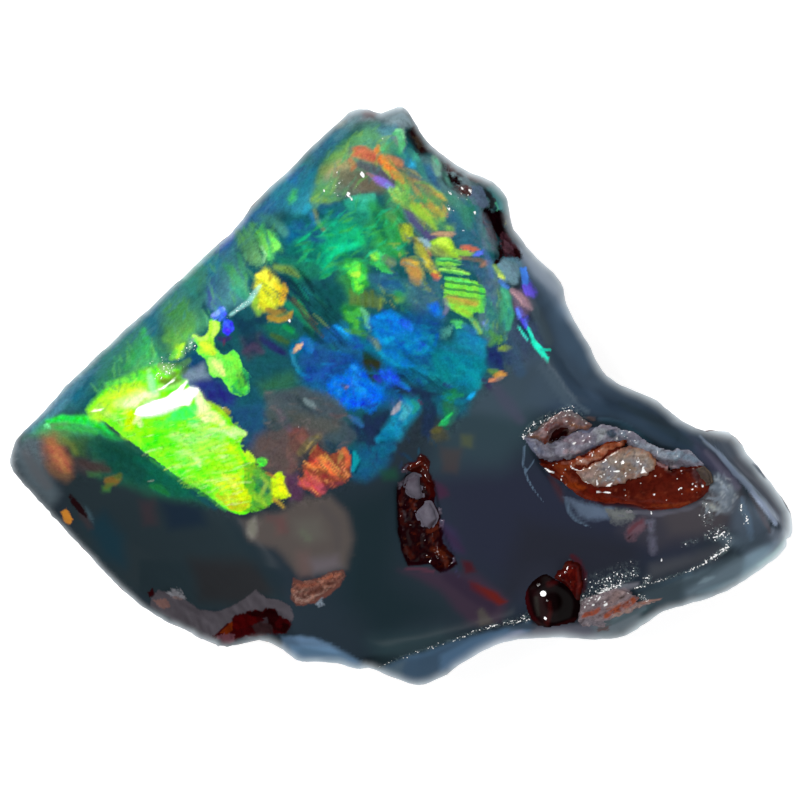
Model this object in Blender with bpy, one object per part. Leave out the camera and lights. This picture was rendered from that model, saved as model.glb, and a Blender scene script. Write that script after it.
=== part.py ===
"""A piece of rough black opal, modelled as one closed solid in metres, +Z up.

The stone lies on its rubbed back. Its polished face is a shallow crown that falls away over
ground bevels to the rim, and below the rim the natural flanks run in to the flat back.
The origin is the middle of the stone's box, on the surface that it rests on.
"""

import bmesh
import bpy
import numpy as np
from mathutils import Vector, noise

MM = 0.001

# The rim seen from above, in millimetres, anticlockwise from the blunt left point.
RIM = (
    (-13.02, -2.05), (-12.98, -2.38), (-12.62, -2.88), (-9.92, -5.88), (-8.72, -7.02),
    (-8.18, -7.25), (-6.95, -8.08), (-5.78, -8.38), (-5.15, -8.15), (-4.55, -8.18),
    (-3.95, -8.42), (-3.38, -8.85), (-2.55, -8.82), (-1.35, -9.08), (0.42, -9.62),
    (1.18, -9.42), (2.82, -8.42), (3.75, -8.12), (6.78, -8.12), (7.42, -8.02),
    (8.78, -7.18), (10.18, -6.75), (11.6, -6.08), (12.98, -5.0), (13.26, -4.45),
    (12.95, -3.62), (11.28, -1.3), (10.85, -1.12), (9.68, -1.12), (8.52, -0.25),
    (7.25, 0.32), (6.82, 0.65), (5.65, 2.55), (5.18, 3.85), (4.28, 4.68),
    (3.65, 5.55), (3.48, 6.45), (3.15, 6.95), (2.88, 7.15), (1.95, 7.48),
    (0.98, 8.18), (0.22, 9.35), (-0.15, 9.58), (-0.82, 9.38), (-1.55, 9.45),
    (-1.85, 9.28), (-4.45, 6.85), (-5.95, 5.15), (-10.78, 0.65), (-12.88, -1.48),
)

CROWN_HEIGHT = 7.5  # highest point of the polished face
CROWN_TOP = (0.6, -0.4)  # where that point lies
CROWN_BEND = (0.0085, 0.0125)  # how fast the face falls away along X and along Y

# Ground bevels. Each ridge is walked with the face on its left, and the stone drops to its
# right by slope times the distance, plus curl times the distance squared.
BEVELS = (
    {  # wide dark bevel at the lower left
        "ridge": ((-12.9, -0.9), (-11.6, -0.72), (-10.4, -0.78), (-9.4, -1.15), (-8.1, -2.05),
                  (-6.6, -3.15), (-5.5, -4.1), (-4.6, -5.15), (-3.9, -6.4), (-3.5, -7.75)),
        "slope": 0.62, "curl": 0.03,
    },
    {  # thin rim on either side of the bottom point
        "ridge": ((-4.4, -7.6), (-3.75, -7.8), (-2.65, -8.2), (-1.7, -8.6), (-0.77, -9.0),
                  (0.0, -8.7), (0.95, -8.38), (2.25, -7.95), (3.2, -7.55), (4.1, -7.32)),
        "slope": 1.5, "curl": 0.25,
    },
    {  # lower right bevel, down to the right point
        "ridge": ((3.2, -7.55), (4.1, -7.32), (5.85, -6.9), (6.5, -6.62), (7.8, -6.22),
                  (9.45, -5.72), (10.25, -5.25), (10.75, -4.9), (11.75, -4.45), (12.4, -4.1)),
        "slope": 1.1, "curl": 0.2,
    },
    {  # upper right bevel, hollow where the rim is hollow
        "ridge": ((12.0, -4.35), (11.25, -3.2), (9.8, -2.0), (8.1, -1.05), (6.8, -0.7),
                  (5.7, 0.0), (4.7, 1.3), (3.75, 3.4), (2.95, 5.2), (2.3, 6.4),
                  (0.95, 7.45), (0.0, 9.0)),
        "slope": 0.85, "curl": 0.35,
    },
    {  # rounded shoulder along the upper left edge
        "ridge": ((0.4, 9.2), (-0.6, 8.6), (-1.85, 7.6), (-3.3, 5.85), (-4.55, 4.15),
                  (-6.1, 2.45), (-6.9, 1.4), (-7.75, 0.3), (-9.2, -0.25), (-10.7, -0.58),
                  (-12.6, -1.4)),
        "slope": 0.55, "curl": 0.42,
    },
)

# A low shelf of grey potch that stands out beyond the upper right bevel.
SHELF_EDGE = ((12.85, -5.1), (12.3, -3.9), (11.45, -2.8), (9.95, -1.25), (9.2, -0.75))
SHELF_HEIGHT = 3.3
SHELF_SLOPE = 0.9

# Hollows where soft host rock has worn out of the face: centre, half sizes, turn, depth.
HOLLOWS = (
    {"at": (7.15, -2.3), "half": (3.0, 1.15), "turn": -16, "depth": 0.8},
    {"at": (0.75, -4.0), "half": (0.7, 1.9), "turn": 14, "depth": 0.22},
    {"at": (0.6, 8.35), "half": (0.3, 0.6), "turn": 30, "depth": 0.3},
    {"at": (1.85, 6.95), "half": (0.75, 0.35), "turn": -30, "depth": 0.3},
    {"at": (3.15, 5.35), "half": (0.5, 1.15), "turn": 20, "depth": 0.45},
    {"at": (-4.75, -7.6), "half": (1.3, 0.5), "turn": 12, "depth": 0.25},
    {"at": (6.3, -7.15), "half": (1.0, 0.45), "turn": 14, "depth": 0.2},
)
BEAD = {"at": (4.95, -6.7), "radius": 0.95, "height": 0.55}  # ironstone bead that stands proud

# Shell-shaped fractures on the flanks and back: centre of the ball that scoops, and its radius.
FRACTURES = (
    {"at": (-9.5, -6.5, -4.2), "radius": 6.2},
    {"at": (9.8, 2.6, -1.8), "radius": 5.4},
    {"at": (4.5, -11.6, -2.2), "radius": 5.2},
    {"at": (-7.8, 7.6, -3.4), "radius": 6.6},
    {"at": (13.6, -7.6, -2.0), "radius": 4.4},
)

RIM_THICKNESS = 0.55
FLANK_WIDTH = 2.5  # how far in from the rim the flanks reach the back
FLANK_VARIES = 0.9
FLANK_CURVE = 1.6
FLANK_WEAR = 10  # rounds of smoothing that the unpolished flanks get
FLANK_LUMPS = ((0.34, 0.42), (0.95, 0.17))  # lumps per millimetre, and their height
BACK_SINK = 0.12  # the back is made this much low, then ground off flat
BLANK_THICKNESS = 0.9
BLANK_VOXEL = 0.28
STONE_VOXEL = 0.26
TRIANGLES = 8600


def path_offset(points, path, closed=False):
    """Signed distance to a path, positive on its right, and the nearest point on it."""
    corners = np.array(path)
    starts = corners if closed else corners[:-1]
    ends = np.roll(corners, -1, axis=0) if closed else corners[1:]
    along = ends - starts
    share = ((points[:, None] - starts) * along).sum(2) / (along**2).sum(1)
    low, high = np.zeros(len(along)), np.ones(len(along))
    if not closed:  # the two end stretches run on for ever
        low[0], high[-1] = -np.inf, np.inf
    share = share.clip(low, high)
    nearest = starts + share[:, :, None] * along
    distance = np.linalg.norm(points[:, None] - nearest, axis=2)
    best = distance.argmin(1)
    row = np.arange(len(points))
    rights = np.stack([along[:, 1], -along[:, 0]], 1)
    rights /= np.linalg.norm(rights, axis=1)[:, None]
    # At a corner the two stretches' sides are averaged, so that no wedge gets the wrong sign.
    before, after = np.roll(rights, 1, axis=0), np.roll(rights, -1, axis=0)
    side = rights[best]
    side = side + np.where((share[row, best] <= 0)[:, None], before[best], 0)
    side = side + np.where((share[row, best] >= 1)[:, None], after[best], 0)
    found = nearest[row, best]
    sign = np.where(((points - found) * side).sum(1) < 0, -1.0, 1.0)
    return sign * distance[row, best], found


def smooth_step(value):
    value = value.clip(0, 1)
    return value * value * (3 - 2 * value)


def lumps(points, scale, seed):
    """Smooth noise between -1 and 1 at each point of the plan."""
    return np.array([noise.noise(Vector((x * scale, y * scale, seed))) for x, y in points])


def hollow_depth(points, hollow):
    """How deep this hollow is at each point, with uneven sides that run in smoothly."""
    turn = np.radians(hollow["turn"])
    away = points - hollow["at"]
    along = away[:, 0] * np.cos(turn) + away[:, 1] * np.sin(turn)
    across = away[:, 1] * np.cos(turn) - away[:, 0] * np.sin(turn)
    reach = np.hypot(along / hollow["half"][0], across / hollow["half"][1])
    depth = np.zeros(len(points))
    near = reach < 1.6
    reach = reach[near] + 0.22 * lumps(points[near], 1.1, 5.0)
    depth[near] = hollow["depth"] * smooth_step((1.15 - reach) / 0.55)
    return depth


def face_height(points):
    """Height of the upper surface over the plan."""
    away = points - CROWN_TOP
    height = CROWN_HEIGHT - (away**2 * CROWN_BEND).sum(1)
    drop = np.zeros(len(points))
    for bevel in BEVELS:
        beyond = path_offset(points, bevel["ridge"])[0].clip(0, None)
        drop = np.maximum(drop, bevel["slope"] * beyond + bevel["curl"] * beyond**2)
    height = height - drop
    beyond = path_offset(points, SHELF_EDGE)[0]
    shelf = SHELF_HEIGHT - SHELF_SLOPE * beyond.clip(0, None)
    near = np.linalg.norm(points - (11.2, -2.2), axis=1) < 4.5
    height = np.where((beyond > 0) & near, np.minimum(height, shelf), height)
    for hollow in HOLLOWS:
        height = height - hollow_depth(points, hollow)
    reach = np.linalg.norm(points - BEAD["at"], axis=1) / BEAD["radius"]
    return height + BEAD["height"] * np.sqrt((1 - reach**2).clip(0, None))


def back_height(points):
    """Height of the flanks and the back over the plan."""
    inward, rim = path_offset(points, RIM, closed=True)
    inward = (-inward).clip(0, None)
    edge = face_height(rim) - RIM_THICKNESS
    width = FLANK_WIDTH + FLANK_VARIES * lumps(rim, 0.22, 3.0)
    left = (1 - inward / width).clip(0, None)
    height = edge * left**FLANK_CURVE - BACK_SINK
    for ball in FRACTURES:
        centre, radius = np.array(ball["at"]), ball["radius"]
        apart = np.linalg.norm(points - centre[:2], axis=1)
        scoop = centre[2] + np.sqrt((radius**2 - apart**2).clip(0, None))
        height = np.where(apart < radius, np.maximum(height, scoop), height)
    return np.minimum(height, face_height(points) - RIM_THICKNESS)


def apply_modifiers(stone):
    """Makes the mesh that the modifiers give the object's own."""
    graph = bpy.context.evaluated_depsgraph_get()
    made = bpy.data.meshes.new_from_object(stone.evaluated_get(graph))
    stone.modifiers.clear()
    stone.data = made


def remesh(stone, voxel, smoothing):
    """Gives the object an even mesh of this voxel size, smoothed a little."""
    even = stone.modifiers.new("even", "REMESH")
    even.mode = "VOXEL"
    even.voxel_size = voxel * MM
    soft = stone.modifiers.new("soft", "SMOOTH")
    soft.factor = 0.5
    soft.iterations = smoothing
    apply_modifiers(stone)


def make_blank():
    """A thin even slab with the stone's plan."""
    plan = bmesh.new()
    corners = [plan.verts.new((x * MM, y * MM, 0)) for x, y in RIM]
    face = plan.faces.new(corners)
    raised = bmesh.ops.extrude_face_region(plan, geom=[face])["geom"]
    top = [part for part in raised if isinstance(part, bmesh.types.BMVert)]
    bmesh.ops.translate(plan, verts=top, vec=(0, 0, BLANK_THICKNESS * MM))
    bmesh.ops.recalc_face_normals(plan, faces=plan.faces)
    mesh = bpy.data.meshes.new("rough_opal")
    plan.to_mesh(mesh)
    plan.free()
    stone = bpy.data.objects.new("rough_opal", mesh)
    bpy.context.scene.collection.objects.link(stone)
    remesh(stone, BLANK_VOXEL, 0)
    return stone


def shape_stone(stone):
    """Lifts the slab's upper side to the face and sets its lower side to the back."""
    mesh = stone.data
    places = np.empty(len(mesh.vertices) * 3)
    mesh.vertices.foreach_get("co", places)
    places = places.reshape(-1, 3)
    points = places[:, :2] / MM
    share = (places[:, 2] / (BLANK_THICKNESS * MM)).clip(0, 1)
    low, high = back_height(points), face_height(points)
    places[:, 2] = (low + (high - low) * share) * MM
    mesh.vertices.foreach_set("co", places.ravel())
    mesh.update()


def roughen_flanks(stone):
    """Wears the unpolished flanks soft, then gives them natural lumps."""
    mesh = stone.data
    places = np.empty(len(mesh.vertices) * 3)
    mesh.vertices.foreach_get("co", places)
    places = places.reshape(-1, 3) / MM
    below = face_height(places[:, :2]) - places[:, 2]
    share = smooth_step((below - 0.45) / 0.9)
    flanks = stone.vertex_groups.new(name="flanks")
    for index in np.flatnonzero(share > 0):
        flanks.add([int(index)], float(share[index]), "REPLACE")
    soft = stone.modifiers.new("worn", "SMOOTH")
    soft.factor = 0.5
    soft.iterations = FLANK_WEAR
    soft.vertex_group = "flanks"
    apply_modifiers(stone)
    mesh = stone.data
    for index, vertex in enumerate(mesh.vertices):
        share_here = share[index] * min(1.0, max(0.0, vertex.co.z / MM))
        if share_here > 0:
            place = vertex.co / MM
            lump = sum(high * noise.noise(place * often) for often, high in FLANK_LUMPS)
            vertex.co += vertex.normal * (lump * share_here * MM)
    stone.vertex_groups.clear()


def grind_back(stone):
    """Cuts the back off flat at the resting surface and closes the cut."""
    cut = bmesh.new()
    cut.from_mesh(stone.data)
    everything = [*cut.verts, *cut.edges, *cut.faces]
    bmesh.ops.bisect_plane(
        cut, geom=everything, dist=1e-7, plane_co=(0, 0, 0), plane_no=(0, 0, 1), clear_inner=True
    )
    rims = [edge for edge in cut.edges if edge.is_boundary]
    bmesh.ops.holes_fill(cut, edges=rims, sides=0)
    bmesh.ops.triangulate(cut, faces=cut.faces)
    bmesh.ops.recalc_face_normals(cut, faces=cut.faces)
    cut.to_mesh(stone.data)
    cut.free()


def thin_mesh(stone):
    """Merges triangles where the surface is nearly flat."""
    fewer = stone.modifiers.new("fewer", "DECIMATE")
    fewer.ratio = TRIANGLES / sum(len(face.vertices) - 2 for face in stone.data.polygons)
    apply_modifiers(stone)


def opal_material():
    """Dark, glossy potch."""
    material = bpy.data.materials.new("black_opal")
    material.use_nodes = True
    shader = material.node_tree.nodes["Principled BSDF"]
    shader.inputs["Base Color"].default_value = (0.03, 0.05, 0.07, 1)
    shader.inputs["Roughness"].default_value = 0.15
    shader.inputs["Metallic"].default_value = 0.0
    return material


def main():
    for thing in list(bpy.data.objects):
        bpy.data.objects.remove(thing)
    stone = make_blank()
    shape_stone(stone)
    remesh(stone, STONE_VOXEL, 2)
    roughen_flanks(stone)
    thin_mesh(stone)
    grind_back(stone)
    stone.data.shade_smooth()
    stone.data.set_sharp_from_angle(angle=np.radians(35))
    stone.data.materials.clear()
    stone.data.materials.append(opal_material())


main()
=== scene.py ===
import math

import bmesh
import bpy
import numpy as np
from mathutils import Matrix, Vector, noise
from mathutils.bvhtree import BVHTree


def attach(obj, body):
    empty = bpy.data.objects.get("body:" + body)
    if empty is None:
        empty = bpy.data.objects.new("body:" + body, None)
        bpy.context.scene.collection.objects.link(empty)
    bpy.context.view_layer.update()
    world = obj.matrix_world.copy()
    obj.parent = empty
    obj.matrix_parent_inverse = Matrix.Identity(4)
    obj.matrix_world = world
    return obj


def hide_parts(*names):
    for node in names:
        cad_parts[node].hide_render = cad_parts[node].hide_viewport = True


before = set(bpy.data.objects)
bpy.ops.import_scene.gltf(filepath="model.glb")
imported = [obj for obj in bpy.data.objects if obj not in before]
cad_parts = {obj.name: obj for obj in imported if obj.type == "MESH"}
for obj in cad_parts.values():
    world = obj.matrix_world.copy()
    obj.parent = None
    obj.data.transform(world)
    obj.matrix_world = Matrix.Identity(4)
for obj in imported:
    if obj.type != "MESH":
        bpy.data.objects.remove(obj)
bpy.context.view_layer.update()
print("frame loaded")

mm = 0.001

# The sheet that the plan drawings are on, as the camera sees it.

sheet = {
    "wide": 800,  # squares across the view
    "perMm": 30.0,
    "level": 4.5,  # height in mm at which the squares are true
    "above": 12,  # mm, over the whole stone
    "middle": 400.0,  # the square under the lens, both ways
    "aim": (-0.05, -0.18),  # where the lens is, in mm from the stone's middle
    "lens": 200.0,
    "sensor": 36.0,
}
cameraDrop = sheet["lens"] / sheet["sensor"] * sheet["wide"] / sheet["perMm"]
cameraHigh = sheet["level"] + cameraDrop


def toSheet(places):  # metres to squares
    away = cameraHigh - places[:, 2] / mm
    scale = sheet["perMm"] * cameraDrop / away
    across = sheet["middle"] + (places[:, 0] / mm - sheet["aim"][0]) * scale
    down = sheet["middle"] - (places[:, 1] / mm - sheet["aim"][1]) * scale
    return np.stack([across, down], 1)


def fromSheet(across, down, high):  # squares and a height in mm to metres
    scale = (cameraHigh - high) / (sheet["perMm"] * cameraDrop)
    x = (across - sheet["middle"]) * scale + sheet["aim"][0]
    y = (sheet["middle"] - down) * scale + sheet["aim"][1]
    return Vector((x, y, high)) * mm


# Drawing on the stone.


def smooth(value):
    value = np.clip(value, 0, 1)
    return value * value * (3 - 2 * value)


def reachInto(spots, shape, margin=40):  # squares inside an outline (x, y) or a tapering line (x, y, width)
    shape = np.array(shape, float)
    line = shape.shape[1] == 3
    starts = shape[:-1] if line else shape
    ends = shape[1:] if line else np.roll(shape, -1, axis=0)
    reach = np.full(len(spots), -float(margin))
    low, high = shape[:, :2].min(0) - margin, shape[:, :2].max(0) + margin
    near = np.flatnonzero(((spots > low) & (spots < high)).all(1))
    if len(near) == 0:
        return reach
    here = spots[near]
    best = np.full(len(near), np.inf)
    inside = np.zeros(len(near), bool)
    for start, end in zip(starts, ends):
        along = end[:2] - start[:2]
        share = ((here - start[:2]) @ along / max(along @ along, 1e-9)).clip(0, 1)
        gap = np.linalg.norm(here - start[:2] - share[:, None] * along, axis=1)
        if line:
            gap = gap - (start[2] + (end[2] - start[2]) * share) / 2
        best = np.minimum(best, gap)
        if not line and start[1] != end[1]:
            crosses = (start[1] > here[:, 1]) != (end[1] > here[:, 1])
            at = start[0] + (here[:, 1] - start[1]) / (end[1] - start[1]) * along[0]
            inside ^= crosses & (here[:, 0] < at)
    found = -best if line else np.where(inside, best, -best)
    reach[near] = np.maximum(reach[near], found)
    return reach


def linear(hexColor):
    parts = [int(hexColor[at : at + 2], 16) / 255 for at in (0, 2, 4)]
    return np.array([part / 12.92 if part < 0.04045 else ((part + 0.055) / 1.055) ** 2.4 for part in parts])


def noiseAt(places, often, shift=0.0):  # smooth noise, -1 to 1, at places in mm
    move = Vector((shift, shift * 1.7, shift * 0.6))
    return np.array([noise.noise(Vector(place) * often + move) for place in places])


# Soft washes under everything: colour, strength, softness in squares, shape.
potchColor = "253039"
washes = [
    # dark potch
    ("282b3c", 0.85, 60, [
        (455, 430), (560, 470), (690, 520), (700, 560), (600, 580), (520, 610), (450, 560), (430, 480),
    ]),
    ("33474f", 0.7, 40, [(440, 400), (520, 380), (540, 430), (500, 470), (430, 470)]),
    ("19292f", 0.85, 50, [(340, 500), (400, 480), (400, 580), (440, 610), (380, 650), (340, 600)]),
    ("2f4348", 0.7, 30, [(370, 640), (440, 630), (460, 640), (380, 665)]),
    ("262830", 0.7, 30, [(520, 520), (640, 540), (640, 570), (590, 585), (500, 600)]),
    ("3b3a42", 0.8, 24, [(640, 505), (740, 490), (735, 530), (660, 550), (620, 530)]),
    ("484a50", 0.7, 14, [(650, 565), (735, 540), (715, 560), (645, 582)]),
    ("4a4548", 0.6, 16, [(660, 512), (730, 480), (745, 500), (720, 530), (670, 535)]),
    # upper right bevel, its pale blue-greys partly a painted reflection of the bright surroundings
    ("44586c", 1.0, 26, [
        (520, 235), (570, 290), (620, 385), (700, 430), (740, 470), (700, 455), (620, 415), (570, 390),
        (545, 330), (520, 262),
    ]),
    ("5d7084", 0.9, 16, [(520, 240), (566, 285), (575, 320), (560, 320), (545, 285), (520, 262)]),
    ("7c8c9c", 0.8, 10, [(515, 245), (535, 250), (562, 290), (568, 305), (550, 290), (525, 262)]),
    ("22303f", 0.9, 20, [
        (600, 392), (650, 408), (690, 440), (705, 462), (680, 450), (640, 425), (600, 410),
    ]),
    ("36465a", 0.8, 18, [(540, 360), (600, 395), (600, 415), (550, 410), (525, 400)]),
    ("3a3a4c", 0.9, 16, [(690, 436), (720, 455), (745, 480), (720, 488), (700, 462)]),
    ("585c66", 0.95, 8, [
        (700, 430), (728, 430), (742, 450), (750, 468), (780, 505), (788, 530), (775, 520), (750, 480),
        (722, 452),
    ]),
    # painted highlight: a pale line along the ledge's ridge
    ("8c9aa8", 0.85, 4, [(704, 442, 2), (724, 458, 4), (744, 478, 4), (764, 502, 4), (778, 520, 2)]),
    ("3d444c", 0.9, 7, [(750, 494), (758, 496), (768, 510), (772, 530), (766, 528), (758, 508)]),
    ("4e5a68", 0.8, 14, [(735, 500), (760, 505), (768, 535), (745, 545), (730, 530)]),
    ("6c7888", 0.8, 10, [(772, 530), (792, 530), (765, 560), (735, 575), (745, 555)]),
    ("78a8a8", 0.7, 6, [(790, 535), (772, 556), (750, 570), (740, 580), (760, 572), (792, 548)]),
    # lower right bevel, its pale blue-greys partly a painted reflection of the bright surroundings
    ("46535c", 0.95, 10, [(640, 590), (700, 570), (735, 552), (755, 568), (700, 595), (640, 612)]),
    ("6c7f8a", 0.8, 10, [(640, 622), (700, 596), (760, 560), (770, 566), (700, 604), (630, 638)]),
    ("7b7d8c", 0.9, 10, [(530, 626), (600, 622), (640, 606), (640, 625), (600, 640), (520, 640)]),
    ("4c6a86", 0.95, 6, [
        (378, 670), (400, 660), (440, 646), (500, 628), (530, 622), (532, 634), (500, 644), (470, 662),
        (420, 690), (380, 680),
    ]),
    ("68808f", 0.7, 8, [(378, 670), (405, 662), (400, 678)]),
    ("8088a0", 0.8, 8, [(455, 668), (500, 640), (520, 628), (535, 640), (480, 665), (450, 680)]),
    ("5d7894", 0.95, 5, [
        (282, 636), (300, 636), (330, 644), (378, 670), (350, 672), (300, 664), (282, 650),
    ]),
    ("7c90a4", 0.7, 5, [(300, 660), (340, 655), (370, 672), (340, 670)]),
    # the colour bar's dark green and blue ground
    ("17545c", 1.0, 26, [
        (70, 410), (60, 390), (150, 305), (240, 225), (345, 118), (405, 112), (440, 160), (492, 190),
        (500, 235), (505, 300), (505, 370), (470, 395), (420, 400), (400, 430), (360, 475), (330, 440),
        (300, 395), (240, 440), (215, 395), (120, 385), (90, 415),
    ]),
    # the pale blue upper left shoulder, partly a painted reflection of the bright surroundings
    ("4a8c90", 0.85, 22, [
        (20, 430), (60, 388), (130, 320), (230, 232), (330, 132), (345, 135), (250, 240), (150, 335),
        (70, 405),
    ]),
    ("6d97b0", 0.7, 7, [(24, 432), (60, 393), (80, 374), (100, 365), (60, 410), (35, 436)]),
    ("1c6e88", 0.8, 9, [(70, 396), (92, 372), (96, 378), (76, 402)]),
    ("48a070", 0.8, 26, [(95, 385), (110, 355), (150, 325), (170, 350), (160, 370), (110, 392)]),
    ("50c874", 0.9, 12, [(143, 332), (151, 332), (156, 352), (160, 368), (132, 368), (130, 356)]),
    ("2b7c90", 0.8, 9, [(144, 318), (156, 306), (158, 330), (152, 344), (147, 332)]),
    ("5aa46e", 0.85, 16, [
        (165, 305), (185, 295), (200, 312), (205, 325), (195, 336), (172, 340), (164, 322),
    ]),
    ("66b848", 0.7, 12, [(165, 325), (190, 325), (195, 340), (170, 350)]),
    ("8cd840", 0.9, 8, [(176, 342), (186, 343), (184, 356), (174, 358)]),
    ("4f8e94", 0.85, 14, [(203, 262), (225, 250), (245, 262), (246, 300), (222, 308), (206, 300)]),
    ("4876b4", 0.8, 8, [(209, 275), (219, 275), (219, 308), (209, 308)]),
    ("3b9a80", 0.8, 12, [(198, 255), (212, 240), (206, 280), (198, 300), (185, 292), (180, 275)]),
    ("2d6fa8", 0.85, 12, [
        (222, 238), (240, 220), (262, 205), (280, 190), (292, 200), (270, 214), (240, 228), (228, 256),
    ]),
    ("318fa6", 0.85, 12, [(270, 188), (300, 165), (318, 168), (310, 210), (295, 215), (275, 205)]),
    ("2a86c0", 0.8, 8, [(288, 174), (298, 174), (296, 184), (288, 182)]),
    ("467f9c", 0.8, 10, [(310, 152), (330, 133), (342, 128), (350, 132), (335, 146), (316, 164)]),
    ("5e9a70", 0.85, 18, [
        (318, 178), (330, 155), (350, 138), (385, 126), (395, 140), (390, 165), (350, 180), (330, 200),
        (312, 205),
    ]),
    ("7cb45c", 0.85, 9, [(330, 154), (345, 150), (352, 156), (338, 160), (326, 162)]),
    ("5faa8c", 0.8, 9, [(366, 124), (378, 120), (380, 134), (372, 142), (362, 138)]),
    ("5488a0", 0.75, 10, [(372, 126), (400, 124), (404, 136), (385, 142)]),
    ("7c9098", 1.0, 9, [
        (338, 128), (352, 106), (380, 108), (400, 100), (416, 128), (402, 128), (380, 122), (352, 124),
    ]),
    ("8d8c7c", 0.7, 5, [(336, 120), (346, 120), (346, 128), (336, 128)]),
    ("9a9470", 0.8, 10, [(322, 168), (340, 162), (356, 166), (345, 176), (325, 180)]),
    ("b8785a", 0.9, 8, [(348, 154), (360, 147), (374, 153), (388, 158), (384, 166), (366, 160)]),
    ("646a58", 0.85, 12, [(345, 170), (370, 168), (390, 178), (385, 192), (350, 196), (330, 192)]),
    ("6e5c54", 0.7, 6, [(360, 182), (376, 180), (376, 191), (358, 192)]),
    ("6c9858", 0.8, 9, [(316, 190), (330, 186), (338, 200), (325, 205), (314, 202)]),
    ("509664", 0.8, 14, [(385, 188), (420, 175), (446, 200), (446, 230), (420, 235), (388, 212)]),
    ("5f7458", 0.8, 8, [(396, 165), (412, 168), (440, 196), (448, 206), (430, 202), (405, 184)]),
    ("2f7a94", 0.75, 10, [(395, 125), (408, 150), (420, 175), (440, 192), (425, 190), (400, 160)]),
    ("567c80", 0.85, 12, [(418, 150), (445, 165), (480, 190), (484, 210), (460, 215), (430, 185)]),
    ("2f6a94", 0.8, 6, [(424, 166), (430, 164), (438, 178), (434, 184)]),
    ("6f8288", 0.85, 8, [(432, 158), (450, 165), (478, 185), (480, 196), (455, 186), (436, 174)]),
    ("2f687c", 0.9, 14, [(446, 208), (480, 200), (490, 230), (484, 262), (462, 250), (448, 232)]),
    ("2c7a62", 0.75, 8, [(462, 205), (474, 205), (476, 220), (464, 222)]),
    ("5f8088", 0.85, 8, [(480, 190), (492, 200), (494, 235), (500, 255), (482, 248), (478, 215)]),
    ("4c8c90", 0.9, 5, [
        (488, 186), (498, 184), (508, 200), (508, 214), (501, 212), (496, 200), (490, 192),
    ]),
    # middle greens
    ("14606c", 0.9, 16, [(278, 226), (310, 218), (330, 226), (322, 245), (290, 250), (276, 240)]),
    ("0e5888", 0.8, 9, [(284, 228), (300, 222), (304, 236), (288, 242)]),
    ("1a6f8c", 0.8, 10, [(318, 204), (340, 204), (346, 216), (325, 218)]),
    ("208c70", 0.85, 14, [(340, 206), (372, 200), (378, 220), (350, 226)]),
    ("30b08c", 0.85, 8, [(344, 200), (360, 196), (376, 200), (368, 210), (346, 208)]),
    ("12a878", 0.9, 14, [
        (325, 228), (345, 224), (366, 232), (362, 248), (340, 262), (324, 272), (314, 258),
    ]),
    ("0cc890", 0.85, 10, [(330, 246), (346, 240), (356, 244), (336, 258), (328, 272), (320, 262)]),
    ("2d9c50", 0.9, 16, [(366, 222), (400, 210), (410, 232), (400, 258), (372, 262), (362, 242)]),
    ("379440", 0.8, 12, [(340, 262), (366, 258), (370, 285), (350, 300), (338, 280)]),
    ("0f4f50", 0.9, 14, [(316, 284), (342, 284), (348, 318), (330, 330), (312, 318)]),
    ("1c7c60", 0.8, 10, [(278, 256), (320, 262), (322, 276), (300, 282), (280, 268)]),
    ("6a9850", 0.8, 6, [(276, 264), (292, 266), (298, 272), (284, 272)]),
    ("2f7490", 0.75, 10, [(372, 276), (392, 270), (404, 284), (390, 298), (374, 294)]),
    ("2f9c50", 0.85, 12, [(392, 290), (404, 284), (416, 290), (412, 300), (396, 302)]),
    ("58a048", 0.8, 5, [(394, 296), (406, 296), (402, 302), (394, 301)]),
    ("3d6a80", 0.8, 14, [(404, 280), (440, 280), (444, 320), (420, 320), (404, 300)]),
    ("2f8a3c", 0.9, 9, [(344, 302), (360, 300), (368, 312), (373, 334), (356, 334), (344, 322)]),
    ("5f7c3a", 0.7, 5, [(350, 288), (372, 290), (384, 300), (382, 308), (350, 304)]),
    # middle blues
    ("155a94", 0.95, 18, [
        (332, 328), (372, 322), (440, 308), (440, 360), (400, 380), (400, 405), (330, 408), (300, 380),
        (300, 345),
    ]),
    ("14488c", 0.8, 14, [(305, 365), (345, 350), (350, 366), (325, 388), (308, 380)]),
    ("127cc8", 0.85, 12, [
        (370, 318), (392, 312), (412, 326), (436, 336), (434, 354), (396, 354), (374, 340),
    ]),
    ("0f86a8", 0.8, 12, [(362, 340), (396, 352), (436, 372), (420, 380), (388, 366), (364, 356)]),
    ("0a7e90", 0.95, 14, [(436, 346), (484, 340), (488, 366), (478, 384), (456, 394), (428, 376)]),
    ("1b84a8", 0.85, 10, [(456, 328), (488, 342), (484, 356), (456, 344)]),
    ("125c70", 0.85, 12, [(400, 380), (440, 378), (476, 386), (468, 412), (446, 420), (424, 405)]),
    ("1f7c44", 0.75, 8, [(442, 392), (456, 388), (452, 414), (444, 420)]),
    ("1a2c48", 0.95, 12, [
        (388, 378), (440, 392), (424, 400), (412, 396), (396, 412), (384, 440), (356, 446), (352, 425),
        (378, 410), (398, 402),
    ]),
    ("1588ac", 0.95, 10, [
        (376, 440), (388, 424), (396, 406), (404, 396), (416, 398), (420, 408), (408, 424), (400, 440),
        (386, 446),
    ]),
    ("14587c", 0.9, 14, [(352, 452), (378, 440), (396, 444), (388, 468), (366, 480), (352, 476)]),
    ("1c4a38", 0.7, 8, [(380, 470), (398, 468), (398, 478), (384, 480)]),
    # dark hollow between the flashes
    ("16505a", 0.95, 14, [
        (222, 316), (258, 312), (300, 330), (296, 372), (262, 392), (252, 372), (236, 350), (224, 340),
    ]),
    ("1b5e48", 0.8, 9, [(262, 324), (292, 326), (300, 342), (276, 346)]),
    ("1c2a68", 0.8, 8, [(262, 334), (284, 346), (292, 356), (280, 352), (264, 340)]),
    ("3a3c50", 0.8, 9, [(240, 336), (260, 332), (264, 352), (248, 360)]),
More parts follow.
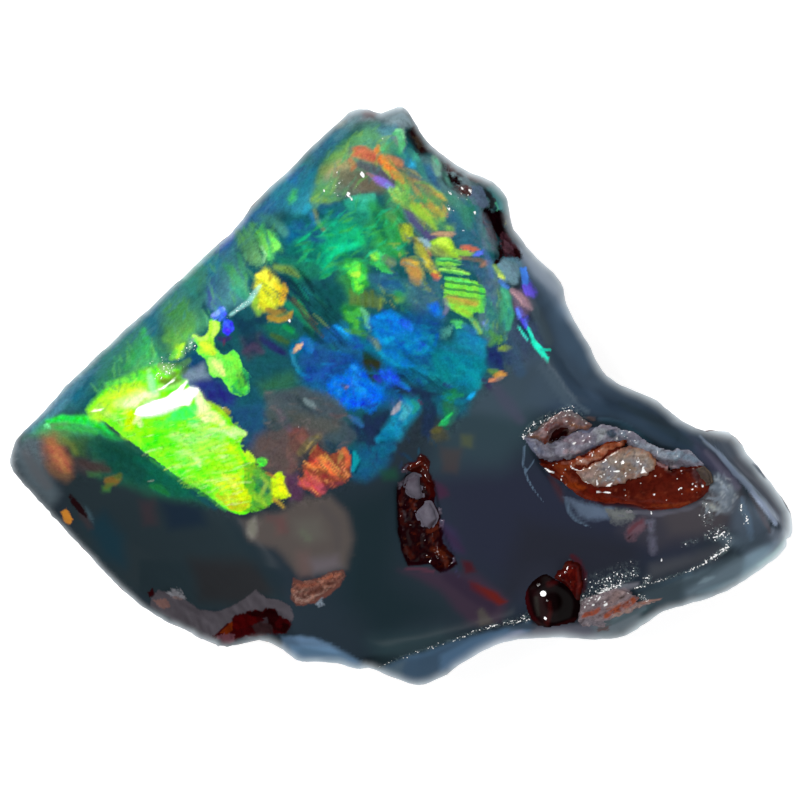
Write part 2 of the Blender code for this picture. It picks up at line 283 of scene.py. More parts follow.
    ("12406c", 0.9, 8, [(184, 360), (196, 352), (206, 360), (200, 372), (186, 370)]),
    ("7f93a8", 0.75, 9, [(182, 374), (204, 364), (210, 380), (196, 388), (186, 384)]),
    ("222f78", 0.95, 10, [(190, 382), (216, 378), (236, 396), (238, 412), (222, 408), (204, 398)]),
    ("1c4c70", 0.9, 12, [
        (222, 405), (262, 400), (268, 430), (256, 452), (240, 446), (248, 434), (232, 422),
    ]),
    ("154f62", 0.8, 10, [(236, 390), (262, 384), (266, 402), (240, 404)]),
    ("336c40", 0.7, 18, [(258, 384), (290, 372), (300, 380), (284, 392), (262, 394)]),
    ("4c5a60", 0.9, 12, [
        (266, 396), (300, 388), (340, 398), (344, 412), (318, 414), (290, 412), (264, 414),
    ]),
    ("62757c", 0.7, 5, [(306, 400), (316, 402), (318, 410), (308, 408)]),
    ("584f4e", 0.9, 16, [
        (256, 436), (300, 416), (340, 416), (348, 436), (326, 446), (316, 440), (296, 470), (286, 486),
        (264, 470), (250, 452),
    ]),
    ("384e56", 0.85, 8, [(322, 436), (344, 424), (352, 442), (344, 450), (328, 452)]),
    ("6c4038", 0.6, 8, [(288, 430), (306, 426), (312, 440), (300, 456), (288, 450)]),
    ("5c3c58", 0.7, 8, [(284, 476), (300, 474), (304, 496), (290, 502)]),
    # right end of the colour bar
    ("587880", 0.85, 12, [(484, 262), (500, 262), (498, 330), (488, 345), (478, 320), (482, 280)]),
    ("3f7870", 0.85, 9, [(500, 288), (512, 290), (514, 330), (504, 342), (496, 320)]),
    ("40a070", 0.8, 7, [(502, 290), (510, 294), (508, 326), (500, 322)]),
    ("48628c", 0.75, 8, [(486, 296), (496, 296), (494, 320), (486, 316)]),
    ("6490a4", 0.95, 5, [(496, 260), (518, 256), (524, 266), (518, 284), (506, 282), (498, 270)]),
    ("6a5670", 0.75, 8, [(512, 292), (530, 290), (536, 306), (524, 318), (514, 306)]),
    ("3a4c66", 0.8, 12, [(508, 320), (540, 320), (546, 360), (520, 372), (504, 350)]),
    ("1e3866", 0.9, 7, [(488, 346), (500, 344), (504, 362), (496, 372), (486, 362)]),
    ("3f4f5c", 0.75, 20, [
        (505, 360), (545, 350), (570, 395), (540, 410), (510, 420), (470, 410), (480, 390),
    ]),
    ("4e4c34", 0.7, 9, [(428, 428), (444, 424), (448, 438), (432, 442)]),
    ("565c38", 0.6, 8, [(462, 434), (474, 436), (472, 448), (462, 446)]),
    ("4a3a34", 0.5, 10, [(440, 446), (462, 450), (456, 472), (442, 470)]),
    # lower left bevel
    ("253238", 1.0, 14, [
        (60, 470), (120, 445), (190, 490), (230, 515), (262, 555), (284, 600), (240, 610), (180, 610),
        (130, 590), (80, 540),
    ]),
    ("1f5c48", 0.95, 16, [
        (90, 425), (130, 440), (200, 490), (205, 505), (150, 495), (100, 478), (85, 445),
    ]),
    ("0d4a40", 0.9, 12, [(95, 445), (140, 455), (170, 480), (140, 488), (104, 470)]),
    ("0c5c48", 0.8, 8, [(150, 466), (190, 488), (196, 500), (160, 494), (144, 480)]),
    ("44a068", 0.9, 14, [(24, 440), (50, 418), (90, 415), (104, 424), (90, 436), (50, 440)]),
    ("38e058", 0.9, 5, [(46, 421), (62, 415), (90, 415), (104, 423), (98, 427), (80, 424), (56, 424)]),
    ("26b050", 0.7, 6, [(94, 424), (110, 430), (122, 440), (112, 440), (96, 432)]),
    ("5a6870", 0.95, 16, [(12, 448), (28, 434), (44, 440), (46, 470), (60, 495), (50, 508), (24, 480)]),
    ("5c8a50", 0.8, 9, [(50, 422), (68, 422), (72, 444), (58, 446), (48, 436)]),
    ("3f6c3c", 0.8, 13, [(70, 436), (86, 440), (84, 456), (72, 456)]),
    ("b06c4c", 0.9, 18, [
        (44, 438), (54, 436), (62, 448), (70, 464), (68, 474), (60, 474), (50, 466), (44, 452),
    ]),
    ("7a5c44", 0.7, 9, [(44, 462), (60, 470), (72, 478), (66, 484), (50, 474)]),
    ("4a4244", 0.8, 12, [(74, 458), (104, 462), (110, 472), (86, 474), (74, 470)]),
    ("3c7040", 0.7, 6, [(86, 472), (100, 472), (102, 478), (88, 478)]),
    ("7c6c34", 0.9, 6, [(105, 480), (114, 476), (121, 480), (116, 486), (106, 486)]),
    ("3f7a3c", 0.8, 5, [(102, 487), (112, 487), (110, 493), (103, 492)]),
    ("0f3442", 0.85, 20, [(84, 525), (106, 512), (124, 536), (126, 566), (104, 556)]),
    ("152638", 0.8, 16, [(160, 500), (200, 505), (205, 525), (170, 530)]),
    ("3c3036", 0.7, 12, [(140, 502), (154, 500), (158, 524), (144, 526)]),
    ("3a3236", 0.8, 6, [(80, 506), (90, 516), (94, 528), (88, 530), (80, 516)]),
    ("44606c", 0.7, 4, [(86, 505), (92, 512), (94, 522), (90, 518)]),
    ("2b2a2c", 0.8, 20, [(190, 560), (260, 560), (280, 590), (240, 605), (200, 600)]),
    ("1e2c34", 0.7, 14, [(225, 520), (262, 545), (284, 580), (280, 600), (262, 575), (238, 545)]),
    # brown lens in the face
    ("544d4a", 0.95, 12, [
        (240, 520), (280, 512), (300, 498), (330, 496), (346, 512), (354, 540), (348, 568), (318, 572),
        (296, 572), (276, 548), (248, 540),
    ]),
    ("5c5a54", 0.7, 16, [(294, 520), (318, 518), (326, 540), (306, 545), (296, 536)]),
    ("84827a", 0.9, 8, [(247, 522), (254, 518), (257, 530), (252, 538), (246, 534)]),
    ("684a48", 0.7, 11, [(276, 518), (285, 516), (286, 530), (278, 534)]),
    ("68626a", 0.6, 14, [(306, 560), (338, 556), (342, 568), (314, 574)]),
    ("62504e", 0.7, 12, [(296, 552), (308, 552), (312, 576), (298, 578)]),
    # red and purple trails
    ("3c2c3c", 0.8, 12, [
        (400, 570), (440, 572), (480, 575), (510, 600), (500, 622), (470, 625), (440, 590),
    ]),
    ("661c12", 0.9, 5, [
        (470, 581), (480, 584), (494, 591), (508, 601), (500, 604), (484, 596), (472, 588),
    ]),
    ("48141a", 0.8, 5, [(462, 562), (472, 564), (477, 572), (466, 574)]),
    ("4c4844", 0.85, 5, [(479, 612), (484, 607), (490, 616), (494, 622), (480, 626)]),
    ("40243a", 0.8, 6, [(434, 480), (446, 486), (450, 494), (438, 498)]),
    ("3a2c50", 0.5, 10, [(440, 520), (456, 530), (466, 556), (452, 552), (442, 536)]),
]

# Crisp patches over the washes: colour, raggedness in squares, shape.
patches = [
    # the big lime flash
    ("7cff18", 0.9, [
        (86, 410), (96, 398), (108, 385), (122, 379), (134, 372), (150, 366), (168, 365), (182, 369),
        (180, 379), (190, 387), (199, 391), (206, 401), (216, 406), (224, 411), (230, 418), (234, 425),
        (241, 428), (248, 434), (243, 440), (239, 445), (246, 453), (252, 459), (256, 464), (250, 470),
        (246, 490), (250, 512), (240, 515), (226, 510), (212, 499), (200, 490), (184, 481), (168, 469),
        (150, 456), (132, 443), (116, 430), (104, 421), (94, 418),
    ]),
    ("60b824", 2.6, [
        (244, 462), (256, 464), (262, 470), (270, 478), (274, 492), (272, 504), (258, 511), (244, 512),
    ]),
    ("d0f018", 1.4, [
        (272, 478), (280, 473), (286, 477), (283, 485), (290, 495), (284, 500), (274, 500), (268, 490),
    ]),
    ("5ce838", 1.4, [(258, 460), (266, 458), (270, 462), (264, 466), (258, 465)]),
    ("c8ff20", 1.2, [(244, 452), (250, 452), (256, 461), (250, 464)]),
    # lime branch above it
    ("70e94a", 0.8, [
        (209, 320), (213, 319), (216, 321), (220, 322), (220, 327), (218, 333), (214, 337), (213, 340),
        (216, 347), (219, 352), (223, 355), (227, 354), (229, 352), (233, 350), (236, 352), (239, 356),
        (241, 361), (243, 367), (245, 369), (248, 372), (247, 376), (249, 384), (249, 392), (244, 395),
        (240, 396), (235, 394), (230, 391), (228, 388), (225, 384), (222, 379), (219, 377), (213, 377),
        (209, 374), (208, 370), (207, 364), (206, 360), (203, 357), (198, 354), (196, 351), (199, 347),
        (197, 343), (193, 338), (192, 335), (195, 335), (199, 338), (203, 337), (207, 334), (208, 328),
    ]),
    ("a4ee3a", 1.4, [
        (209, 321), (219, 322), (217, 332), (212, 338), (214, 346), (216, 353), (209, 356), (200, 352),
        (201, 346), (197, 341), (204, 338), (208, 332),
    ]),
    ("a0f868", 1.4, [(209, 358), (216, 358), (222, 362), (224, 372), (218, 376), (211, 372), (209, 366)]),
    ("2ba45b", 1.8, [
        (237, 370), (242, 366), (248, 372), (248, 384), (249, 392), (242, 395), (233, 392), (232, 386),
        (238, 380),
    ]),
    ("0b3b65", 1.6, [(240, 374), (245, 377), (247, 384), (242, 384)]),
    ("487bdf", 1.4, [(212, 316), (217, 309), (224, 309), (225, 314), (219, 318), (213, 320)]),
    ("3a42ff", 1.0, [(222, 323), (226, 319), (232, 320), (234, 330), (228, 335), (222, 333)]),
    ("6aa07e", 1.6, [(188, 339), (195, 338), (192, 346), (189, 352)]),
    # yellow patch
    ("d8e22a", 1.5, [
        (254, 286), (258, 276), (266, 268), (273, 272), (278, 279), (284, 288), (285, 294), (282, 303),
        (272, 310), (262, 312), (256, 308), (253, 300), (257, 292),
    ]),
    ("6b8149", 1.6, [(266, 314), (278, 310), (290, 312), (292, 318), (282, 322), (268, 321)]),
    # pale strokes along the upper left shoulder
    ("5dd06c", 1.8, [
        (258, 226), (263, 224), (266, 236), (272, 236), (270, 232), (274, 232), (281, 250), (274, 250),
        (272, 262), (266, 258), (260, 244),
    ]),
    ("4ca074", 1.8, [(226, 266), (232, 264), (244, 284), (254, 298), (246, 298), (234, 288)]),
    ("6cb070", 2.2, [(240, 240), (250, 228), (258, 246), (264, 262), (256, 266), (244, 256)]),
    ("58dc78", 1.0, [(288, 199), (293, 190), (297, 190), (295, 200), (290, 203)]),
    # orange and violet streaks near the point
    ("f08840", 1.4, [
        (378, 153), (384, 158), (392, 168), (402, 176), (408, 184), (400, 182), (388, 174), (380, 163),
    ]),
    ("c86c40", 1.6, [(368, 154), (378, 154), (384, 162), (376, 164), (368, 160)]),
    ("d07848", 1.8, [(386, 158), (398, 160), (402, 166), (394, 166)]),
    ("a8b850", 1.4, [(377, 146), (384, 150), (386, 156), (380, 154)]),
    ("8c68d8", 1.0, [(372, 175), (380, 176), (392, 185), (388, 188), (378, 184)]),
    ("98e068", 1.6, [(389, 188), (398, 186), (404, 196), (400, 202), (392, 196)]),
    ("768b79", 2.4, [(394, 131), (403, 129), (406, 142), (402, 150), (396, 147)]),
    ("58c478", 1.6, [(379, 150), (387, 144), (386, 150), (382, 154)]),
    ("30b4f0", 0.8, [(410, 166), (412, 160), (416, 160), (415, 167)]),
    ("58dcb8", 0.8, [(413, 160), (414, 154), (418, 153), (418, 160)]),
    ("90d04c", 2.0, [(422, 187), (428, 185), (440, 194), (444, 200), (434, 196)]),
    ("80c04b", 2.2, [(410, 212), (420, 206), (430, 210), (436, 222), (428, 222), (414, 218)]),
    ("b4b844", 2.0, [(430, 206), (438, 208), (440, 218), (434, 218)]),
    ("98dc48", 1.4, [(440, 212), (444, 212), (444, 220), (440, 220)]),
    ("8cc848", 2.0, [(446, 226), (454, 225), (455, 230), (448, 230)]),
    ("a4c028", 1.8, [(400, 230), (406, 225), (412, 229), (413, 236), (409, 242), (404, 238)]),
    ("4c5088", 1.4, [(404, 214), (412, 218), (422, 226), (434, 236), (430, 242), (420, 234), (408, 222)]),
    ("94c4d8", 1.8, [(420, 240), (426, 239), (432, 246), (428, 250)]),
    ("b7e444", 1.2, [
        (432, 243), (440, 238), (448, 237), (452, 243), (456, 254), (448, 254), (440, 248), (432, 247),
    ]),
    ("cc9c7c", 1.0, [(432, 234), (452, 234), (453, 237), (433, 237)]),
    ("90c43c", 1.4, [(456, 250), (466, 249), (474, 253), (468, 256), (458, 254)]),
    ("d0704c", 1.2, [(461, 247), (470, 247), (478, 250), (474, 252), (464, 250)]),
    ("6878f8", 1.0, [(476, 254), (483, 251), (483, 254), (477, 257)]),
    # lime spot and its green brush marks
    ("40cc44", 2.4, [
        (345, 270), (351, 262), (360, 262), (367, 270), (366, 277), (360, 280), (365, 288), (359, 293),
        (352, 286), (350, 277),
    ]),
    ("3cd068", 2.2, [
        (371, 256), (378, 252), (384, 254), (380, 262), (386, 268), (392, 272), (382, 272), (374, 264),
    ]),
    ("d8f040", 0.8, [(369, 254), (372, 254), (377, 260), (374, 261)]),
    # orange and yellow bits above the barred patch
    ("a7a554", 1.8, [(406, 263), (411, 260), (418, 262), (424, 272), (421, 284), (413, 280), (408, 270)]),
    ("e0dc3c", 1.4, [(424, 263), (428, 262), (434, 270), (440, 276), (434, 274)]),
    ("97af48", 2.0, [(416, 246), (422, 244), (428, 256), (424, 262), (418, 256)]),
    ("e07858", 1.0, [(434, 274), (439, 272), (439, 279), (435, 278)]),
    # barred patch
    ("80d448", 1.0, [(437, 260), (448, 259), (459, 262), (464, 265), (450, 267), (436, 267)]),
    ("5cbe59", 1.0, [(436, 269), (446, 268), (458, 270), (470, 274), (458, 275), (444, 273)]),
    ("7cde47", 1.3, [
        (446, 278), (462, 278), (477, 282), (484, 289), (486, 299), (483, 312), (474, 312), (468, 318),
        (462, 316), (450, 310), (444, 304), (443, 293),
    ]),
    ("50d460", 2.0, [(455, 322), (462, 321), (464, 328), (457, 329)]),
    ("469286", 2.2, [(441, 332), (448, 328), (454, 326), (448, 336), (443, 337)]),
    ("39ada8", 1.8, [(470, 318), (476, 320), (482, 330), (478, 334), (472, 326)]),
    ("8494f0", 1.4, [(484, 320), (489, 320), (490, 328), (487, 332), (484, 326)]),
    ("93ac9b", 1.2, [(494, 266), (498, 269), (505, 278), (503, 281), (498, 276)]),
    # blue flashes
    ("0c90e0", 1.6, [
        (374, 322), (380, 315), (390, 312), (400, 318), (406, 322), (413, 326), (412, 332), (404, 336),
        (396, 338), (386, 346), (378, 342), (372, 332),
    ]),
    ("0674d0", 1.8, [
        (396, 338), (410, 334), (426, 336), (436, 336), (434, 344), (428, 353), (416, 354), (400, 350),
    ]),
    ("047ec9", 1.0, [(334, 327), (338, 325), (346, 331), (352, 337), (350, 340), (342, 334)]),
    ("047aec", 2.0, [
        (327, 388), (329, 382), (336, 376), (343, 376), (350, 370), (355, 363), (361, 370), (366, 376),
        (370, 382), (384, 386), (384, 396), (378, 403), (371, 411), (362, 406), (352, 408), (344, 406),
        (340, 398), (334, 396),
    ]),
    ("1768ea", 1.6, [(380, 374), (388, 368), (395, 372), (398, 380), (404, 386), (396, 384), (386, 384)]),
    ("0583df", 2.0, [(378, 350), (392, 352), (404, 360), (414, 366), (404, 368), (388, 362)]),
    ("1878e8", 1.6, [(428, 307), (434, 303), (440, 308), (442, 316), (436, 316), (430, 312)]),
    ("03618b", 1.6, [
        (289, 350), (292, 343), (300, 340), (306, 335), (314, 340), (314, 348), (304, 350), (298, 356),
        (300, 370), (294, 364),
    ]),
    ("9c8878", 0.8, [(294, 348), (298, 344), (301, 344), (299, 348), (296, 350)]),
    ("1284ac", 1.0, [(467, 397), (472, 393), (474, 397), (471, 401)]),
    ("125643", 1.2, [(441, 420), (445, 414), (452, 412), (447, 418), (446, 426), (450, 430), (444, 427)]),
    ("2c3a28", 1.4, [
        (364, 356), (370, 354), (380, 358), (381, 364), (376, 374), (374, 380), (369, 374), (365, 364),
    ]),
    ("3c5068", 0.8, [(343, 385), (347, 383), (349, 387), (345, 389)]),
    ("053f58", 1.4, [(351, 452), (354, 450), (358, 454), (362, 462), (356, 474), (351, 470)]),
    ("3f6696", 2.4, [(391, 404), (398, 400), (402, 406), (397, 414), (392, 412)]),
    # orange patch
    ("884030", 1.8, [
        (311, 448), (318, 443), (323, 450), (330, 456), (336, 452), (342, 448), (348, 452), (351, 460),
        (349, 470), (350, 477), (344, 482), (336, 486), (326, 486), (322, 496), (316, 496), (312, 490),
        (302, 490), (298, 482), (305, 474), (303, 466), (308, 458),
    ]),
    # right end
    ("4c90fc", 1.2, [(521, 270), (526, 267), (529, 276), (529, 284), (524, 284)]),
    ("7058f8", 1.2, [(524, 286), (530, 283), (536, 292), (534, 297), (528, 294)]),
    ("7c7080", 1.6, [(512, 294), (520, 292), (526, 300), (533, 307), (529, 309), (518, 302)]),
    ("6868e4", 1.2, [(517, 309), (520, 308), (523, 314), (519, 318)]),
    ("4c50d4", 1.0, [(522, 318), (527, 317), (530, 328), (526, 328)]),
    ("5c889d", 0.7, [(519, 327, 2), (524, 335, 3), (527, 340, 2)]),
    ("1fbfb0", 1.0, [(529, 328, 3), (533, 341, 4), (540, 350, 6), (546, 360, 3)]),
    ("20c8a8", 0.8, [(544, 350, 3), (550, 349, 2)]),
    ("8c7468", 1.4, [(494, 379), (500, 372), (505, 374), (502, 379), (497, 382)]),
    ("8cb050", 2.0, [(499, 348), (504, 345), (511, 346), (506, 351)]),
    ("5c9838", 2.4, [(494, 338), (502, 334), (506, 340), (498, 344)]),
    # lower left bevel
    ("cc8430", 1.0, [(61, 512), (66, 508), (70, 514), (73, 520), (70, 525), (65, 522)]),
    ("1c0408", 0.9, [(71, 497, 5), (78, 507, 6), (87, 517, 3)]),
    ("7cf098", 1.6, [(45, 425), (49, 422), (50, 426), (46, 428)]),
    # host rock along the lower left edge
    ("4c484e", 0.9, [
        (152, 597), (158, 590), (170, 592), (180, 592), (186, 600), (200, 610), (216, 612), (232, 606),
        (246, 598), (256, 590), (266, 598), (280, 600), (290, 606), (294, 616), (288, 630), (240, 640),
        (196, 640), (170, 618), (150, 606),
    ]),
    ("6c5c5c", 1.4, [(170, 592), (178, 590), (184, 596), (182, 600), (174, 598)]),
    ("705450", 2.2, [(154, 600), (166, 598), (170, 606), (162, 608)]),
    ("78787e", 2.0, [(166, 592), (172, 589), (178, 590), (184, 595), (186, 600), (178, 596), (170, 595)]),
    ("300406", 1.4, [
        (212, 636), (218, 633), (222, 629), (226, 625), (231, 622), (233, 617), (238, 615), (243, 614),
        (248, 612), (255, 611), (262, 613), (266, 609), (274, 609), (278, 614), (282, 618), (288, 619),
        (292, 624), (290, 628), (286, 632), (282, 634), (276, 634), (262, 636), (244, 636), (238, 640),
        (230, 644), (222, 641),
    ]),
    ("3c0405", 1.4, [
        (232, 628), (234, 619), (240, 616), (248, 617), (256, 617), (256, 623), (246, 627), (238, 630),
    ]),
    ("5c2008", 1.4, [(220, 632), (226, 627), (231, 623), (232, 629), (226, 634)]),
    ("1c0304", 1.4, [
        (246, 613), (258, 612), (264, 614), (268, 609), (276, 611), (278, 618), (274, 624), (280, 630),
        (284, 622), (290, 626), (284, 633), (272, 628), (262, 618), (250, 616),
    ]),
    ("2c1c1e", 2.0, [(252, 626), (262, 622), (272, 626), (274, 633), (256, 634)]),
    ("55343c", 2.0, [(216, 636), (226, 634), (234, 634), (234, 641), (228, 645), (220, 642)]),
    ("352b30", 1.6, [(264, 619), (268, 618), (268, 623), (264, 624)]),
    ("5f3b34", 1.2, [
        (292, 578), (304, 582), (318, 578), (330, 572), (344, 570), (346, 576), (340, 586), (326, 597),
        (310, 604), (296, 606), (290, 598), (293, 588),
    ]),
    ("74808c", 1.4, [(316, 604), (322, 598), (324, 604), (319, 608)]),
    ("28060a", 1.2, [(148, 592), (153, 588), (154, 594), (150, 597)]),
    # long ironstone inclusion
    ("180206", 0.9, [
        (396, 488), (402, 480), (408, 474), (418, 470), (424, 468), (431, 478), (436, 492), (434, 502),
        (440, 512), (443, 532), (443, 544), (452, 552), (458, 564), (448, 572), (440, 573), (430, 564),
        (408, 566), (402, 552), (398, 530), (396, 505),
    ]),
    ("2e0503", 1.2, [
        (402, 468), (408, 462), (416, 462), (420, 453), (426, 456), (430, 462), (428, 470), (434, 482),
        (436, 494), (430, 498), (426, 486), (421, 472), (412, 470), (404, 472),
    ]),
    ("260703", 2.0, [(432, 552), (444, 546), (450, 552), (452, 560), (446, 568), (438, 566)]),
    ("3c180c", 2.0, [(422, 526), (430, 524), (438, 522), (438, 530), (428, 534)]),
    ("5c5460", 1.2, [(398, 482), (403, 480), (404, 486), (399, 488)]),
    ("4c4450", 1.4, [(402, 472), (408, 464), (412, 464), (408, 472)]),
    ("5c5460", 1.0, [(438, 508), (441, 509), (441, 514), (438, 512)]),
    ("584c60", 1.0, [(440, 519), (444, 520), (444, 528), (441, 526)]),
    ("544858", 1.0, [(452, 556), (455, 558), (455, 562), (453, 562)]),
    ("4c1c10", 2.2, [(410, 500), (416, 500), (416, 514), (411, 514)]),
    # pocket: pale rim, red ironstone and the hole at its left end
    ("707389", 0.5, [
        (523, 437), (536, 439), (548, 441), (566, 436), (580, 430), (600, 427), (609, 426), (618, 430),
        (634, 437), (646, 444), (660, 451), (684, 453), (698, 460), (704, 468), (690, 464), (664, 468),
        (650, 458), (620, 440), (594, 450), (566, 460), (540, 460), (530, 448),
    ]),
    ("566478", 1.4, [
        (562, 495), (572, 499), (584, 503), (598, 505), (612, 507), (622, 511), (618, 517), (604, 518),
        (590, 519), (580, 516), (574, 508),
    ]),
    ("686c6c", 3.0, [
        (606, 509), (616, 508), (626, 511), (634, 512), (633, 517), (626, 521), (618, 522), (611, 518),
    ]),
    ("5c4a44", 1.2, [
        (526, 436), (538, 428), (552, 416), (568, 412), (580, 418), (578, 428), (566, 438), (546, 444),
    ]),
    ("380a0a", 1.6, [(548, 436), (554, 430), (564, 430), (568, 434), (560, 440), (550, 440)]),
    ("481816", 2.0, [(540, 436), (550, 428), (560, 424), (570, 426), (560, 432), (546, 440)]),
    ("7c3014", 1.0, [
        (568, 462), (580, 458), (594, 448), (608, 442), (620, 440), (630, 440), (616, 450), (600, 456),
        (586, 466), (574, 470),
    ]),
    ("481208", 0.6, [
        (537, 457), (552, 462), (566, 458), (578, 460), (580, 474), (590, 484), (604, 488), (620, 480),
        (634, 476), (652, 470), (656, 464), (680, 468), (700, 464), (712, 482), (708, 492), (698, 500),
        (676, 509), (650, 510), (626, 504), (604, 504), (586, 498), (570, 486), (552, 476),
    ]),
    # pink crumbs under the pocket
    ("664c56", 2.4, [(630, 526), (640, 518), (648, 520), (646, 526), (638, 532), (634, 538), (628, 538)]),
    ("646474", 1.4, [(646, 520), (653, 520), (654, 530), (650, 532)]),
    ("585868", 1.2, [(649, 536), (656, 538), (656, 552), (653, 556), (650, 548)]),
    # pale fracture cracks
    ("54687c", 0.15, [(524, 446, 2.4), (523, 465, 2.4), (527, 478, 2.4), (534, 490, 2.0), (543, 502, 1)]),
    ("54687c", 0.15, [(526, 472, 1.2), (534, 460, 1.4)]),
    ("5c7084", 0.15, [(566, 500, 2.2), (569, 512, 2.2), (577, 521, 2), (591, 527, 1)]),
    # pale rock with red streaks beside the bead
    ("7c6e74", 1.4, [
        (582, 604), (590, 598), (602, 594), (612, 588), (626, 588), (632, 594), (626, 600), (632, 606),
        (650, 600), (645, 606), (620, 616), (604, 622), (580, 624), (578, 612),
    ]),
    ("943c20", 1.2, [(583, 614), (590, 610), (598, 608), (598, 614), (588, 617)]),
    ("64200e", 1.2, [
        (604, 616), (614, 608), (622, 602), (632, 599), (638, 597), (634, 604), (620, 614), (608, 619),
    ]),
    ("6d555a", 1.4, [(600, 618), (612, 618), (608, 630), (598, 632)]),
    # pits along the upper right edge
    ("4d1c20", 0.8, [
        (408, 134), (409, 130), (411, 128), (415, 128), (416, 132), (420, 137), (424, 143), (428, 150),
        (426, 153), (421, 154), (419, 152), (417, 148), (414, 145), (412, 140),
    ]),
    ("563f2e", 1.2, [(414, 137), (418, 138), (421, 143), (418, 147), (415, 143)]),
    ("44241c", 0.9, [(420, 148), (425, 147), (427, 151), (422, 153)]),
    ("776467", 2.4, [(362, 113), (370, 111), (378, 113), (374, 118), (364, 118)]),
    ("5c3830", 1.6, [(443, 164), (447, 163), (450, 166), (453, 171), (449, 172), (446, 169)]),
    ("1c0203", 1.0, [
        (443, 179), (447, 177), (450, 178), (453, 176), (455, 175), (457, 177), (459, 179), (459, 182),
        (456, 184), (457, 187), (453, 185), (450, 185), (446, 182),
    ]),
    ("4c2c26", 1.2, [
        (453, 189), (458, 187), (462, 185), (468, 185), (471, 189), (469, 193), (466, 196), (461, 194),
        (457, 192),
    ]),
    ("602428", 0.8, [(462, 190), (467, 189), (468, 194), (463, 195)]),
    ("3c1814", 0.8, [(467, 176), (472, 177), (478, 179), (482, 181), (478, 182), (472, 181), (469, 179)]),
    ("2a1c20", 1.0, [(456, 172), (461, 173), (464, 176), (459, 177), (456, 175)]),
    ("384448", 1.2, [
        (484, 188), (488, 192), (492, 196), (498, 198), (500, 202), (496, 204), (493, 208), (490, 209),
        (489, 203), (490, 198), (486, 193),
    ]),
    ("160204", 1.0, [
        (482, 210), (484, 208), (488, 208), (490, 211), (493, 212), (498, 213), (502, 211), (504, 214),
        (503, 218), (502, 222), (505, 226), (507, 231), (509, 236), (511, 241), (507, 243), (503, 241),
        (500, 240), (498, 236), (496, 231), (494, 227), (490, 224), (489, 220), (486, 217), (484, 214),
    ]),
    ("5c414b", 1.6, [(500, 230), (504, 229), (509, 238), (511, 243), (506, 242), (502, 238)]),
    ("3c2018", 0.9, [(484, 218), (487, 218), (489, 224), (487, 225), (484, 221)]),
    ("5c4048", 1.4, [
        (483, 212), (485, 222), (489, 226), (493, 230), (496, 237), (497, 241), (492, 238), (488, 232),
        (484, 225),
    ]),
    ("64643c", 0.8, [(502, 216), (505, 217), (507, 224), (504, 227), (501, 224)]),
    ("6c4a58", 1.0, [
        (500, 243), (505, 242), (511, 244), (516, 246), (520, 250), (517, 254), (512, 256), (506, 255),
        (503, 250),
    ]),
    ("1c0406", 0.8, [
        (496, 247), (499, 244), (502, 247), (504, 251), (503, 256), (502, 259), (499, 261), (497, 264),
        (494, 264), (495, 261), (498, 258), (499, 253),
    ]),
    ("240a10", 0.8, [(515, 251), (517, 247), (520, 248), (520, 254), (519, 258), (516, 256)]),
    ("3c1820", 0.8, [(503, 255), (510, 256), (516, 256), (514, 258), (505, 257)]),
    ("50b090", 0.6, [(496, 203), (500, 203), (500, 208), (497, 207)]),
    ("58b48c", 0.5, [(497, 209), (500, 209), (500, 212), (497, 212)]),
    # dark host rock at the upper right edge
    ("5c7088", 1.6, [(472, 184), (482, 186), (486, 196), (490, 204), (484, 208), (474, 204), (468, 196)]),
    ("4c8c90", 1.6, [(492, 186), (500, 190), (506, 200), (506, 210), (500, 210), (497, 200)]),
    ("24100e", 1.4, [
        (409, 128), (415, 126), (419, 135), (424, 142), (430, 151), (426, 154), (419, 154), (416, 148),
        (411, 141), (407, 134),
    ]),
    ("3c2c20", 1.6, [(413, 136), (418, 137), (423, 146), (419, 148)]),
    ("3c1814", 2.4, [(442, 162), (448, 160), (454, 167), (456, 172), (450, 172), (446, 170)]),
    ("180406", 2.2, [
        (445, 177), (450, 173), (453, 177), (458, 175), (461, 181), (461, 186), (455, 185), (449, 185),
        (445, 181),
    ]),
    ("3c1c14", 2.2, [(466, 174), (474, 174), (482, 179), (478, 183), (470, 179)]),
    ("50302e", 2.4, [(455, 186), (462, 185), (471, 187), (471, 194), (466, 197), (459, 194)]),
    ("262c30", 1.6, [(484, 187), (490, 191), (494, 199), (493, 209), (489, 208), (490, 200), (486, 195)]),
    ("120206", 1.8, [
        (482, 209), (488, 206), (493, 211), (498, 211), (504, 212), (506, 219), (504, 225), (507, 232),
        (503, 238), (498, 238), (495, 232), (491, 225), (488, 218), (485, 214),
    ]),
    ("34141a", 2.0, [(484, 214), (488, 216), (492, 226), (496, 234), (492, 232), (487, 224)]),
    ("3c2028", 1.8, [
        (502, 232), (508, 234), (512, 242), (518, 247), (522, 254), (521, 260), (516, 258), (511, 257),
        (504, 256), (501, 248), (502, 241), (500, 238),
    ]),
    ("1c060a", 1.8, [
        (500, 245), (503, 250), (504, 256), (502, 260), (498, 263), (493, 265), (498, 258), (500, 252),
    ]),
    ("1c0608", 1.8, [(514, 249), (520, 250), (522, 257), (520, 261), (516, 257)]),
    ("50343c", 2.2, [(504, 240), (509, 243), (513, 250), (508, 254), (504, 249)]),
    ("c8e010", 3.0, [(232, 492), (246, 490), (252, 498), (248, 508), (240, 512), (230, 510), (224, 502)]),
    ("d8a818", 2.6, [(232, 502), (242, 500), (240, 509), (230, 508)]),
    ("9cc020", 3.2, [(248, 468), (256, 466), (262, 474), (270, 480), (266, 488), (254, 486)]),
    ("a8c818", 3.2, [(252, 494), (262, 492), (272, 496), (284, 500), (270, 502), (256, 502)]),
    ("1c7038", 3.2, [(252, 482), (264, 484), (272, 492), (262, 498), (250, 492)]),
]
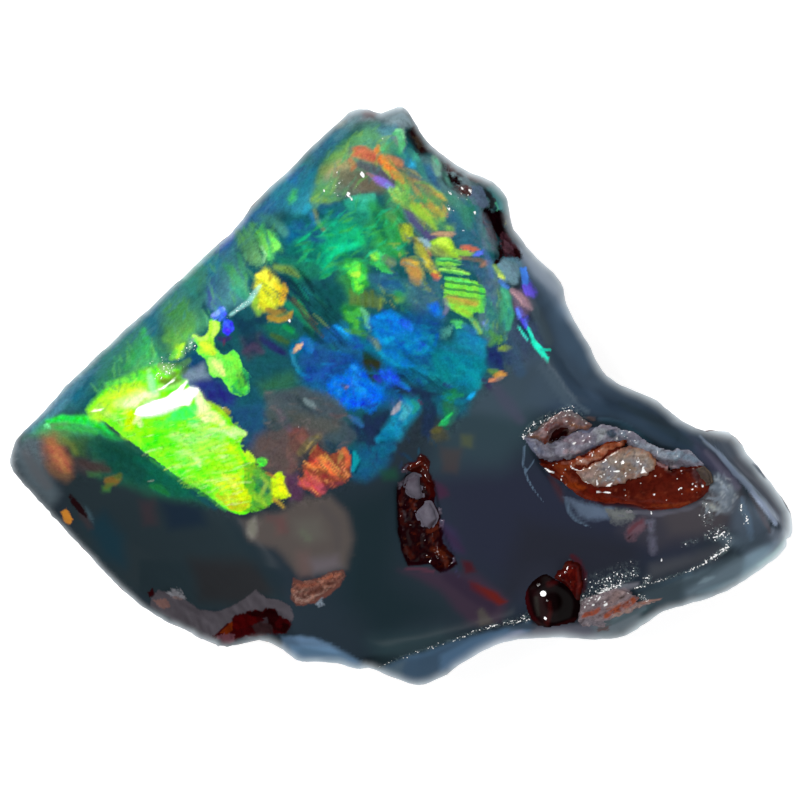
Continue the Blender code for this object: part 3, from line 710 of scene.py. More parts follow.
# Soft brush strokes over the washes and patches: colour, strength, softness in squares, shape.
strokes = [
    # upper point
    ("4f7c70", 0.6, 8, [(352, 128, 8), (372, 126, 12), (376, 140, 10)]),
    ("5a9c64", 0.7, 8, [(346, 144, 8), (368, 134, 10), (378, 138, 6)]),
    ("c06848", 0.85, 5, [(352, 152, 8), (362, 152, 14), (376, 158, 8)]),
    ("b86444", 0.8, 4, [(350, 160, 5), (354, 166, 6), (352, 170, 3)]),
    ("e88c38", 0.95, 2.5, [(376, 150, 4), (381, 158, 7), (388, 168, 11), (397, 177, 8), (404, 182, 3)]),
    ("d0903c", 0.8, 3, [(378, 146, 3), (379, 152, 4)]),
    ("b87c54", 0.8, 4, [(388, 158, 5), (400, 162, 7)]),
    ("8a9a54", 0.7, 5, [(392, 172, 4), (402, 176, 7), (410, 184, 4)]),
    ("545060", 0.8, 4, [(360, 164, 8), (374, 170, 9), (388, 178, 7), (394, 184, 4)]),
    ("6a6450", 0.6, 8, [(340, 176, 14), (360, 182, 16), (380, 188, 10)]),
    ("b87080", 0.9, 1.5, [(368, 174, 2), (374, 178, 4), (378, 182, 2)]),
    ("8870d8", 0.9, 2.5, [(374, 178, 3), (382, 183, 7), (390, 187, 7)]),
    ("80a0f0", 0.8, 2, [(386, 186, 4), (392, 190, 4)]),
    ("90d868", 0.8, 4, [(390, 190, 5), (396, 196, 10), (402, 202, 5)]),
    ("7cc850", 0.7, 5, [(398, 182, 5), (406, 188, 8), (404, 198, 7)]),
    ("6aa84c", 0.7, 7, [(402, 200, 6), (412, 208, 10), (426, 216, 12)]),
    ("9cc83c", 0.8, 4, [(412, 206, 6), (422, 212, 14), (430, 224, 8), (436, 230, 3)]),
    ("b09c3c", 0.7, 3, [(428, 204, 3), (436, 212, 7), (442, 216, 3)]),
    ("58a850", 0.7, 5, [(420, 196, 6), (428, 200, 8)]),
    ("8c7c54", 0.8, 2, [(402, 206, 2), (414, 216, 3), (424, 224, 2)]),
    ("504c78", 0.9, 3, [(404, 210, 3), (414, 220, 8), (426, 230, 11), (434, 240, 8), (438, 246, 3)]),
    ("8a7050", 0.8, 3, [(420, 184, 3), (430, 190, 5), (440, 198, 3)]),
    ("94a04c", 0.8, 2, [(426, 186, 3), (436, 192, 3), (442, 198, 2)]),
    ("6c6860", 0.7, 6, [(412, 176, 6), (422, 184, 8), (430, 196, 6)]),
    ("2c5c80", 0.7, 5, [(424, 166, 6), (430, 176, 7), (438, 188, 4)]),
    ("3a8478", 0.7, 5, [(410, 150, 6), (418, 162, 8), (424, 176, 6)]),
    ("7cb49c", 0.8, 4, [(434, 158, 6), (438, 166, 9), (438, 174, 5)]),
    ("5ccc9c", 0.7, 1.5, [(436, 160, 3), (438, 164, 2)]),
    ("5c9c8c", 0.7, 3, [(444, 174, 5), (450, 186, 4)]),
    ("3c8468", 0.7, 6, [(448, 196, 8), (464, 210, 12), (468, 226, 8)]),
    ("54c078", 0.8, 2.5, [(394, 134, 4), (400, 132, 6), (402, 144, 8), (400, 152, 4)]),
    ("8ce0a0", 0.7, 1.5, [(396, 130, 2), (402, 131, 3), (405, 138, 2)]),
    ("38946c", 0.6, 4, [(388, 140, 4), (394, 148, 7), (404, 156, 5)]),
    ("4c9450", 0.6, 7, [(316, 196, 8), (322, 190, 12), (332, 198, 8)]),
    ("84b040", 0.7, 4, [(312, 200, 4), (320, 198, 7), (330, 202, 4)]),
    ("a09060", 0.6, 6, [(322, 172, 6), (340, 164, 10), (352, 164, 6)]),
    ("749c50", 0.6, 6, [(318, 182, 5), (322, 172, 8), (334, 158, 8), (352, 152, 4)]),
    ("40b898", 0.8, 3, [(350, 198, 4), (358, 198, 8), (372, 197, 7)]),
    ("2ca884", 0.7, 5, [(354, 206, 6), (368, 206, 10)]),
    # under the point, greens and teals
    ("1c5874", 0.8, 6, [(322, 206, 8), (334, 206, 12), (346, 210, 6)]),
    ("2898b4", 0.7, 4, [(304, 212, 6), (308, 206, 6)]),
    ("2878a4", 0.7, 4, [(310, 214, 5), (316, 220, 8), (312, 226, 4)]),
    ("2f9c78", 0.7, 4, [(330, 212, 4), (324, 220, 6), (328, 228, 5)]),
    ("7c8858", 0.7, 3, [(314, 210, 3), (318, 222, 4), (324, 230, 3)]),
    ("1c5c80", 0.8, 6, [(296, 226, 10), (310, 234, 14), (322, 240, 8)]),
    ("0f6c60", 0.7, 8, [(292, 250, 10), (310, 250, 16), (326, 258, 12)]),
    ("1a8c6c", 0.7, 5, [(296, 242, 5), (306, 238, 6), (312, 232, 3)]),
    ("18a070", 0.75, 7, [(330, 222, 6), (344, 226, 14), (362, 232, 14), (372, 236, 6)]),
    ("14cc88", 0.85, 4, [(330, 264, 5), (329, 256, 10), (338, 249, 11), (350, 246, 9), (360, 242, 6)]),
    ("18b878", 0.8, 5, [(346, 236, 6), (356, 234, 12), (366, 240, 8)]),
    ("10a070", 0.7, 5, [(322, 276, 4), (330, 268, 8), (336, 258, 5)]),
    ("0c5450", 0.7, 5, [(336, 260, 6), (344, 256, 7), (352, 252, 4)]),
    ("2c9450", 0.7, 8, [(372, 206, 12), (382, 222, 22), (392, 240, 14)]),
    ("3ca848", 0.7, 6, [(380, 242, 6), (394, 246, 10), (404, 254, 5)]),
    ("206c50", 0.6, 5, [(366, 236, 5), (372, 250, 8), (366, 258, 5)]),
    ("0c5c48", 0.7, 5, [(374, 214, 5), (380, 228, 6), (386, 240, 4)]),
    ("5c8c4c", 0.6, 5, [(388, 214, 6), (396, 222, 8)]),
    ("2ca448", 0.85, 6, [(345, 268, 8), (354, 266, 20), (362, 278, 16), (358, 290, 6)]),
    ("60ec4c", 0.9, 3, [(347, 266, 4), (352, 270, 9), (357, 265, 8), (358, 278, 9), (366, 276, 4)]),
    ("78f040", 0.85, 2, [(356, 282, 4), (358, 288, 5), (362, 286, 3)]),
    ("acf848", 0.9, 2, [(354, 274, 4), (358, 274, 6)]),
    ("70e050", 0.85, 2, [(370, 254, 3), (376, 252, 5), (377, 258, 5), (372, 258, 3)]),
    ("3cb858", 0.8, 3, [(372, 262, 5), (380, 264, 8), (386, 270, 6), (392, 272, 2)]),
    ("7c8c78", 0.6, 4, [(384, 258, 6), (392, 262, 8)]),
    ("2c607c", 0.75, 5, [(370, 276, 8), (384, 280, 14), (390, 288, 8)]),
    ("1c5088", 0.7, 4, [(384, 282, 6), (396, 284, 8), (404, 290, 5)]),
    ("285c50", 0.7, 4, [(368, 290, 6), (384, 294, 8), (392, 298, 5)]),
    # green island over the blue
    ("1f7c3c", 0.8, 6, [(344, 308, 8), (352, 312, 16), (354, 326, 14), (364, 336, 8)]),
    ("48b840", 0.85, 3, [(346, 312, 4), (352, 318, 10), (358, 310, 7), (356, 328, 5)]),
    ("6cc888", 0.8, 2, [(361, 308, 3), (366, 314, 6), (368, 326, 5), (370, 332, 2)]),
    ("489c34", 0.7, 3, [(344, 330, 3), (352, 332, 6), (362, 334, 5), (372, 338, 3)]),
    ("5c8034", 0.8, 1.5, [(358, 296, 3), (358, 304, 2)]),
    ("4c6c30", 0.8, 1.5, [(366, 292, 3), (366, 306, 3)]),
    ("748c3c", 0.8, 1.2, [(380, 298, 3), (379, 310, 2)]),
    ("546c34", 0.8, 1.5, [(372, 290, 3), (373, 306, 2)]),
    # strokes running down to the right
    ("0c3448", 0.85, 2.5, [(272, 272, 3), (282, 278, 8), (292, 288, 8), (304, 302, 4), (312, 312, 1)]),
    ("0c3840", 0.8, 2, [(288, 276, 3), (300, 290, 5), (310, 304, 3)]),
    ("0a3038", 0.8, 2, [(298, 268, 2), (308, 282, 5), (314, 292, 2)]),
    ("158870", 0.7, 2, [(292, 276, 3), (302, 290, 3), (308, 300, 2)]),
    ("188860", 0.8, 3, [(284, 302, 5), (294, 308, 11), (306, 320, 8), (314, 332, 4)]),
    ("18a85c", 0.85, 1.8, [(298, 302, 3), (305, 312, 6), (309, 316, 3)]),
    ("3c3a38", 0.85, 1.8, [(284, 292, 2), (296, 306, 3), (310, 322, 4), (324, 336, 2)]),
    ("6c6040", 0.7, 1.5, [(292, 298, 2), (306, 312, 2.4), (318, 324, 2)]),
    ("5c7c4c", 0.8, 1.5, [(314, 314, 2), (322, 320, 3), (330, 328, 2)]),
    ("0c4038", 0.8, 3, [(306, 328, 5), (318, 338, 7), (330, 346, 4)]),
    ("1f8c9c", 0.6, 2, [(312, 296, 2), (304, 288, 3)]),
    ("789c44", 0.75, 3.5, [(276, 267, 4), (288, 270, 7), (298, 276, 3)]),
    ("147058", 0.7, 5, [(270, 326, 8), (282, 330, 12), (296, 334, 6)]),
    ("149850", 0.75, 3, [(284, 326, 5), (292, 330, 5)]),
    ("24245c", 0.8, 4, [(262, 338, 5), (272, 346, 8), (284, 352, 5)]),
    ("40602c", 0.75, 3, [(272, 334, 4), (280, 338, 6), (288, 342, 3)]),
    ("102c48", 0.6, 5, [(250, 322, 8), (262, 318, 10), (258, 306, 4)]),
    # yellow patch
    ("8cc440", 0.8, 5, [(256, 296, 6), (254, 304, 6), (258, 312, 5)]),
    ("f8f448", 0.9, 3, [(258, 276, 5), (266, 274, 9), (274, 282, 12), (280, 286, 5)]),
    ("f0d028", 0.85, 3, [(276, 284, 5), (282, 292, 8), (280, 302, 5)]),
    ("d8a430", 0.85, 2.5, [(284, 284, 3), (285, 290, 5), (282, 300, 4)]),
    ("a88c28", 0.8, 1.5, [(269, 272, 2), (272, 276, 4), (270, 279, 2)]),
    ("9c7c34", 0.85, 2.5, [(266, 308, 4), (274, 312, 7), (282, 310, 4)]),
    ("b88c30", 0.8, 2, [(268, 316, 4), (278, 320, 5), (288, 317, 5), (291, 312, 3)]),
    # right of the middle
    ("a8e030", 0.85, 3, [(432, 244, 4), (440, 243, 9), (448, 246, 12), (456, 256, 6), (460, 260, 3)]),
    ("d4fc50", 0.85, 2.5, [(438, 243, 4), (444, 242, 8), (448, 246, 6)]),
    ("90bc38", 0.75, 3, [(444, 248, 5), (452, 256, 6)]),
    ("c8a07c", 0.85, 1.5, [(432, 235, 2.5), (444, 234, 3), (456, 234, 2)]),
    ("90b4bc", 0.8, 2.5, [(420, 240, 3), (426, 243, 6), (430, 248, 4)]),
    ("889c34", 0.8, 4, [(401, 226, 5), (408, 228, 9), (406, 238, 8), (412, 240, 3)]),
    ("b8cc38", 0.8, 1.5, [(404, 226, 2), (408, 229, 3), (407, 235, 3), (410, 238, 2)]),
    ("b0a840", 0.75, 4, [(416, 240, 5), (422, 250, 7), (428, 262, 7), (438, 274, 3)]),
    ("d8cc3c", 0.8, 2, [(424, 258, 3), (429, 265, 6), (436, 272, 3)]),
    ("c08c48", 0.85, 4, [(404, 262, 6), (410, 264, 10), (416, 274, 12), (418, 282, 6)]),
    ("e0b040", 0.8, 2, [(408, 262, 3), (413, 264, 5), (418, 264, 3)]),
    ("98805c", 0.7, 3, [(412, 278, 6), (420, 282, 5)]),
    ("c85c48", 0.85, 1.5, [(433, 274, 3), (437, 276, 4)]),
    ("b87c58", 0.8, 2, [(428, 250, 3), (431, 256, 3)]),
    ("c0684c", 0.85, 1.5, [(461, 247, 2), (470, 247, 4), (478, 250, 2)]),
    ("88b848", 0.8, 2, [(454, 251, 4), (464, 254, 5), (474, 255, 3)]),
    ("806454", 0.75, 2, [(460, 258, 3), (474, 260, 4), (484, 262, 4)]),
    ("5868f0", 0.9, 1.5, [(474, 256, 3), (479, 253, 4), (483, 251, 2)]),
    ("a0745c", 0.8, 2.5, [(480, 266, 3), (486, 263, 6)]),
    ("345c80", 0.75, 5, [(456, 262, 4), (472, 268, 8), (484, 276, 10), (490, 288, 8)]),
    ("4870a0", 0.7, 4, [(484, 250, 4), (488, 262, 6), (492, 276, 5)]),
    ("2c7860", 0.7, 4, [(468, 200, 6), (472, 212, 6), (470, 220, 4)]),
    ("2c5c74", 0.75, 8, [(450, 218, 8), (462, 232, 12), (472, 240, 10)]),
    ("646c78", 0.7, 4, [(484, 214, 4), (490, 232, 8), (494, 248, 6)]),
    ("a0a840", 0.8, 3, [(446, 299, 6), (460, 302, 10), (474, 302, 8)]),
    ("c8a448", 0.8, 2.5, [(452, 297, 2), (464, 301, 4), (474, 304, 4)]),
    ("c89c50", 0.75, 1.5, [(446, 296, 2), (456, 297, 3)]),
    ("58e070", 0.85, 1.5, [(446, 279, 3), (458, 280, 3), (472, 284, 3)]),
    ("a4f064", 0.85, 1.5, [(440, 270, 3), (452, 270, 4), (468, 274, 2)]),
    ("58d868", 0.85, 1.5, [(438, 261, 3), (450, 261, 4), (460, 264, 2)]),
    ("54cc50", 0.8, 3, [(480, 288, 5), (483, 300, 6), (480, 310, 5)]),
    ("9ccc38", 0.8, 2.5, [(456, 309, 5), (464, 312, 6), (470, 316, 4)]),
    ("787898", 0.75, 3, [(444, 300, 4), (447, 308, 5), (444, 313, 4)]),
    ("48b868", 0.85, 2.5, [(452, 322, 3), (458, 324, 6), (464, 325, 4)]),
    ("68b058", 0.8, 2.5, [(470, 318, 4), (476, 324, 6), (480, 332, 5)]),
    ("90b450", 0.7, 2, [(474, 322, 2), (480, 332, 3)]),
    ("7c90e0", 0.8, 2, [(484, 322, 4), (488, 326, 5)]),
    ("287c74", 0.75, 6, [(486, 300, 8), (492, 316, 12), (488, 332, 10)]),
    ("3ca87c", 0.8, 3, [(503, 288, 5), (508, 298, 8), (510, 314, 9), (508, 328, 6)]),
    ("5cc088", 0.7, 2, [(502, 290, 2), (507, 296, 3), (510, 306, 2)]),
    ("4c80d8", 0.8, 2.5, [(500, 281, 4), (504, 285, 5), (508, 288, 3)]),
    ("8cb450", 0.85, 2, [(494, 266, 4), (498, 272, 5), (504, 278, 4)]),
    ("d8ec58", 0.85, 1.2, [(498, 275, 2), (503, 278, 3)]),
    ("6c8c98", 0.8, 3, [(504, 264, 10), (512, 270, 16), (514, 282, 8)]),
    ("4c8cf8", 0.9, 1.8, [(522, 269, 4), (525, 276, 6), (526, 284, 5)]),
    ("7060f0", 0.9, 1.8, [(525, 286, 4), (529, 291, 8), (534, 297, 3)]),
    ("a88490", 0.75, 2.5, [(512, 291, 4), (520, 296, 7), (528, 304, 7), (533, 309, 3)]),
    ("c8a0a4", 0.8, 1.2, [(513, 293, 1.5), (521, 300, 2), (524, 306, 1.5)]),
    ("5c7cf4", 0.85, 1.5, [(518, 309, 3), (519, 314, 4), (521, 318, 2)]),
    ("4a48e0", 0.85, 1.5, [(522, 319, 3), (526, 325, 4), (528, 329, 2)]),
    ("485860", 0.6, 6, [(532, 300, 6), (540, 318, 10), (548, 340, 10)]),
    # the blues
    ("0f70d0", 0.8, 6, [(372, 322, 10), (384, 324, 22), (398, 330, 18), (406, 338, 8)]),
    ("0c8cf4", 0.85, 3, [(376, 318, 4), (388, 314, 7), (398, 320, 8), (396, 330, 8)]),
    ("2468fc", 0.9, 3, [(402, 320, 4), (407, 325, 8), (411, 329, 4)]),
    ("14b0ec", 0.85, 2, [(380, 341, 3), (387, 340, 5), (395, 337, 3)]),
    ("0f80c8", 0.8, 4, [(398, 336, 8), (412, 342, 14), (428, 346, 10)]),
    ("10a4c8", 0.85, 2.5, [(414, 350, 3), (424, 350, 5), (431, 342, 5)]),
    ("1890a4", 0.7, 3, [(424, 334, 4), (432, 340, 5)]),
    ("18a0cc", 0.85, 2, [(376, 348, 4), (384, 355, 5), (392, 361, 4), (398, 365, 2)]),
    ("1280d0", 0.8, 3, [(384, 350, 4), (396, 358, 5), (410, 366, 5)]),
    ("10587c", 0.8, 3, [(396, 368, 4), (412, 372, 6), (428, 382, 4)]),
    ("0e4468", 0.8, 2, [(398, 374, 3), (412, 380, 4), (424, 388, 2)]),
    ("5c806c", 0.8, 3, [(368, 338, 3), (375, 342, 7), (378, 348, 6)]),
    ("88a498", 0.7, 1.5, [(373, 340, 2), (377, 346, 3)]),
    ("1c4434", 0.9, 3, [(364, 350, 3), (370, 360, 12), (374, 370, 10), (373, 379, 4)]),
    ("34341c", 0.8, 3, [(366, 362, 5), (376, 364, 7)]),
    ("0a78f8", 0.85, 4, [(334, 386, 6), (346, 384, 12), (358, 378, 16), (366, 390, 20), (376, 396, 10)]),
    ("1c9cff", 0.85, 3, [(352, 366, 4), (357, 374, 8), (354, 384, 8), (362, 390, 6)]),
    ("1060fc", 0.85, 3, [(346, 398, 6), (358, 402, 9), (370, 400, 8)]),
    ("1a34a8", 0.85, 2, [(362, 405, 3), (370, 406, 4), (376, 403, 3)]),
    ("2060fc", 0.9, 2.5, [(380, 371, 4), (388, 375, 9), (396, 380, 5)]),
    ("3040d0", 0.85, 2, [(375, 376, 4), (380, 380, 4)]),
    ("2464e0", 0.85, 2, [(398, 381, 3), (404, 386, 4), (410, 390, 2)]),
    ("34507c", 0.8, 2, [(341, 384, 3), (346, 387, 5)]),
    ("a87868", 0.8, 1.2, [(345, 387, 2), (348, 386, 2)]),
    ("1c4888", 0.8, 8, [(304, 360, 10), (322, 356, 16), (338, 362, 12)]),
    ("1c50a4", 0.75, 5, [(308, 378, 7), (320, 376, 10), (328, 368, 7)]),
    ("1c5c80", 0.7, 6, [(318, 346, 8), (340, 346, 10), (356, 352, 8)]),
    ("1c9cfc", 0.9, 1.5, [(334, 325, 2.5), (340, 329, 5), (346, 335, 4), (349, 338, 2)]),
    ("1860b0", 0.8, 2, [(349, 337, 2), (358, 344, 4), (364, 350, 2)]),
    ("2470b8", 0.85, 3, [(302, 340, 6), (309, 342, 9), (313, 348, 5)]),
    ("2884a8", 0.8, 2, [(292, 350, 3), (294, 360, 4), (299, 368, 3)]),
    ("ecb890", 0.9, 1.5, [(296, 349, 3), (300, 346, 5), (303, 343, 2)]),
    ("c8a880", 0.8, 1.2, [(294, 352, 2), (297, 350, 2)]),
    ("404c54", 0.8, 8, [(280, 400, 16), (300, 396, 18), (320, 406, 16), (340, 410, 8)]),
    ("74888c", 0.8, 2.5, [(304, 400, 4), (310, 404, 7), (314, 409, 5)]),
    ("2c3c44", 0.7, 3, [(296, 398, 3), (304, 408, 5), (318, 412, 4)]),
    ("4c5450", 0.7, 8, [(270, 416, 10), (290, 416, 14), (310, 422, 14), (336, 428, 10)]),
    ("805048", 0.7, 5, [(292, 432, 6), (300, 434, 12), (306, 442, 8)]),
    ("5c4c50", 0.7, 3, [(330, 414, 3), (338, 416, 5), (346, 414, 3)]),
    ("2c60a0", 0.8, 3, [(350, 416, 4), (356, 420, 7), (362, 426, 4)]),
    ("404c58", 0.75, 5, [(344, 424, 6), (352, 436, 10), (342, 446, 8)]),
    ("1c2c4c", 0.85, 4, [(366, 418, 8), (374, 428, 14), (372, 442, 10)]),
    ("1590b8", 0.85, 4, [(378, 440, 6), (390, 432, 12), (400, 420, 14), (406, 406, 12)]),
    ("48a8bc", 0.8, 3, [(402, 402, 5), (408, 408, 8), (402, 418, 6)]),
    ("a8a4ac", 0.85, 2, [(393, 412, 4), (397, 408, 6), (400, 402, 3)]),
    ("28a088", 0.8, 2.5, [(412, 400, 3), (417, 406, 5), (413, 412, 3)]),
    ("106080", 0.8, 4, [(368, 450, 5), (382, 452, 10), (394, 448, 6)]),
    ("1a2c48", 0.85, 5, [(424, 396, 8), (430, 410, 14), (426, 430, 12)]),
    ("501c44", 0.8, 1.5, [(418, 400, 2), (421, 404, 2)]),
    ("0c7c84", 0.8, 5, [(436, 356, 8), (444, 366, 14), (446, 382, 10)]),
    ("24b464", 0.85, 2.5, [(440, 424, 3), (446, 421, 6), (447, 416, 4), (452, 412, 2)]),
    ("34d870", 0.8, 1.2, [(442, 420, 2), (446, 417, 2), (452, 412, 1)]),
    ("5c5830", 0.8, 3, [(432, 430, 4), (438, 429, 7)]),
    ("18784c", 0.75, 4, [(446, 408, 5), (448, 398, 7), (454, 390, 5)]),
    # right end of the colours
    ("0a7c90", 0.8, 8, [(444, 356, 12), (460, 364, 24), (474, 376, 16), (472, 392, 8)]),
    ("0c94a4", 0.7, 5, [(462, 366, 6), (474, 376, 12), (478, 386, 7)]),
    ("1880b0", 0.8, 4, [(464, 336, 6), (474, 340, 10), (484, 342, 6)]),
    ("2c74b0", 0.7, 4, [(464, 326, 5), (474, 332, 6)]),
    ("1c5c7c", 0.6, 4, [(440, 346, 4), (456, 350, 6), (474, 354, 4)]),
    ("1c2c60", 0.85, 3.5, [(489, 348, 6), (496, 358, 10), (501, 368, 6)]),
    ("2c3c64", 0.7, 4, [(504, 350, 5), (509, 362, 6)]),
    ("4c9048", 0.75, 4, [(490, 332, 6), (496, 338, 8), (490, 344, 5)]),
    ("84a040", 0.8, 2.5, [(499, 349, 3), (505, 348, 6), (511, 348, 3)]),
    ("5c8c3c", 0.8, 3, [(490, 370, 4), (496, 372, 7)]),
    ("cc9444", 0.9, 2.2, [(496, 375, 4), (501, 373, 6), (505, 374, 3)]),
    ("dc8c64", 0.9, 1.5, [(491, 380, 3), (495, 379, 3)]),
    ("342c54", 0.8, 3, [(484, 380, 5), (490, 386, 6)]),
    ("18a8e8", 0.9, 2, [(468, 398, 3), (472, 395, 5), (475, 392, 2)]),
    ("14708c", 0.7, 3, [(456, 402, 5), (466, 400, 5)]),
    ("1c8854", 0.75, 3, [(446, 398, 5), (454, 395, 6), (462, 394, 4)]),
    ("24306c", 0.8, 2.5, [(444, 384, 4), (450, 386, 5)]),
    ("2c6858", 0.6, 4, [(446, 404, 6), (456, 410, 6), (450, 424, 4)]),
    ("34506c", 0.6, 6, [(508, 340, 8), (514, 356, 12), (520, 372, 10)]),
    ("48485c", 0.6, 8, [(496, 386, 10), (508, 404, 14), (520, 420, 10)]),
    ("50606c", 0.7, 2, [(532, 342, 2), (548, 364, 3), (568, 390, 3), (588, 412, 4)]),
    ("4c5c68", 0.5, 4, [(540, 366, 6), (556, 384, 10), (570, 402, 8)]),
    ("2c3c4c", 0.7, 5, [(552, 352, 6), (566, 374, 10), (586, 400, 12), (606, 412, 8)]),
    ("28f0d0", 0.9, 1.2, [(519, 327, 1.5), (524, 334, 2.5), (528, 341, 1.5)]),
    ("20f4cc", 0.95, 1.5, [(529, 329, 1.5), (532, 340, 4), (538, 348, 6), (544, 356, 4), (547, 360, 1.5)]),
    ("30e0c8", 0.9, 1.2, [(531, 332, 2), (534, 340, 2)]),
    ("20c4ac", 0.8, 1.2, [(540, 349, 2), (550, 350, 1.5)]),
    ("10304c", 0.85, 1.5, [(519, 322, 2), (526, 332, 4), (531, 341, 2)]),
    # upper left shoulder
    ("3c64ac", 0.75, 4, [(218, 252, 6), (226, 244, 9), (234, 232, 6)]),
    ("2c88a0", 0.75, 5, [(206, 262, 8), (216, 262, 12), (212, 274, 8)]),
    ("4c8870", 0.6, 5, [(194, 272, 6), (202, 276, 10), (200, 290, 6)]),
    ("3f7488", 0.7, 5, [(214, 280, 8), (222, 290, 12), (220, 302, 8)]),
    ("4c6ca8", 0.75, 3, [(211, 284, 3), (212, 296, 6), (214, 308, 5)]),
    ("5c9464", 0.7, 5, [(238, 232, 6), (244, 244, 12), (250, 258, 8)]),
    ("66b85c", 0.75, 4, [(252, 224, 5), (258, 234, 10), (262, 246, 7)]),
    ("78e060", 0.85, 2.5, [(256, 230, 3), (262, 236, 6), (266, 246, 5), (267, 256, 2)]),
    ("7cf060", 0.85, 2, [(268, 230, 3), (272, 240, 6), (277, 246, 7), (274, 250, 3)]),
    ("a8ecb0", 0.6, 1.5, [(262, 246, 2), (266, 254, 3), (264, 262, 2)]),
    ("48a870", 0.75, 4, [(225, 266, 4), (232, 272, 8), (240, 282, 6)]),
    ("44a06c", 0.75, 3, [(238, 254, 3), (242, 266, 6), (247, 278, 4)]),
    ("349c7c", 0.7, 4, [(232, 286, 5), (240, 292, 9), (246, 298, 5)]),
    ("a4e8e0", 0.6, 2, [(230, 314, 3), (238, 308, 4), (248, 301, 5), (254, 292, 5), (260, 285, 3)]),
    ("54a450", 0.7, 7, [(168, 310, 10), (180, 312, 20), (190, 324, 14), (176, 334, 12)]),
    ("64b850", 0.7, 5, [(166, 338, 8), (180, 336, 10), (190, 330, 6)]),
    ("3c8c68", 0.6, 5, [(196, 308, 6), (204, 318, 8), (202, 330, 5)]),
    ("a4ec34", 0.9, 2.5, [(178, 356, 4), (180, 348, 8), (184, 344, 4)]),
    ("6ccc40", 0.75, 3, [(172, 358, 5), (176, 350, 5)]),
    ("48d070", 0.8, 4, [(144, 330, 4), (146, 344, 9), (152, 356, 10)]),
    ("44c468", 0.7, 5, [(126, 368, 6), (136, 356, 10), (144, 348, 6)]),
    ("1f7488", 0.75, 5, [(146, 318, 6), (154, 322, 8), (154, 334, 4)]),
    ("2c8c70", 0.7, 4, [(156, 348, 4), (160, 356, 6)]),
    ("88a4ff", 0.9, 1.8, [(212, 315, 3), (216, 313, 5), (222, 309, 4)]),
    ("4464f0", 0.85, 2, [(220, 308, 3), (223, 314, 5), (219, 320, 3)]),
    ("2c38f0", 0.9, 2, [(224, 320, 4), (228, 326, 8), (227, 333, 4)]),
    ("4858ff", 0.9, 1.5, [(225, 323, 4), (228, 328, 4)]),
    ("342c68", 0.85, 2.5, [(218, 338, 3), (224, 340, 6), (230, 338, 4)]),
    ("602c48", 0.8, 1.2, [(224, 340, 2), (225, 344, 2)]),
    ("0f3c4c", 0.85, 4, [(216, 346, 5), (222, 350, 6), (230, 346, 5)]),
    ("10344c", 0.8, 6, [(236, 318, 8), (248, 330, 14), (254, 348, 10)]),
    ("4c3c58", 0.6, 5, [(244, 352, 5), (254, 346, 8), (262, 352, 5)]),
    ("c4ec60", 0.85, 2, [(213, 322, 4), (216, 328, 6), (212, 336, 4)]),
    ("d8f438", 0.85, 2.2, [(202, 344, 5), (208, 348, 8), (213, 354, 4)]),
    ("c0f060", 0.8, 2, [(194, 336, 3), (200, 340, 4), (206, 338, 4)]),
    ("e8f090", 0.8, 1.8, [(214, 362, 4), (220, 368, 7), (224, 374, 4)]),
    ("7cf040", 0.85, 2.5, [(226, 358, 4), (234, 358, 7), (238, 368, 6), (242, 380, 6), (246, 388, 4)]),
    ("54d838", 0.8, 2.5, [(232, 376, 4), (238, 386, 6), (244, 392, 4)]),
    # the lime flash
    ("b8f030", 0.8, 6, [(96, 416, 14), (110, 402, 20), (124, 392, 18), (138, 388, 12)]),
    ("d4fc34", 0.7, 4, [(110, 398, 5), (126, 392, 8), (142, 392, 6)]),
    ("8cc050", 0.6, 3, [(92, 414, 5), (100, 406, 6), (108, 416, 6)]),
    ("70f050", 0.75, 4, [(108, 384, 5), (124, 380, 7), (140, 376, 8), (150, 380, 8)]),
    ("a0f890", 0.7, 3, [(148, 370, 4), (150, 380, 6), (152, 390, 5)]),
    ("78a028", 0.8, 3, [(160, 378, 5), (168, 382, 7), (176, 380, 5)]),
    ("84986c", 0.7, 3, [(160, 366, 7), (168, 370, 10), (174, 374, 5)]),
    ("50843c", 0.7, 3, [(172, 366, 6), (182, 366, 8), (190, 360, 5)]),
    ("a8f078", 0.7, 4, [(160, 388, 6), (174, 386, 8), (186, 382, 5)]),
    ("d4fc08", 0.85, 3, [(128, 408, 5), (130, 418, 8), (126, 428, 6)]),
    ("94fc10", 0.75, 5, [(124, 434, 8), (138, 436, 12), (150, 432, 8)]),
    ("58fc14", 0.8, 6, [(146, 444, 10), (164, 440, 18), (176, 452, 14)]),
    ("38fc60", 0.8, 5, [(176, 414, 8), (188, 414, 14), (196, 422, 8)]),
    ("50fc40", 0.7, 5, [(158, 424, 8), (172, 424, 10)]),
    ("e4ffcc", 0.85, 3, [(197, 392, 5), (200, 402, 8), (204, 412, 6)]),
    ("f4fca0", 0.85, 4, [(202, 414, 7), (212, 416, 12), (222, 422, 7)]),
    ("dcffa0", 0.8, 3, [(222, 426, 5), (232, 430, 9), (244, 434, 6)]),
    ("a0d424", 0.85, 2, [(208, 402, 3), (218, 408, 5), (226, 416, 4)]),
    ("b0a82c", 0.8, 1.5, [(224, 408, 3), (229, 413, 4)]),
    ("a4fc80", 0.7, 6, [(174, 436, 8), (190, 440, 14), (206, 438, 10)]),
    ("80ff60", 0.6, 6, [(180, 456, 10), (196, 462, 12)]),
    ("e8ffb8", 0.6, 2.5, [(188, 454, 3), (196, 458, 5), (200, 466, 3)]),
    ("b4fc20", 0.7, 6, [(208, 446, 8), (222, 450, 14), (236, 446, 8)]),
    ("d0ff14", 0.75, 4, [(224, 444, 5), (234, 450, 9), (240, 460, 6)]),
    ("a4f80c", 0.7, 5, [(214, 466, 8), (230, 468, 12), (242, 466, 6)]),
    ("e8fc0c", 0.85, 5, [(222, 484, 8), (232, 482, 18), (240, 494, 12), (234, 504, 6)]),
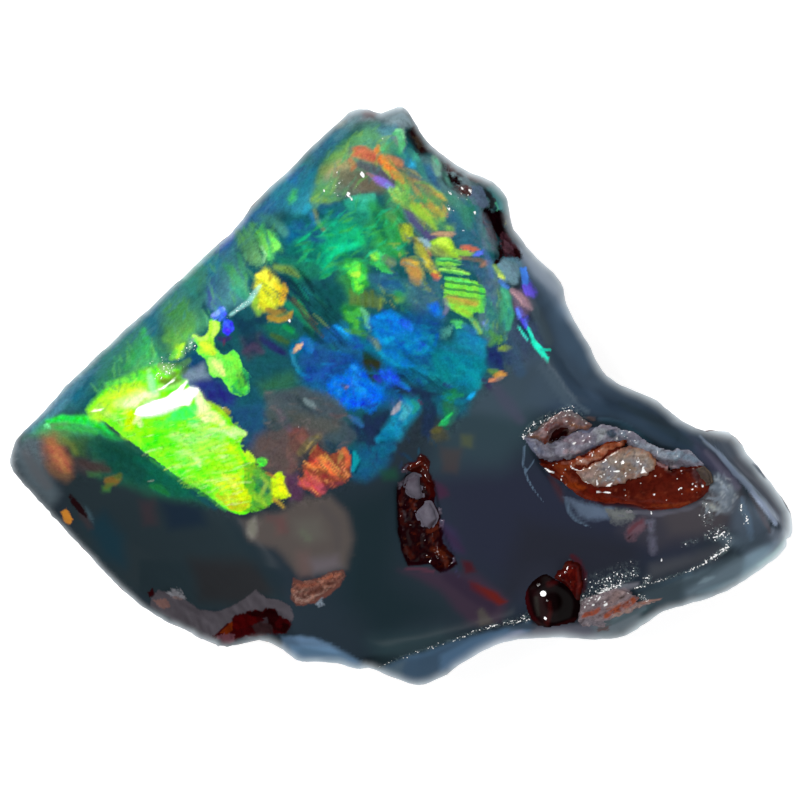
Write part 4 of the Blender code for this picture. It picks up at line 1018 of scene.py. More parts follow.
    ("d8b820", 0.7, 2.5, [(216, 496, 4), (224, 500, 6), (230, 508, 5)]),
    ("c0d018", 0.75, 3, [(232, 508, 5), (242, 508, 7)]),
    ("60fc18", 0.7, 4, [(176, 470, 6), (192, 480, 8), (208, 490, 6)]),
    ("34a848", 0.5, 2.5, [(150, 460, 3), (180, 480, 4), (206, 496, 4), (224, 510, 3)]),
    ("70b82c", 0.8, 4, [(248, 466, 7), (256, 474, 10), (252, 488, 6)]),
    ("50a03c", 0.85, 5, [(258, 472, 8), (266, 482, 14), (266, 498, 14), (252, 506, 6)]),
    ("2c6450", 0.8, 3, [(254, 478, 4), (262, 484, 8), (268, 492, 5)]),
    ("8cc830", 0.8, 2.5, [(250, 492, 5), (258, 498, 7), (266, 506, 4)]),
    ("a0c848", 0.6, 2, [(262, 476, 3), (268, 484, 4), (262, 494, 4)]),
    ("e8f418", 0.9, 2.5, [(278, 476, 4), (281, 484, 8), (286, 494, 6), (290, 496, 2)]),
    ("c4f420", 0.85, 2, [(274, 480, 3), (281, 475, 5)]),
    ("b07c3c", 0.8, 1.8, [(268, 474, 2.5), (276, 478, 2.5)]),
    ("c09c38", 0.8, 1.8, [(274, 500, 3), (280, 504, 3), (284, 508, 2)]),
    ("4cc844", 0.85, 2, [(258, 461, 3), (263, 460, 6), (267, 464, 3)]),
    ("b8f434", 0.85, 2, [(248, 452, 3), (252, 457, 5), (256, 463, 2)]),
    # the brown and orange ground beside it
    ("4c585c", 0.7, 6, [(268, 396, 8), (276, 406, 14), (282, 420, 10)]),
    ("5c5060", 0.7, 4, [(278, 412, 5), (284, 422, 8), (290, 430, 5)]),
    ("384c50", 0.7, 4, [(266, 424, 5), (276, 428, 7), (290, 420, 4)]),
    ("584a48", 0.75, 7, [(264, 444, 12), (280, 448, 20), (284, 466, 14)]),
    ("70504c", 0.6, 5, [(286, 450, 5), (294, 462, 8), (290, 472, 6)]),
    ("50304c", 0.75, 4, [(288, 478, 5), (292, 488, 10), (298, 498, 8)]),
    ("6c6444", 0.85, 4, [(300, 452, 6), (310, 442, 10), (320, 436, 6)]),
    ("a08c54", 0.7, 1.5, [(306, 450, 2), (312, 442, 2), (318, 436, 1)]),
    ("8c7844", 0.7, 1.5, [(310, 454, 2), (316, 446, 2.4)]),
    ("c85458", 0.85, 4, [(300, 484, 5), (312, 482, 14), (322, 490, 8)]),
    ("d84c48", 0.7, 2, [(306, 472, 3), (312, 486, 4), (318, 492, 2)]),
    ("f0783c", 0.85, 3, [(310, 466, 5), (322, 462, 12), (334, 472, 8)]),
    ("e8944c", 0.75, 2, [(322, 456, 3), (330, 464, 5), (338, 474, 3)]),
    ("d8a858", 0.7, 1, [(326, 454, 1.4), (334, 464, 1.6), (340, 472, 1)]),
    ("5c4030", 0.8, 1, [(318, 460, 1.4), (326, 470, 2), (330, 476, 1)]),
    ("5c4834", 0.8, 1.2, [(328, 462, 2), (336, 470, 2), (342, 480, 1)]),
    ("9c7840", 0.85, 2, [(338, 462, 3), (342, 454, 6), (344, 450, 3)]),
    ("d86440", 0.85, 2.5, [(344, 450, 4), (348, 458, 5), (346, 466, 4)]),
    ("ec9060", 0.8, 1, [(341, 466, 1.5), (345, 472, 2), (349, 477, 1.4)]),
    ("6c3040", 0.7, 2.5, [(322, 490, 4), (332, 484, 5), (342, 482, 3)]),
    ("803844", 0.7, 2, [(312, 492, 3), (318, 495, 4)]),
    ("0f98a8", 0.85, 2, [(354, 452, 3), (356, 460, 7), (353, 470, 4)]),
    ("203c50", 0.7, 3, [(328, 442, 5), (334, 448, 6), (342, 444, 4)]),
    # the brown lens
    ("5c4444", 0.6, 5, [(268, 518, 6), (280, 522, 9), (286, 532, 6)]),
    ("5c6454", 0.6, 4, [(302, 532, 6), (308, 540, 8)]),
    ("6c6c60", 0.7, 3, [(250, 522, 4), (252, 532, 7)]),
    ("4c4848", 0.6, 6, [(322, 508, 8), (336, 524, 10), (338, 548, 8)]),
    # lower left bevel
    ("1cd840", 0.8, 4, [(48, 422, 3), (66, 418, 5), (88, 420, 6), (104, 427, 5), (112, 434, 2)]),
    ("38b850", 0.7, 5, [(56, 428, 4), (76, 428, 7), (96, 432, 6)]),
    ("0a4438", 0.7, 7, [(104, 444, 8), (122, 452, 16), (142, 464, 10)]),
    ("0a6048", 0.65, 6, [(136, 460, 6), (160, 474, 12), (184, 490, 8)]),
    ("1c7c40", 0.7, 4, [(152, 486, 5), (160, 488, 8), (168, 494, 4)]),
    ("809484", 0.7, 1, [(148, 482, 1.4), (152, 481, 1.4)]),
    ("5c6c2c", 0.75, 3.5, [(106, 488, 4), (112, 482, 8), (120, 476, 5)]),
    ("80602c", 0.8, 2.5, [(106, 482, 4), (112, 480, 6), (117, 482, 3)]),
    ("0c4858", 0.7, 4, [(192, 492, 5), (204, 500, 7), (214, 508, 4)]),
    ("44302c", 0.5, 5, [(80, 462, 6), (96, 468, 10), (108, 470, 6)]),
    ("b86c48", 0.7, 9, [(50, 442, 5), (56, 452, 10), (62, 462, 11), (66, 470, 5)]),
    ("c88454", 0.6, 6, [(52, 448, 3), (58, 458, 5), (62, 466, 4)]),
    ("708038", 0.65, 6, [(64, 440, 4), (72, 446, 6), (76, 454, 4)]),
    ("5c5c60", 0.6, 6, [(26, 452, 8), (36, 470, 10), (48, 486, 8)]),
    # more of the lime
    ("c4fc68", 0.6, 7, [(184, 454, 8), (202, 450, 14), (222, 444, 8)]),
    ("b8ff90", 0.6, 5, [(192, 424, 6), (206, 430, 10), (222, 436, 8)]),
    ("e0ffa0", 0.6, 2, [(186, 404, 2), (196, 412, 4), (206, 420, 4)]),
    ("f0ffc8", 0.6, 2, [(210, 428, 2), (222, 430, 4), (236, 438, 3)]),
    ("f0fc40", 0.7, 3, [(212, 480, 4), (222, 490, 6), (232, 500, 5)]),
    ("ffff58", 0.7, 2, [(222, 474, 3), (232, 484, 6), (238, 492, 3)]),
    # round the pocket
    ("767a7c", 0.8, 2.5, [(704, 503, 4), (712, 506, 7), (722, 511, 5)]),
    ("8a8c84", 0.7, 1.5, [(711, 504, 2), (718, 510, 3)]),
    ("5c5c68", 0.7, 3, [(634, 511, 3), (660, 513, 5), (690, 508, 4), (702, 502, 3)]),
    ("3c2c34", 0.7, 4, [(552, 478, 4), (558, 490, 8), (562, 500, 4)]),
    ("482c34", 0.6, 3, [(548, 476, 2), (556, 486, 4), (560, 494, 3)]),
    ("28363f", 0.7, 6, [(622, 404, 6), (660, 424, 12), (690, 444, 8)]),
    ("3c5264", 0.7, 3, [(600, 420, 3), (616, 423, 5), (632, 428, 3)]),
    # crumbs under it
    ("5c343c", 0.8, 1.5, [(630, 532, 3), (634, 526, 4), (642, 520, 3)]),
    ("100608", 0.9, 0.8, [(629, 538, 2), (633, 535, 1.6)]),
    # round the bead
    ("4c141c", 0.7, 3, [(572, 556, 4), (579, 562, 6), (584, 574, 5), (584, 590, 4)]),
    ("b0a8ac", 0.7, 2, [(582, 602, 4), (590, 600, 7)]),
    ("b08478", 0.85, 1.5, [(632, 606, 4), (646, 602, 3), (660, 599, 1.5)]),
    ("9c4830", 0.8, 1.2, [(634, 607, 1.5), (646, 603, 1)]),
    ("5a6470", 0.8, 3, [(602, 624, 8), (620, 618, 8), (644, 608, 5)]),
    ("4c5c6c", 0.8, 3, [(510, 629, 4), (524, 626, 6), (534, 628, 4)]),
    ("3c4c58", 0.8, 2, [(636, 592, 3), (660, 585, 5), (690, 574, 4)]),
    # the long inclusion's trail
    ("2c2234", 0.6, 8, [(448, 576, 10), (470, 590, 16), (492, 606, 10)]),
    ("34243c", 0.6, 5, [(444, 530, 4), (456, 544, 7), (464, 552, 4)]),
    ("3c3c60", 0.5, 1.5, [(456, 570, 1.5), (459, 576, 1.5)]),
    ("54687c", 0.7, 3, [(742, 500, 4), (748, 520, 8), (752, 540, 5)]),
    ("7c8894", 0.7, 8, [(738, 448, 6), (757, 468, 9), (770, 486, 9), (783, 508, 9), (790, 528, 8)]),
    ("54606e", 0.7, 8, [(712, 440, 6), (724, 446, 12), (732, 454, 8)]),
    ("566674", 0.75, 12, [(724, 540, 8), (744, 546, 14), (762, 544, 12)]),
    ("6c7c88", 0.7, 10, [(690, 592, 6), (714, 580, 12), (740, 566, 14), (764, 552, 12)]),
    ("90b4b4", 0.4, 5, [(760, 565, 3), (776, 553, 4), (788, 540, 4)]),
    ("243c48", 0.85, 4, [(604, 422, 3), (618, 424, 5), (630, 429, 5), (642, 436, 5), (652, 443, 3)]),
    ("66727e", 0.7, 10, [(706, 476, 4), (716, 482, 14), (728, 494, 18), (726, 508, 12)]),
    ("8498a2", 0.5, 3, [(698, 584, 1), (706, 580, 5), (714, 577, 2)]),
    ("78909c", 0.35, 4, [(700, 592, 3), (722, 586, 6), (736, 580, 3)]),
    # milky and yellow lime round the brightest part, which is itself a painted highlight
    ("e0ff90", 0.75, 8, [(118, 404, 8), (130, 402, 14), (142, 394, 12)]),
    ("f0ffc0", 0.8, 5, [(126, 404, 6), (134, 402, 10), (144, 396, 8), (156, 394, 6)]),
    ("c8f000", 0.8, 5, [(130, 412, 8), (134, 416, 8), (130, 426, 8)]),
    ("f0ffb0", 0.85, 3, [(134, 422, 3), (138, 418, 6), (140, 424, 5)]),
    ("40ff60", 0.8, 6, [(168, 420, 4), (182, 413, 12), (195, 408, 8)]),
    ("ffffb8", 0.8, 6, [(199, 396, 4), (204, 408, 12), (206, 418, 8)]),
    # painted highlight: a near-white streak where the lamps' reflection lies on the lime
    ("f4fff0", 0.92, 4, [
        (141, 417), (138, 414), (142, 408), (144, 403), (152, 400), (165, 399), (174, 396), (183, 391),
        (190, 389), (197, 390), (195, 397), (185, 404), (175, 410), (164, 414), (152, 416),
    ]),
    ("5c8c28", 0.8, 4, [(160, 382, 4), (168, 383, 9), (180, 380, 5)]),
    ("3c5c20", 0.6, 3, [(172, 376, 5), (184, 372, 7), (188, 368, 4)]),
    ("9cf0a0", 0.7, 5, [(150, 376, 6), (152, 386, 8), (154, 392, 5)]),
    ("d0f878", 0.5, 3, [(108, 414, 4), (116, 418, 6), (122, 424, 3)]),
    ("8c8c96", 0.5, 3, [(620, 587, 4), (630, 586, 6), (637, 584, 3)]),
    ("4c9c84", 0.6, 5, [(190, 308, 4), (197, 303, 7), (206, 296, 4)]),
    ("0c6484", 0.7, 3, [(366, 350, 4), (374, 355, 6), (380, 360, 3)]),
    ("1c5c50", 0.7, 2, [(240, 372, 2), (244, 378, 3), (245, 384, 2)]),
    ("8a6a60", 0.5, 3, [(588, 418, 2), (594, 420, 3)]),
    # the upper left
    ("4c9888", 0.8, 8, [(262, 216, 6), (274, 222, 10), (284, 232, 8)]),
    ("78a0a8", 0.7, 8, [(336, 138, 5), (346, 128, 9), (356, 120, 6)]),
    ("a4bc58", 0.8, 5, [(430, 250, 4), (438, 252, 10), (446, 256, 5)]),
    ("46464e", 0.85, 2.5, [(750, 494, 3), (760, 510, 5), (770, 532, 3)]),
    ("34383e", 0.8, 1.5, [(752, 496, 1.6), (757, 506, 2.4), (764, 516, 1.6)]),
    # painted highlight: a pale line along the ledge's ridge
    ("8898b0", 0.8, 2.5, [
        (700, 436, 2), (716, 452, 4), (732, 470, 5), (748, 486, 5), (764, 506, 5), (776, 524, 4),
    ]),
    ("5c5a6c", 0.7, 4, [(706, 452, 5), (722, 470, 8), (738, 488, 6)]),
    ("98a4b0", 0.6, 1.5, [(714, 478, 1.5), (722, 484, 2), (728, 492, 1.5)]),
    ("84909c", 0.6, 1.5, [(708, 498, 2), (718, 500, 2), (726, 506, 2)]),
    ("98a09c", 0.6, 1.5, [(711, 506, 2), (717, 510, 3)]),
    ("5c3040", 0.6, 2, [(408, 568, 3), (422, 569, 4), (434, 572, 3)]),
]

# Zones filled with small dabs, scattered by chance: colours, how many, length and width in squares,
# angle (down to the right), spread, strength, outline.
dabZones = [
    (("8c98a4", "747c88", "5c6874", "9ca4a8"), 90, 6, 1.8, 45, 50, 0.5, [
        (706, 476), (716, 472), (728, 480), (737, 498), (730, 514), (706, 513), (712, 496),
    ]),
    (("5c9c60", "4c8c6c", "84b050", "3c7c78", "6ca858"), 46, 13, 3.5, 128, 22, 0.5, [
        (312, 200), (332, 160), (350, 138), (378, 128), (392, 148), (384, 170), (350, 188), (328, 206),
    ]),
    (("8cb84c", "5c9c50", "a89c4c", "6c7c54", "c89050", "4c8858"), 70, 12, 3, 40, 14, 0.55, [
        (386, 160), (414, 172), (446, 200), (448, 226), (428, 232), (400, 206), (384, 186),
    ]),
    (("1a9c70", "0f7868", "28b060", "0e5c58", "3ca848", "14c888"), 110, 13, 3.5, 150, 25, 0.5, [
        (300, 230), (340, 200), (392, 200), (408, 240), (384, 262), (330, 282), (300, 262),
    ]),
    (("2c7c60", "3c8ca0", "7ca048", "2c5c84", "5c7c60", "98a840"), 70, 9, 2.6, 30, 22, 0.5, [
        (380, 262), (404, 232), (432, 246), (446, 300), (404, 310), (372, 296),
    ]),
    (("2c5c80", "3c7870", "506878", "2c6c84", "586c80"), 44, 10, 3, 60, 20, 0.45, [
        (446, 204), (480, 200), (496, 250), (500, 300), (484, 290), (462, 246),
    ]),
    (("0c54a0", "1478c8", "0c6494", "1c48a8", "0c8cc4", "184c80"), 90, 12, 3.2, 30, 16, 0.45, [
        (302, 350), (340, 322), (380, 312), (440, 318), (440, 366), (404, 402), (330, 404), (304, 384),
    ]),
    (("0c8cb0", "107ca8", "0c5c80", "1c98a0", "0c7080"), 70, 10, 3, 25, 18, 0.45, [
        (404, 330), (488, 336), (486, 376), (468, 400), (436, 398), (400, 366),
    ]),
    (("1c2c50", "14405c", "243858", "1c5068"), 40, 10, 3, 60, 25, 0.5, [
        (358, 420), (400, 392), (446, 392), (446, 430), (400, 470), (356, 470),
    ]),
    (("4c5858", "3c4c54", "605858", "445058", "6c6464"), 60, 9, 2.6, 30, 30, 0.45, [
        (266, 392), (330, 396), (350, 412), (344, 444), (300, 446), (262, 440),
    ]),
    (("5c4c48", "6c5048", "4c4448", "745850"), 36, 8, 2.5, 130, 20, 0.4, [
        (256, 440), (300, 430), (306, 470), (288, 500), (262, 470),
    ]),
    (("0f4450", "14584c", "183c54", "0c3040", "1c6c4c"), 60, 15, 2.6, 45, 7, 0.55, [
        (266, 268), (320, 276), (350, 330), (340, 350), (296, 330), (262, 300),
    ]),
    (("5cac58", "7cc45c", "4c9c68", "64b47c", "48a090"), 60, 12, 3, 75, 16, 0.45, [
        (160, 330), (170, 300), (240, 230), (276, 226), (270, 262), (236, 300), (190, 340),
    ]),
    (("58c070", "48a860", "7cd868", "3c9c5c"), 40, 12, 3.5, 80, 18, 0.45, [
        (96, 388), (140, 332), (160, 356), (150, 370), (110, 390),
    ]),
    (("3c6c90", "4c8c90", "3c80a0", "5c94a0"), 40, 14, 3.5, 135, 10, 0.4, [
        (60, 400), (200, 262), (330, 138), (336, 146), (216, 270), (80, 400),
    ]),
    (("3c8c78", "2c6470", "4ca878", "28788c", "70a060"), 40, 9, 2.6, 80, 20, 0.5, [
        (486, 290), (512, 284), (516, 330), (500, 346), (484, 330),
    ]),
    (("c8ff28", "90fc20", "e4ff50", "6cf820", "b8ff60", "f0ffb0"), 200, 15, 1.7, 163, 5, 0.5, [
        (150, 450), (206, 404), (240, 430), (246, 490), (226, 506), (180, 476),
    ]),
    (("d8f428", "e8ff28", "c8c828", "a8e018", "e0b828"), 60, 6, 1.8, 160, 20, 0.5, [
        (214, 470), (244, 462), (250, 510), (236, 512), (214, 498),
    ]),
    (("a0e830", "e0ff70", "84d040", "c8f040"), 50, 7, 1.8, 150, 20, 0.5, [
        (90, 414), (110, 390), (150, 374), (150, 392), (126, 420), (106, 422),
    ]),
    (("e88448", "d05c48", "f0a860", "8c4438", "d87850"), 60, 8, 1.6, 45, 8, 0.6, [
        (300, 470), (322, 450), (348, 454), (348, 474), (322, 492), (302, 488),
    ]),
    (("40a0ff", "0c64f0", "1c84fc", "2c50e8"), 60, 5, 2, 40, 40, 0.5, [
        (328, 388), (356, 366), (382, 386), (370, 408), (344, 404),
    ]),
    (("1c98e8", "0c6cd0", "2c5cf0", "10a8e0"), 50, 7, 2, 25, 15, 0.5, [
        (374, 322), (392, 312), (430, 338), (428, 352), (390, 346),
    ]),
    (("f8f860", "e8d020", "c8b828", "fcf030"), 30, 6, 1.8, 70, 15, 0.5, [
        (256, 280), (268, 268), (284, 290), (280, 304), (258, 308),
    ]),
]

# Hollows, lumps and wear: depth in mm, softness in squares, lump height in mm, lumps per mm,
# wear from 0 (polished) to 1 (raw), shape.
reliefs = [
    (0.10, 8, 0.05, 3.2, 0.55, [
        (524, 437), (532, 428), (548, 416), (568, 410), (582, 418), (618, 424), (640, 430), (660, 448),
        (690, 452), (706, 464), (724, 480), (726, 500), (702, 505), (664, 512), (618, 518), (590, 516),
        (566, 500), (540, 466),
    ]),
    (0.22, 5, 0.03, 4.5, 0.35, [
        (540, 459), (566, 458), (600, 446), (628, 442), (652, 458), (690, 464), (708, 480), (700, 498),
        (672, 507), (604, 502), (572, 486),
    ]),
    (0.35, 5, 0.06, 4.0, 0.8, [(548, 436), (556, 429), (568, 431), (564, 440), (552, 441)]),
    (0.14, 4, 0.03, 5.0, 0.35, [
        (396, 488), (408, 474), (424, 464), (431, 478), (436, 492), (443, 532), (456, 560), (446, 572),
        (430, 564), (408, 565), (398, 530),
    ]),
    (0.02, 4, 0.05, 3.4, 0.8, [
        (214, 636), (234, 616), (254, 611), (280, 612), (292, 624), (282, 634), (244, 636), (228, 646),
    ]),
    (0.02, 6, 0.04, 2.4, 0.6, [
        (150, 596), (170, 590), (196, 610), (222, 612), (256, 592), (290, 606), (290, 628), (240, 640),
        (196, 640), (160, 614),
    ]),
    (0.04, 4, 0.03, 5.0, 0.6, [(292, 578), (318, 578), (344, 570), (346, 576), (326, 597), (296, 606)]),
    (0.08, 5, 0.05, 4.0, 0.6, [
        (580, 600), (612, 588), (632, 594), (650, 600), (620, 616), (600, 632), (578, 624),
    ]),
    (0.12, 4, 0.05, 5.5, 0.9, [
        (406, 134), (414, 128), (420, 139), (428, 151), (424, 154), (418, 154), (414, 145),
    ]),
    (0.10, 4, 0.06, 5.5, 0.9, [
        (443, 163), (450, 166), (454, 174), (462, 182), (470, 188), (466, 195), (456, 190), (444, 182),
    ]),
    (0.16, 5, 0.07, 5.5, 0.9, [
        (483, 210), (492, 208), (503, 212), (508, 232), (512, 244), (519, 250), (516, 258), (504, 254),
        (496, 264), (498, 244), (493, 228), (487, 218),
    ]),
    (0.03, 10, 0.03, 2.5, 0.45, [(338, 122), (400, 104), (418, 130), (400, 126), (352, 124)]),
    (0.0, 10, 0.012, 5.0, 0.4, [
        (640, 582), (700, 564), (730, 540), (745, 500), (765, 530), (735, 560), (690, 580), (650, 595),
    ]),
    (0.0, 10, 0.008, 6.0, 0.2, [(530, 350), (580, 360), (606, 418), (560, 420), (520, 400)]),
    (0.0, 8, 0.0, 5.0, 0.35, [
        (60, 416, 4), (100, 404, 8), (150, 378, 8), (184, 356, 8), (216, 326, 8), (242, 304, 8),
        (262, 284, 6),
    ]),
]

# Chipped, frosted spots painted with white glints, as painted highlights: strength, tapering line.
paintedGlitter = [
    (0.35, [(228, 316, 3), (240, 308, 6), (250, 300, 7), (256, 291, 5), (262, 284, 3)]),
    (0.6, [(158, 376, 8), (166, 371, 12), (172, 368, 8)]),
    (0.4, [(150, 362, 5), (176, 358, 7), (192, 346, 8), (194, 336, 6)]),
    (0.4, [(180, 368, 3), (188, 364, 3), (191, 367, 2)]),
    (0.7, [
        (378, 668, 1), (400, 658, 1.5), (440, 645, 2), (480, 630, 2.5), (500, 624, 3), (516, 621, 5),
        (526, 618, 9),
    ]),
    (0.9, [(519, 620, 2), (522, 620, 3), (526, 616, 4), (526, 621, 3)]),
    (0.55, [(582, 602, 10), (590, 592, 10), (604, 584, 14), (622, 578, 16), (634, 572, 10)]),
    (1.1, [(600, 593, 4), (606, 590, 6), (614, 588, 6), (620, 584, 5)]),
    (0.9, [(583, 598, 5), (590, 602, 5), (598, 600, 4)]),
    (0.25, [(590, 580, 10), (616, 570, 10), (636, 562, 5)]),
    (1.0, [(641, 587, 2), (644, 584, 3), (648, 578, 5)]),
    (0.9, [
        (636, 588, 1.4), (660, 580.4, 1.6), (680, 574, 1.6), (700, 566, 1.8), (712, 558, 4), (724, 550, 6),
        (728, 546, 5),
    ]),
    (0.6, [(640, 596, 5), (646, 600, 5)]),
    (0.9, [(716, 538, 6), (720, 534, 6), (726, 538, 4)]),
    (0.5, [(708, 536, 8), (722, 532, 14), (730, 540, 8)]),
    (1.1, [(722, 552, 3), (726, 546, 4), (714, 558, 3)]),
    (0.8, [(741, 506, 3), (743, 512, 3)]),
    (1.3, [(747, 516, 2), (747.6, 523, 2)]),
    (0.45, [(684, 544, 4), (696, 541, 5)]),
    (0.55, [(704, 500, 3), (707, 508, 4), (705, 514, 3)]),
    (0.35, [(705, 500, 6), (708, 520, 12)]),
    (0.6, [(522, 438, 5), (532, 427, 7), (546, 418, 7), (570, 409, 9), (580, 414, 7)]),
    (0.35, [(534, 432, 8), (550, 418, 9), (568, 411, 9), (582, 420, 8)]),
    (0.35, [(576, 442, 8), (590, 438, 10)]),
    (0.35, [(616, 436, 8), (628, 436, 8)]),
    (0.3, [(452, 190, 10), (470, 192, 8), (452, 208, 10)]),
    (0.3, [(340, 190, 22), (356, 190, 14)]),
]
# Small white spots painted as glints, as painted highlights: across, down, width.
paintedGlintChips = [
    (362, 175, 4), (348, 195, 3.4), (351, 199, 2.4), (469.6, 191, 2.6), (462, 188.4, 2.2), (461, 193, 1.4),
    (450, 193.6, 2.2), (474.6, 213, 2.4), (289, 321, 2.6), (449, 209, 2.4), (661, 560, 2.4),
    (324, 191, 1.8), (463, 231, 1.8), (337, 173, 1.6), (383, 139, 1.4), (223, 408, 1.6), (245, 432, 1.4),
    (299, 427, 1.4), (651, 513, 2.2), (699, 515, 1.6), (704, 517, 1.8),
]

# Parts painted lighter or darker, partly painted light and shade on the bevels and shoulders, partly colour
# corrections: light kept (red, green, blue), softness, shape.
tintsAndPaintedLight = [
    ((0.62, 0.85, 0.92), 14, [
        (20, 440), (60, 392), (150, 305), (240, 225), (345, 118), (352, 135), (262, 240), (215, 290),
        (150, 345), (100, 392), (60, 415),
    ]),
    ((2.3, 2.1, 2.0), 14, [
        (518, 250), (545, 265), (575, 300), (590, 335), (572, 322), (552, 300), (528, 275),
    ]),
    ((1.25, 1.35, 1.4), 16, [(545, 300), (575, 310), (600, 360), (585, 372), (560, 345)]),
    ((1.9, 1.8, 1.75), 8, [(752, 492), (775, 510), (790, 532), (774, 542), (758, 516)]),
    ((1.2, 1.22, 1.25), 8, [
        (725, 440), (752, 456), (775, 490), (790, 525), (784, 535), (765, 505), (745, 480), (725, 462),
        (712, 445),
    ]),
    ((1.3, 1.3, 1.3), 8, [
        (684, 572), (716, 558), (740, 548), (784, 540), (772, 566), (740, 584), (700, 602), (680, 600),
    ]),
    ((0.5, 0.62, 0.7), 4, [(376, 430), (394, 430), (396, 442), (380, 444)]),
    ((0.68, 0.74, 0.9), 3, [(226, 412), (236, 414), (238, 426), (230, 427)]),
    ((0.7, 0.7, 0.7), 4, [(178, 622), (200, 630), (204, 638), (184, 634)]),
    ((0.62, 0.72, 0.7), 3, [(186, 476), (206, 484), (214, 496), (204, 498), (184, 486), (172, 476)]),
    ((0.6, 0.66, 0.66), 3, [(234, 374), (246, 374), (248, 386), (240, 388)]),
    ((1.4, 1.45, 1.45), 10, [
        (640, 594), (700, 572), (745, 552), (790, 540), (762, 572), (700, 600), (640, 622),
    ]),
    ((1.25, 1.5, 1.35), 10, [(590, 622), (650, 606), (640, 632), (600, 642)]),
    ((1.7, 1.7, 1.75), 6, [
        (440, 655), (470, 640), (505, 628), (530, 630), (500, 645), (470, 662), (440, 672),
    ]),
    ((1.4, 1.5, 1.5), 8, [(745, 556), (770, 542), (790, 534), (785, 548), (760, 566), (742, 576)]),
    ((1.4, 1.5, 1.5), 6, [(290, 645), (330, 648), (370, 668), (380, 676), (330, 668), (292, 660)]),
    ((0.8, 0.8, 0.8), 14, [
        (328, 388), (350, 360), (380, 312), (440, 310), (440, 354), (404, 386), (372, 410), (344, 404),
    ]),
]

# Zones with fine lines in the colour: name of the attribute, shapes.
grainZones = {
    "risingLines": [
        [
            (104, 420), (150, 418), (196, 420), (236, 430), (242, 446), (262, 480), (250, 512), (228, 510),
            (200, 490), (150, 456),
        ],
    ],
    "fallingLines": [
        [(300, 446), (318, 442), (350, 448), (352, 478), (322, 496), (298, 488)],
        [(278, 268), (300, 266), (352, 330), (346, 346), (300, 318), (284, 296)],
        [(395, 205), (430, 225), (452, 250), (430, 256), (400, 232)],
        [(250, 215), (280, 232), (284, 252), (262, 262), (244, 240)],
        [(400, 362), (440, 376), (450, 392), (420, 388), (400, 376)],
    ],
    "bars": [[(437, 258), (460, 258), (474, 270), (488, 290), (486, 298), (462, 298), (442, 294)]],
    "hazy": [
        [
            (150, 300), (345, 112), (400, 118), (440, 165), (470, 205), (446, 245), (400, 236), (380, 250),
            (330, 250), (290, 262), (240, 262), (232, 312), (190, 320), (140, 350),
        ],
        [(320, 300), (440, 300), (450, 350), (420, 420), (340, 415), (300, 380), (280, 340)],
        [(500, 280), (540, 280), (540, 320), (500, 320)],
        [(84, 420), (88, 384), (150, 352), (190, 360), (188, 384), (150, 388), (112, 400)],
        [(560, 498), (640, 498), (640, 526), (600, 526), (572, 520)],
        [(330, 130), (400, 128), (440, 168), (448, 210), (430, 244), (380, 220), (320, 206)],
        [(225, 225), (280, 225), (292, 300), (282, 320), (240, 306)],
        [(396, 215), (440, 225), (452, 262), (436, 286), (396, 290)],
        [(36, 426), (84, 426), (92, 462), (150, 470), (140, 496), (90, 500), (44, 476)],
        [(250, 330), (310, 330), (312, 395), (255, 398)],
        [(610, 515), (660, 512), (662, 560), (620, 545)],
    ],
    "dull": [
        [(8, 450), (16, 420), (50, 400), (92, 404), (96, 424), (50, 446), (20, 474)],
        [(184, 372), (200, 362), (232, 350), (236, 380), (222, 396), (200, 389), (188, 385)],
        [(112, 392), (138, 392), (140, 400), (134, 410), (112, 412)],
        [(296, 628), (330, 622), (400, 655), (390, 680), (296, 668)],
        [
            (30, 430, 16), (78, 403, 20), (110, 399, 20), (135, 393, 18), (150, 386, 18), (165, 375, 20),
            (180, 360, 24), (195, 342, 26), (216, 322, 26), (242, 298, 26), (262, 278, 26), (290, 238, 30),
            (314, 202, 34), (340, 158, 40), (360, 130, 44),
        ],
        [(515, 565), (590, 550), (640, 560), (735, 530), (790, 500), (790, 560), (640, 640), (515, 640)],
        [
            (510, 430), (540, 400), (600, 404), (680, 436), (735, 470), (745, 520), (690, 540), (600, 530),
            (556, 505), (530, 470),
        ],
        [
            (386, 492), (394, 474), (408, 460), (424, 446), (436, 456), (438, 482), (448, 510), (453, 540),
            (466, 562), (458, 580), (438, 577), (412, 574), (396, 556), (388, 524),
        ],
        [(395, 100), (440, 140), (520, 190), (540, 260), (520, 300), (480, 270), (440, 200), (400, 150)],
        [(140, 560), (300, 570), (360, 560), (350, 610), (290, 660), (140, 660)],
    ],
    "play": [
        [
            (16, 446), (60, 392), (150, 305), (240, 225), (345, 118), (405, 118), (440, 160), (492, 190),
            (512, 240), (545, 350), (505, 380), (470, 410), (450, 440), (400, 450), (370, 480), (330, 500),
            (290, 510), (230, 520), (120, 480), (60, 480),
        ],
    ],
}

flank = {  # the raw sides
    "potch": "46525c",
    "deep": "2a343c",
    "cloud": (1.3, 7.0, 0.9),  # how often the two change, per mm, where the pattern starts, how strongly
    "streak": "6c7880",
    "skin": "5a3222",  # ironstone skin
    "crust": "2c1812",
    "clay": "9a8c80",
    "flashes": ("128a60", "1668b4", "8ab82c", "1aa0a0"),
    "flashSize": 0.75,  # per mm
    "flat": 2.2,  # how many times longer than high the flashes are
    "firm": 6,  # how firm their edges are
    "flashStart": (20.0, 9),  # where their pattern starts, and how far on it is for the next colour
    "rare": 0.18,
    "barLow": (4.2, 0.8),  # colour shows above this height, and fades in over the second, in mm
    "barEnd": 5,  # and left of here, in mm
}


# Laying the colours.

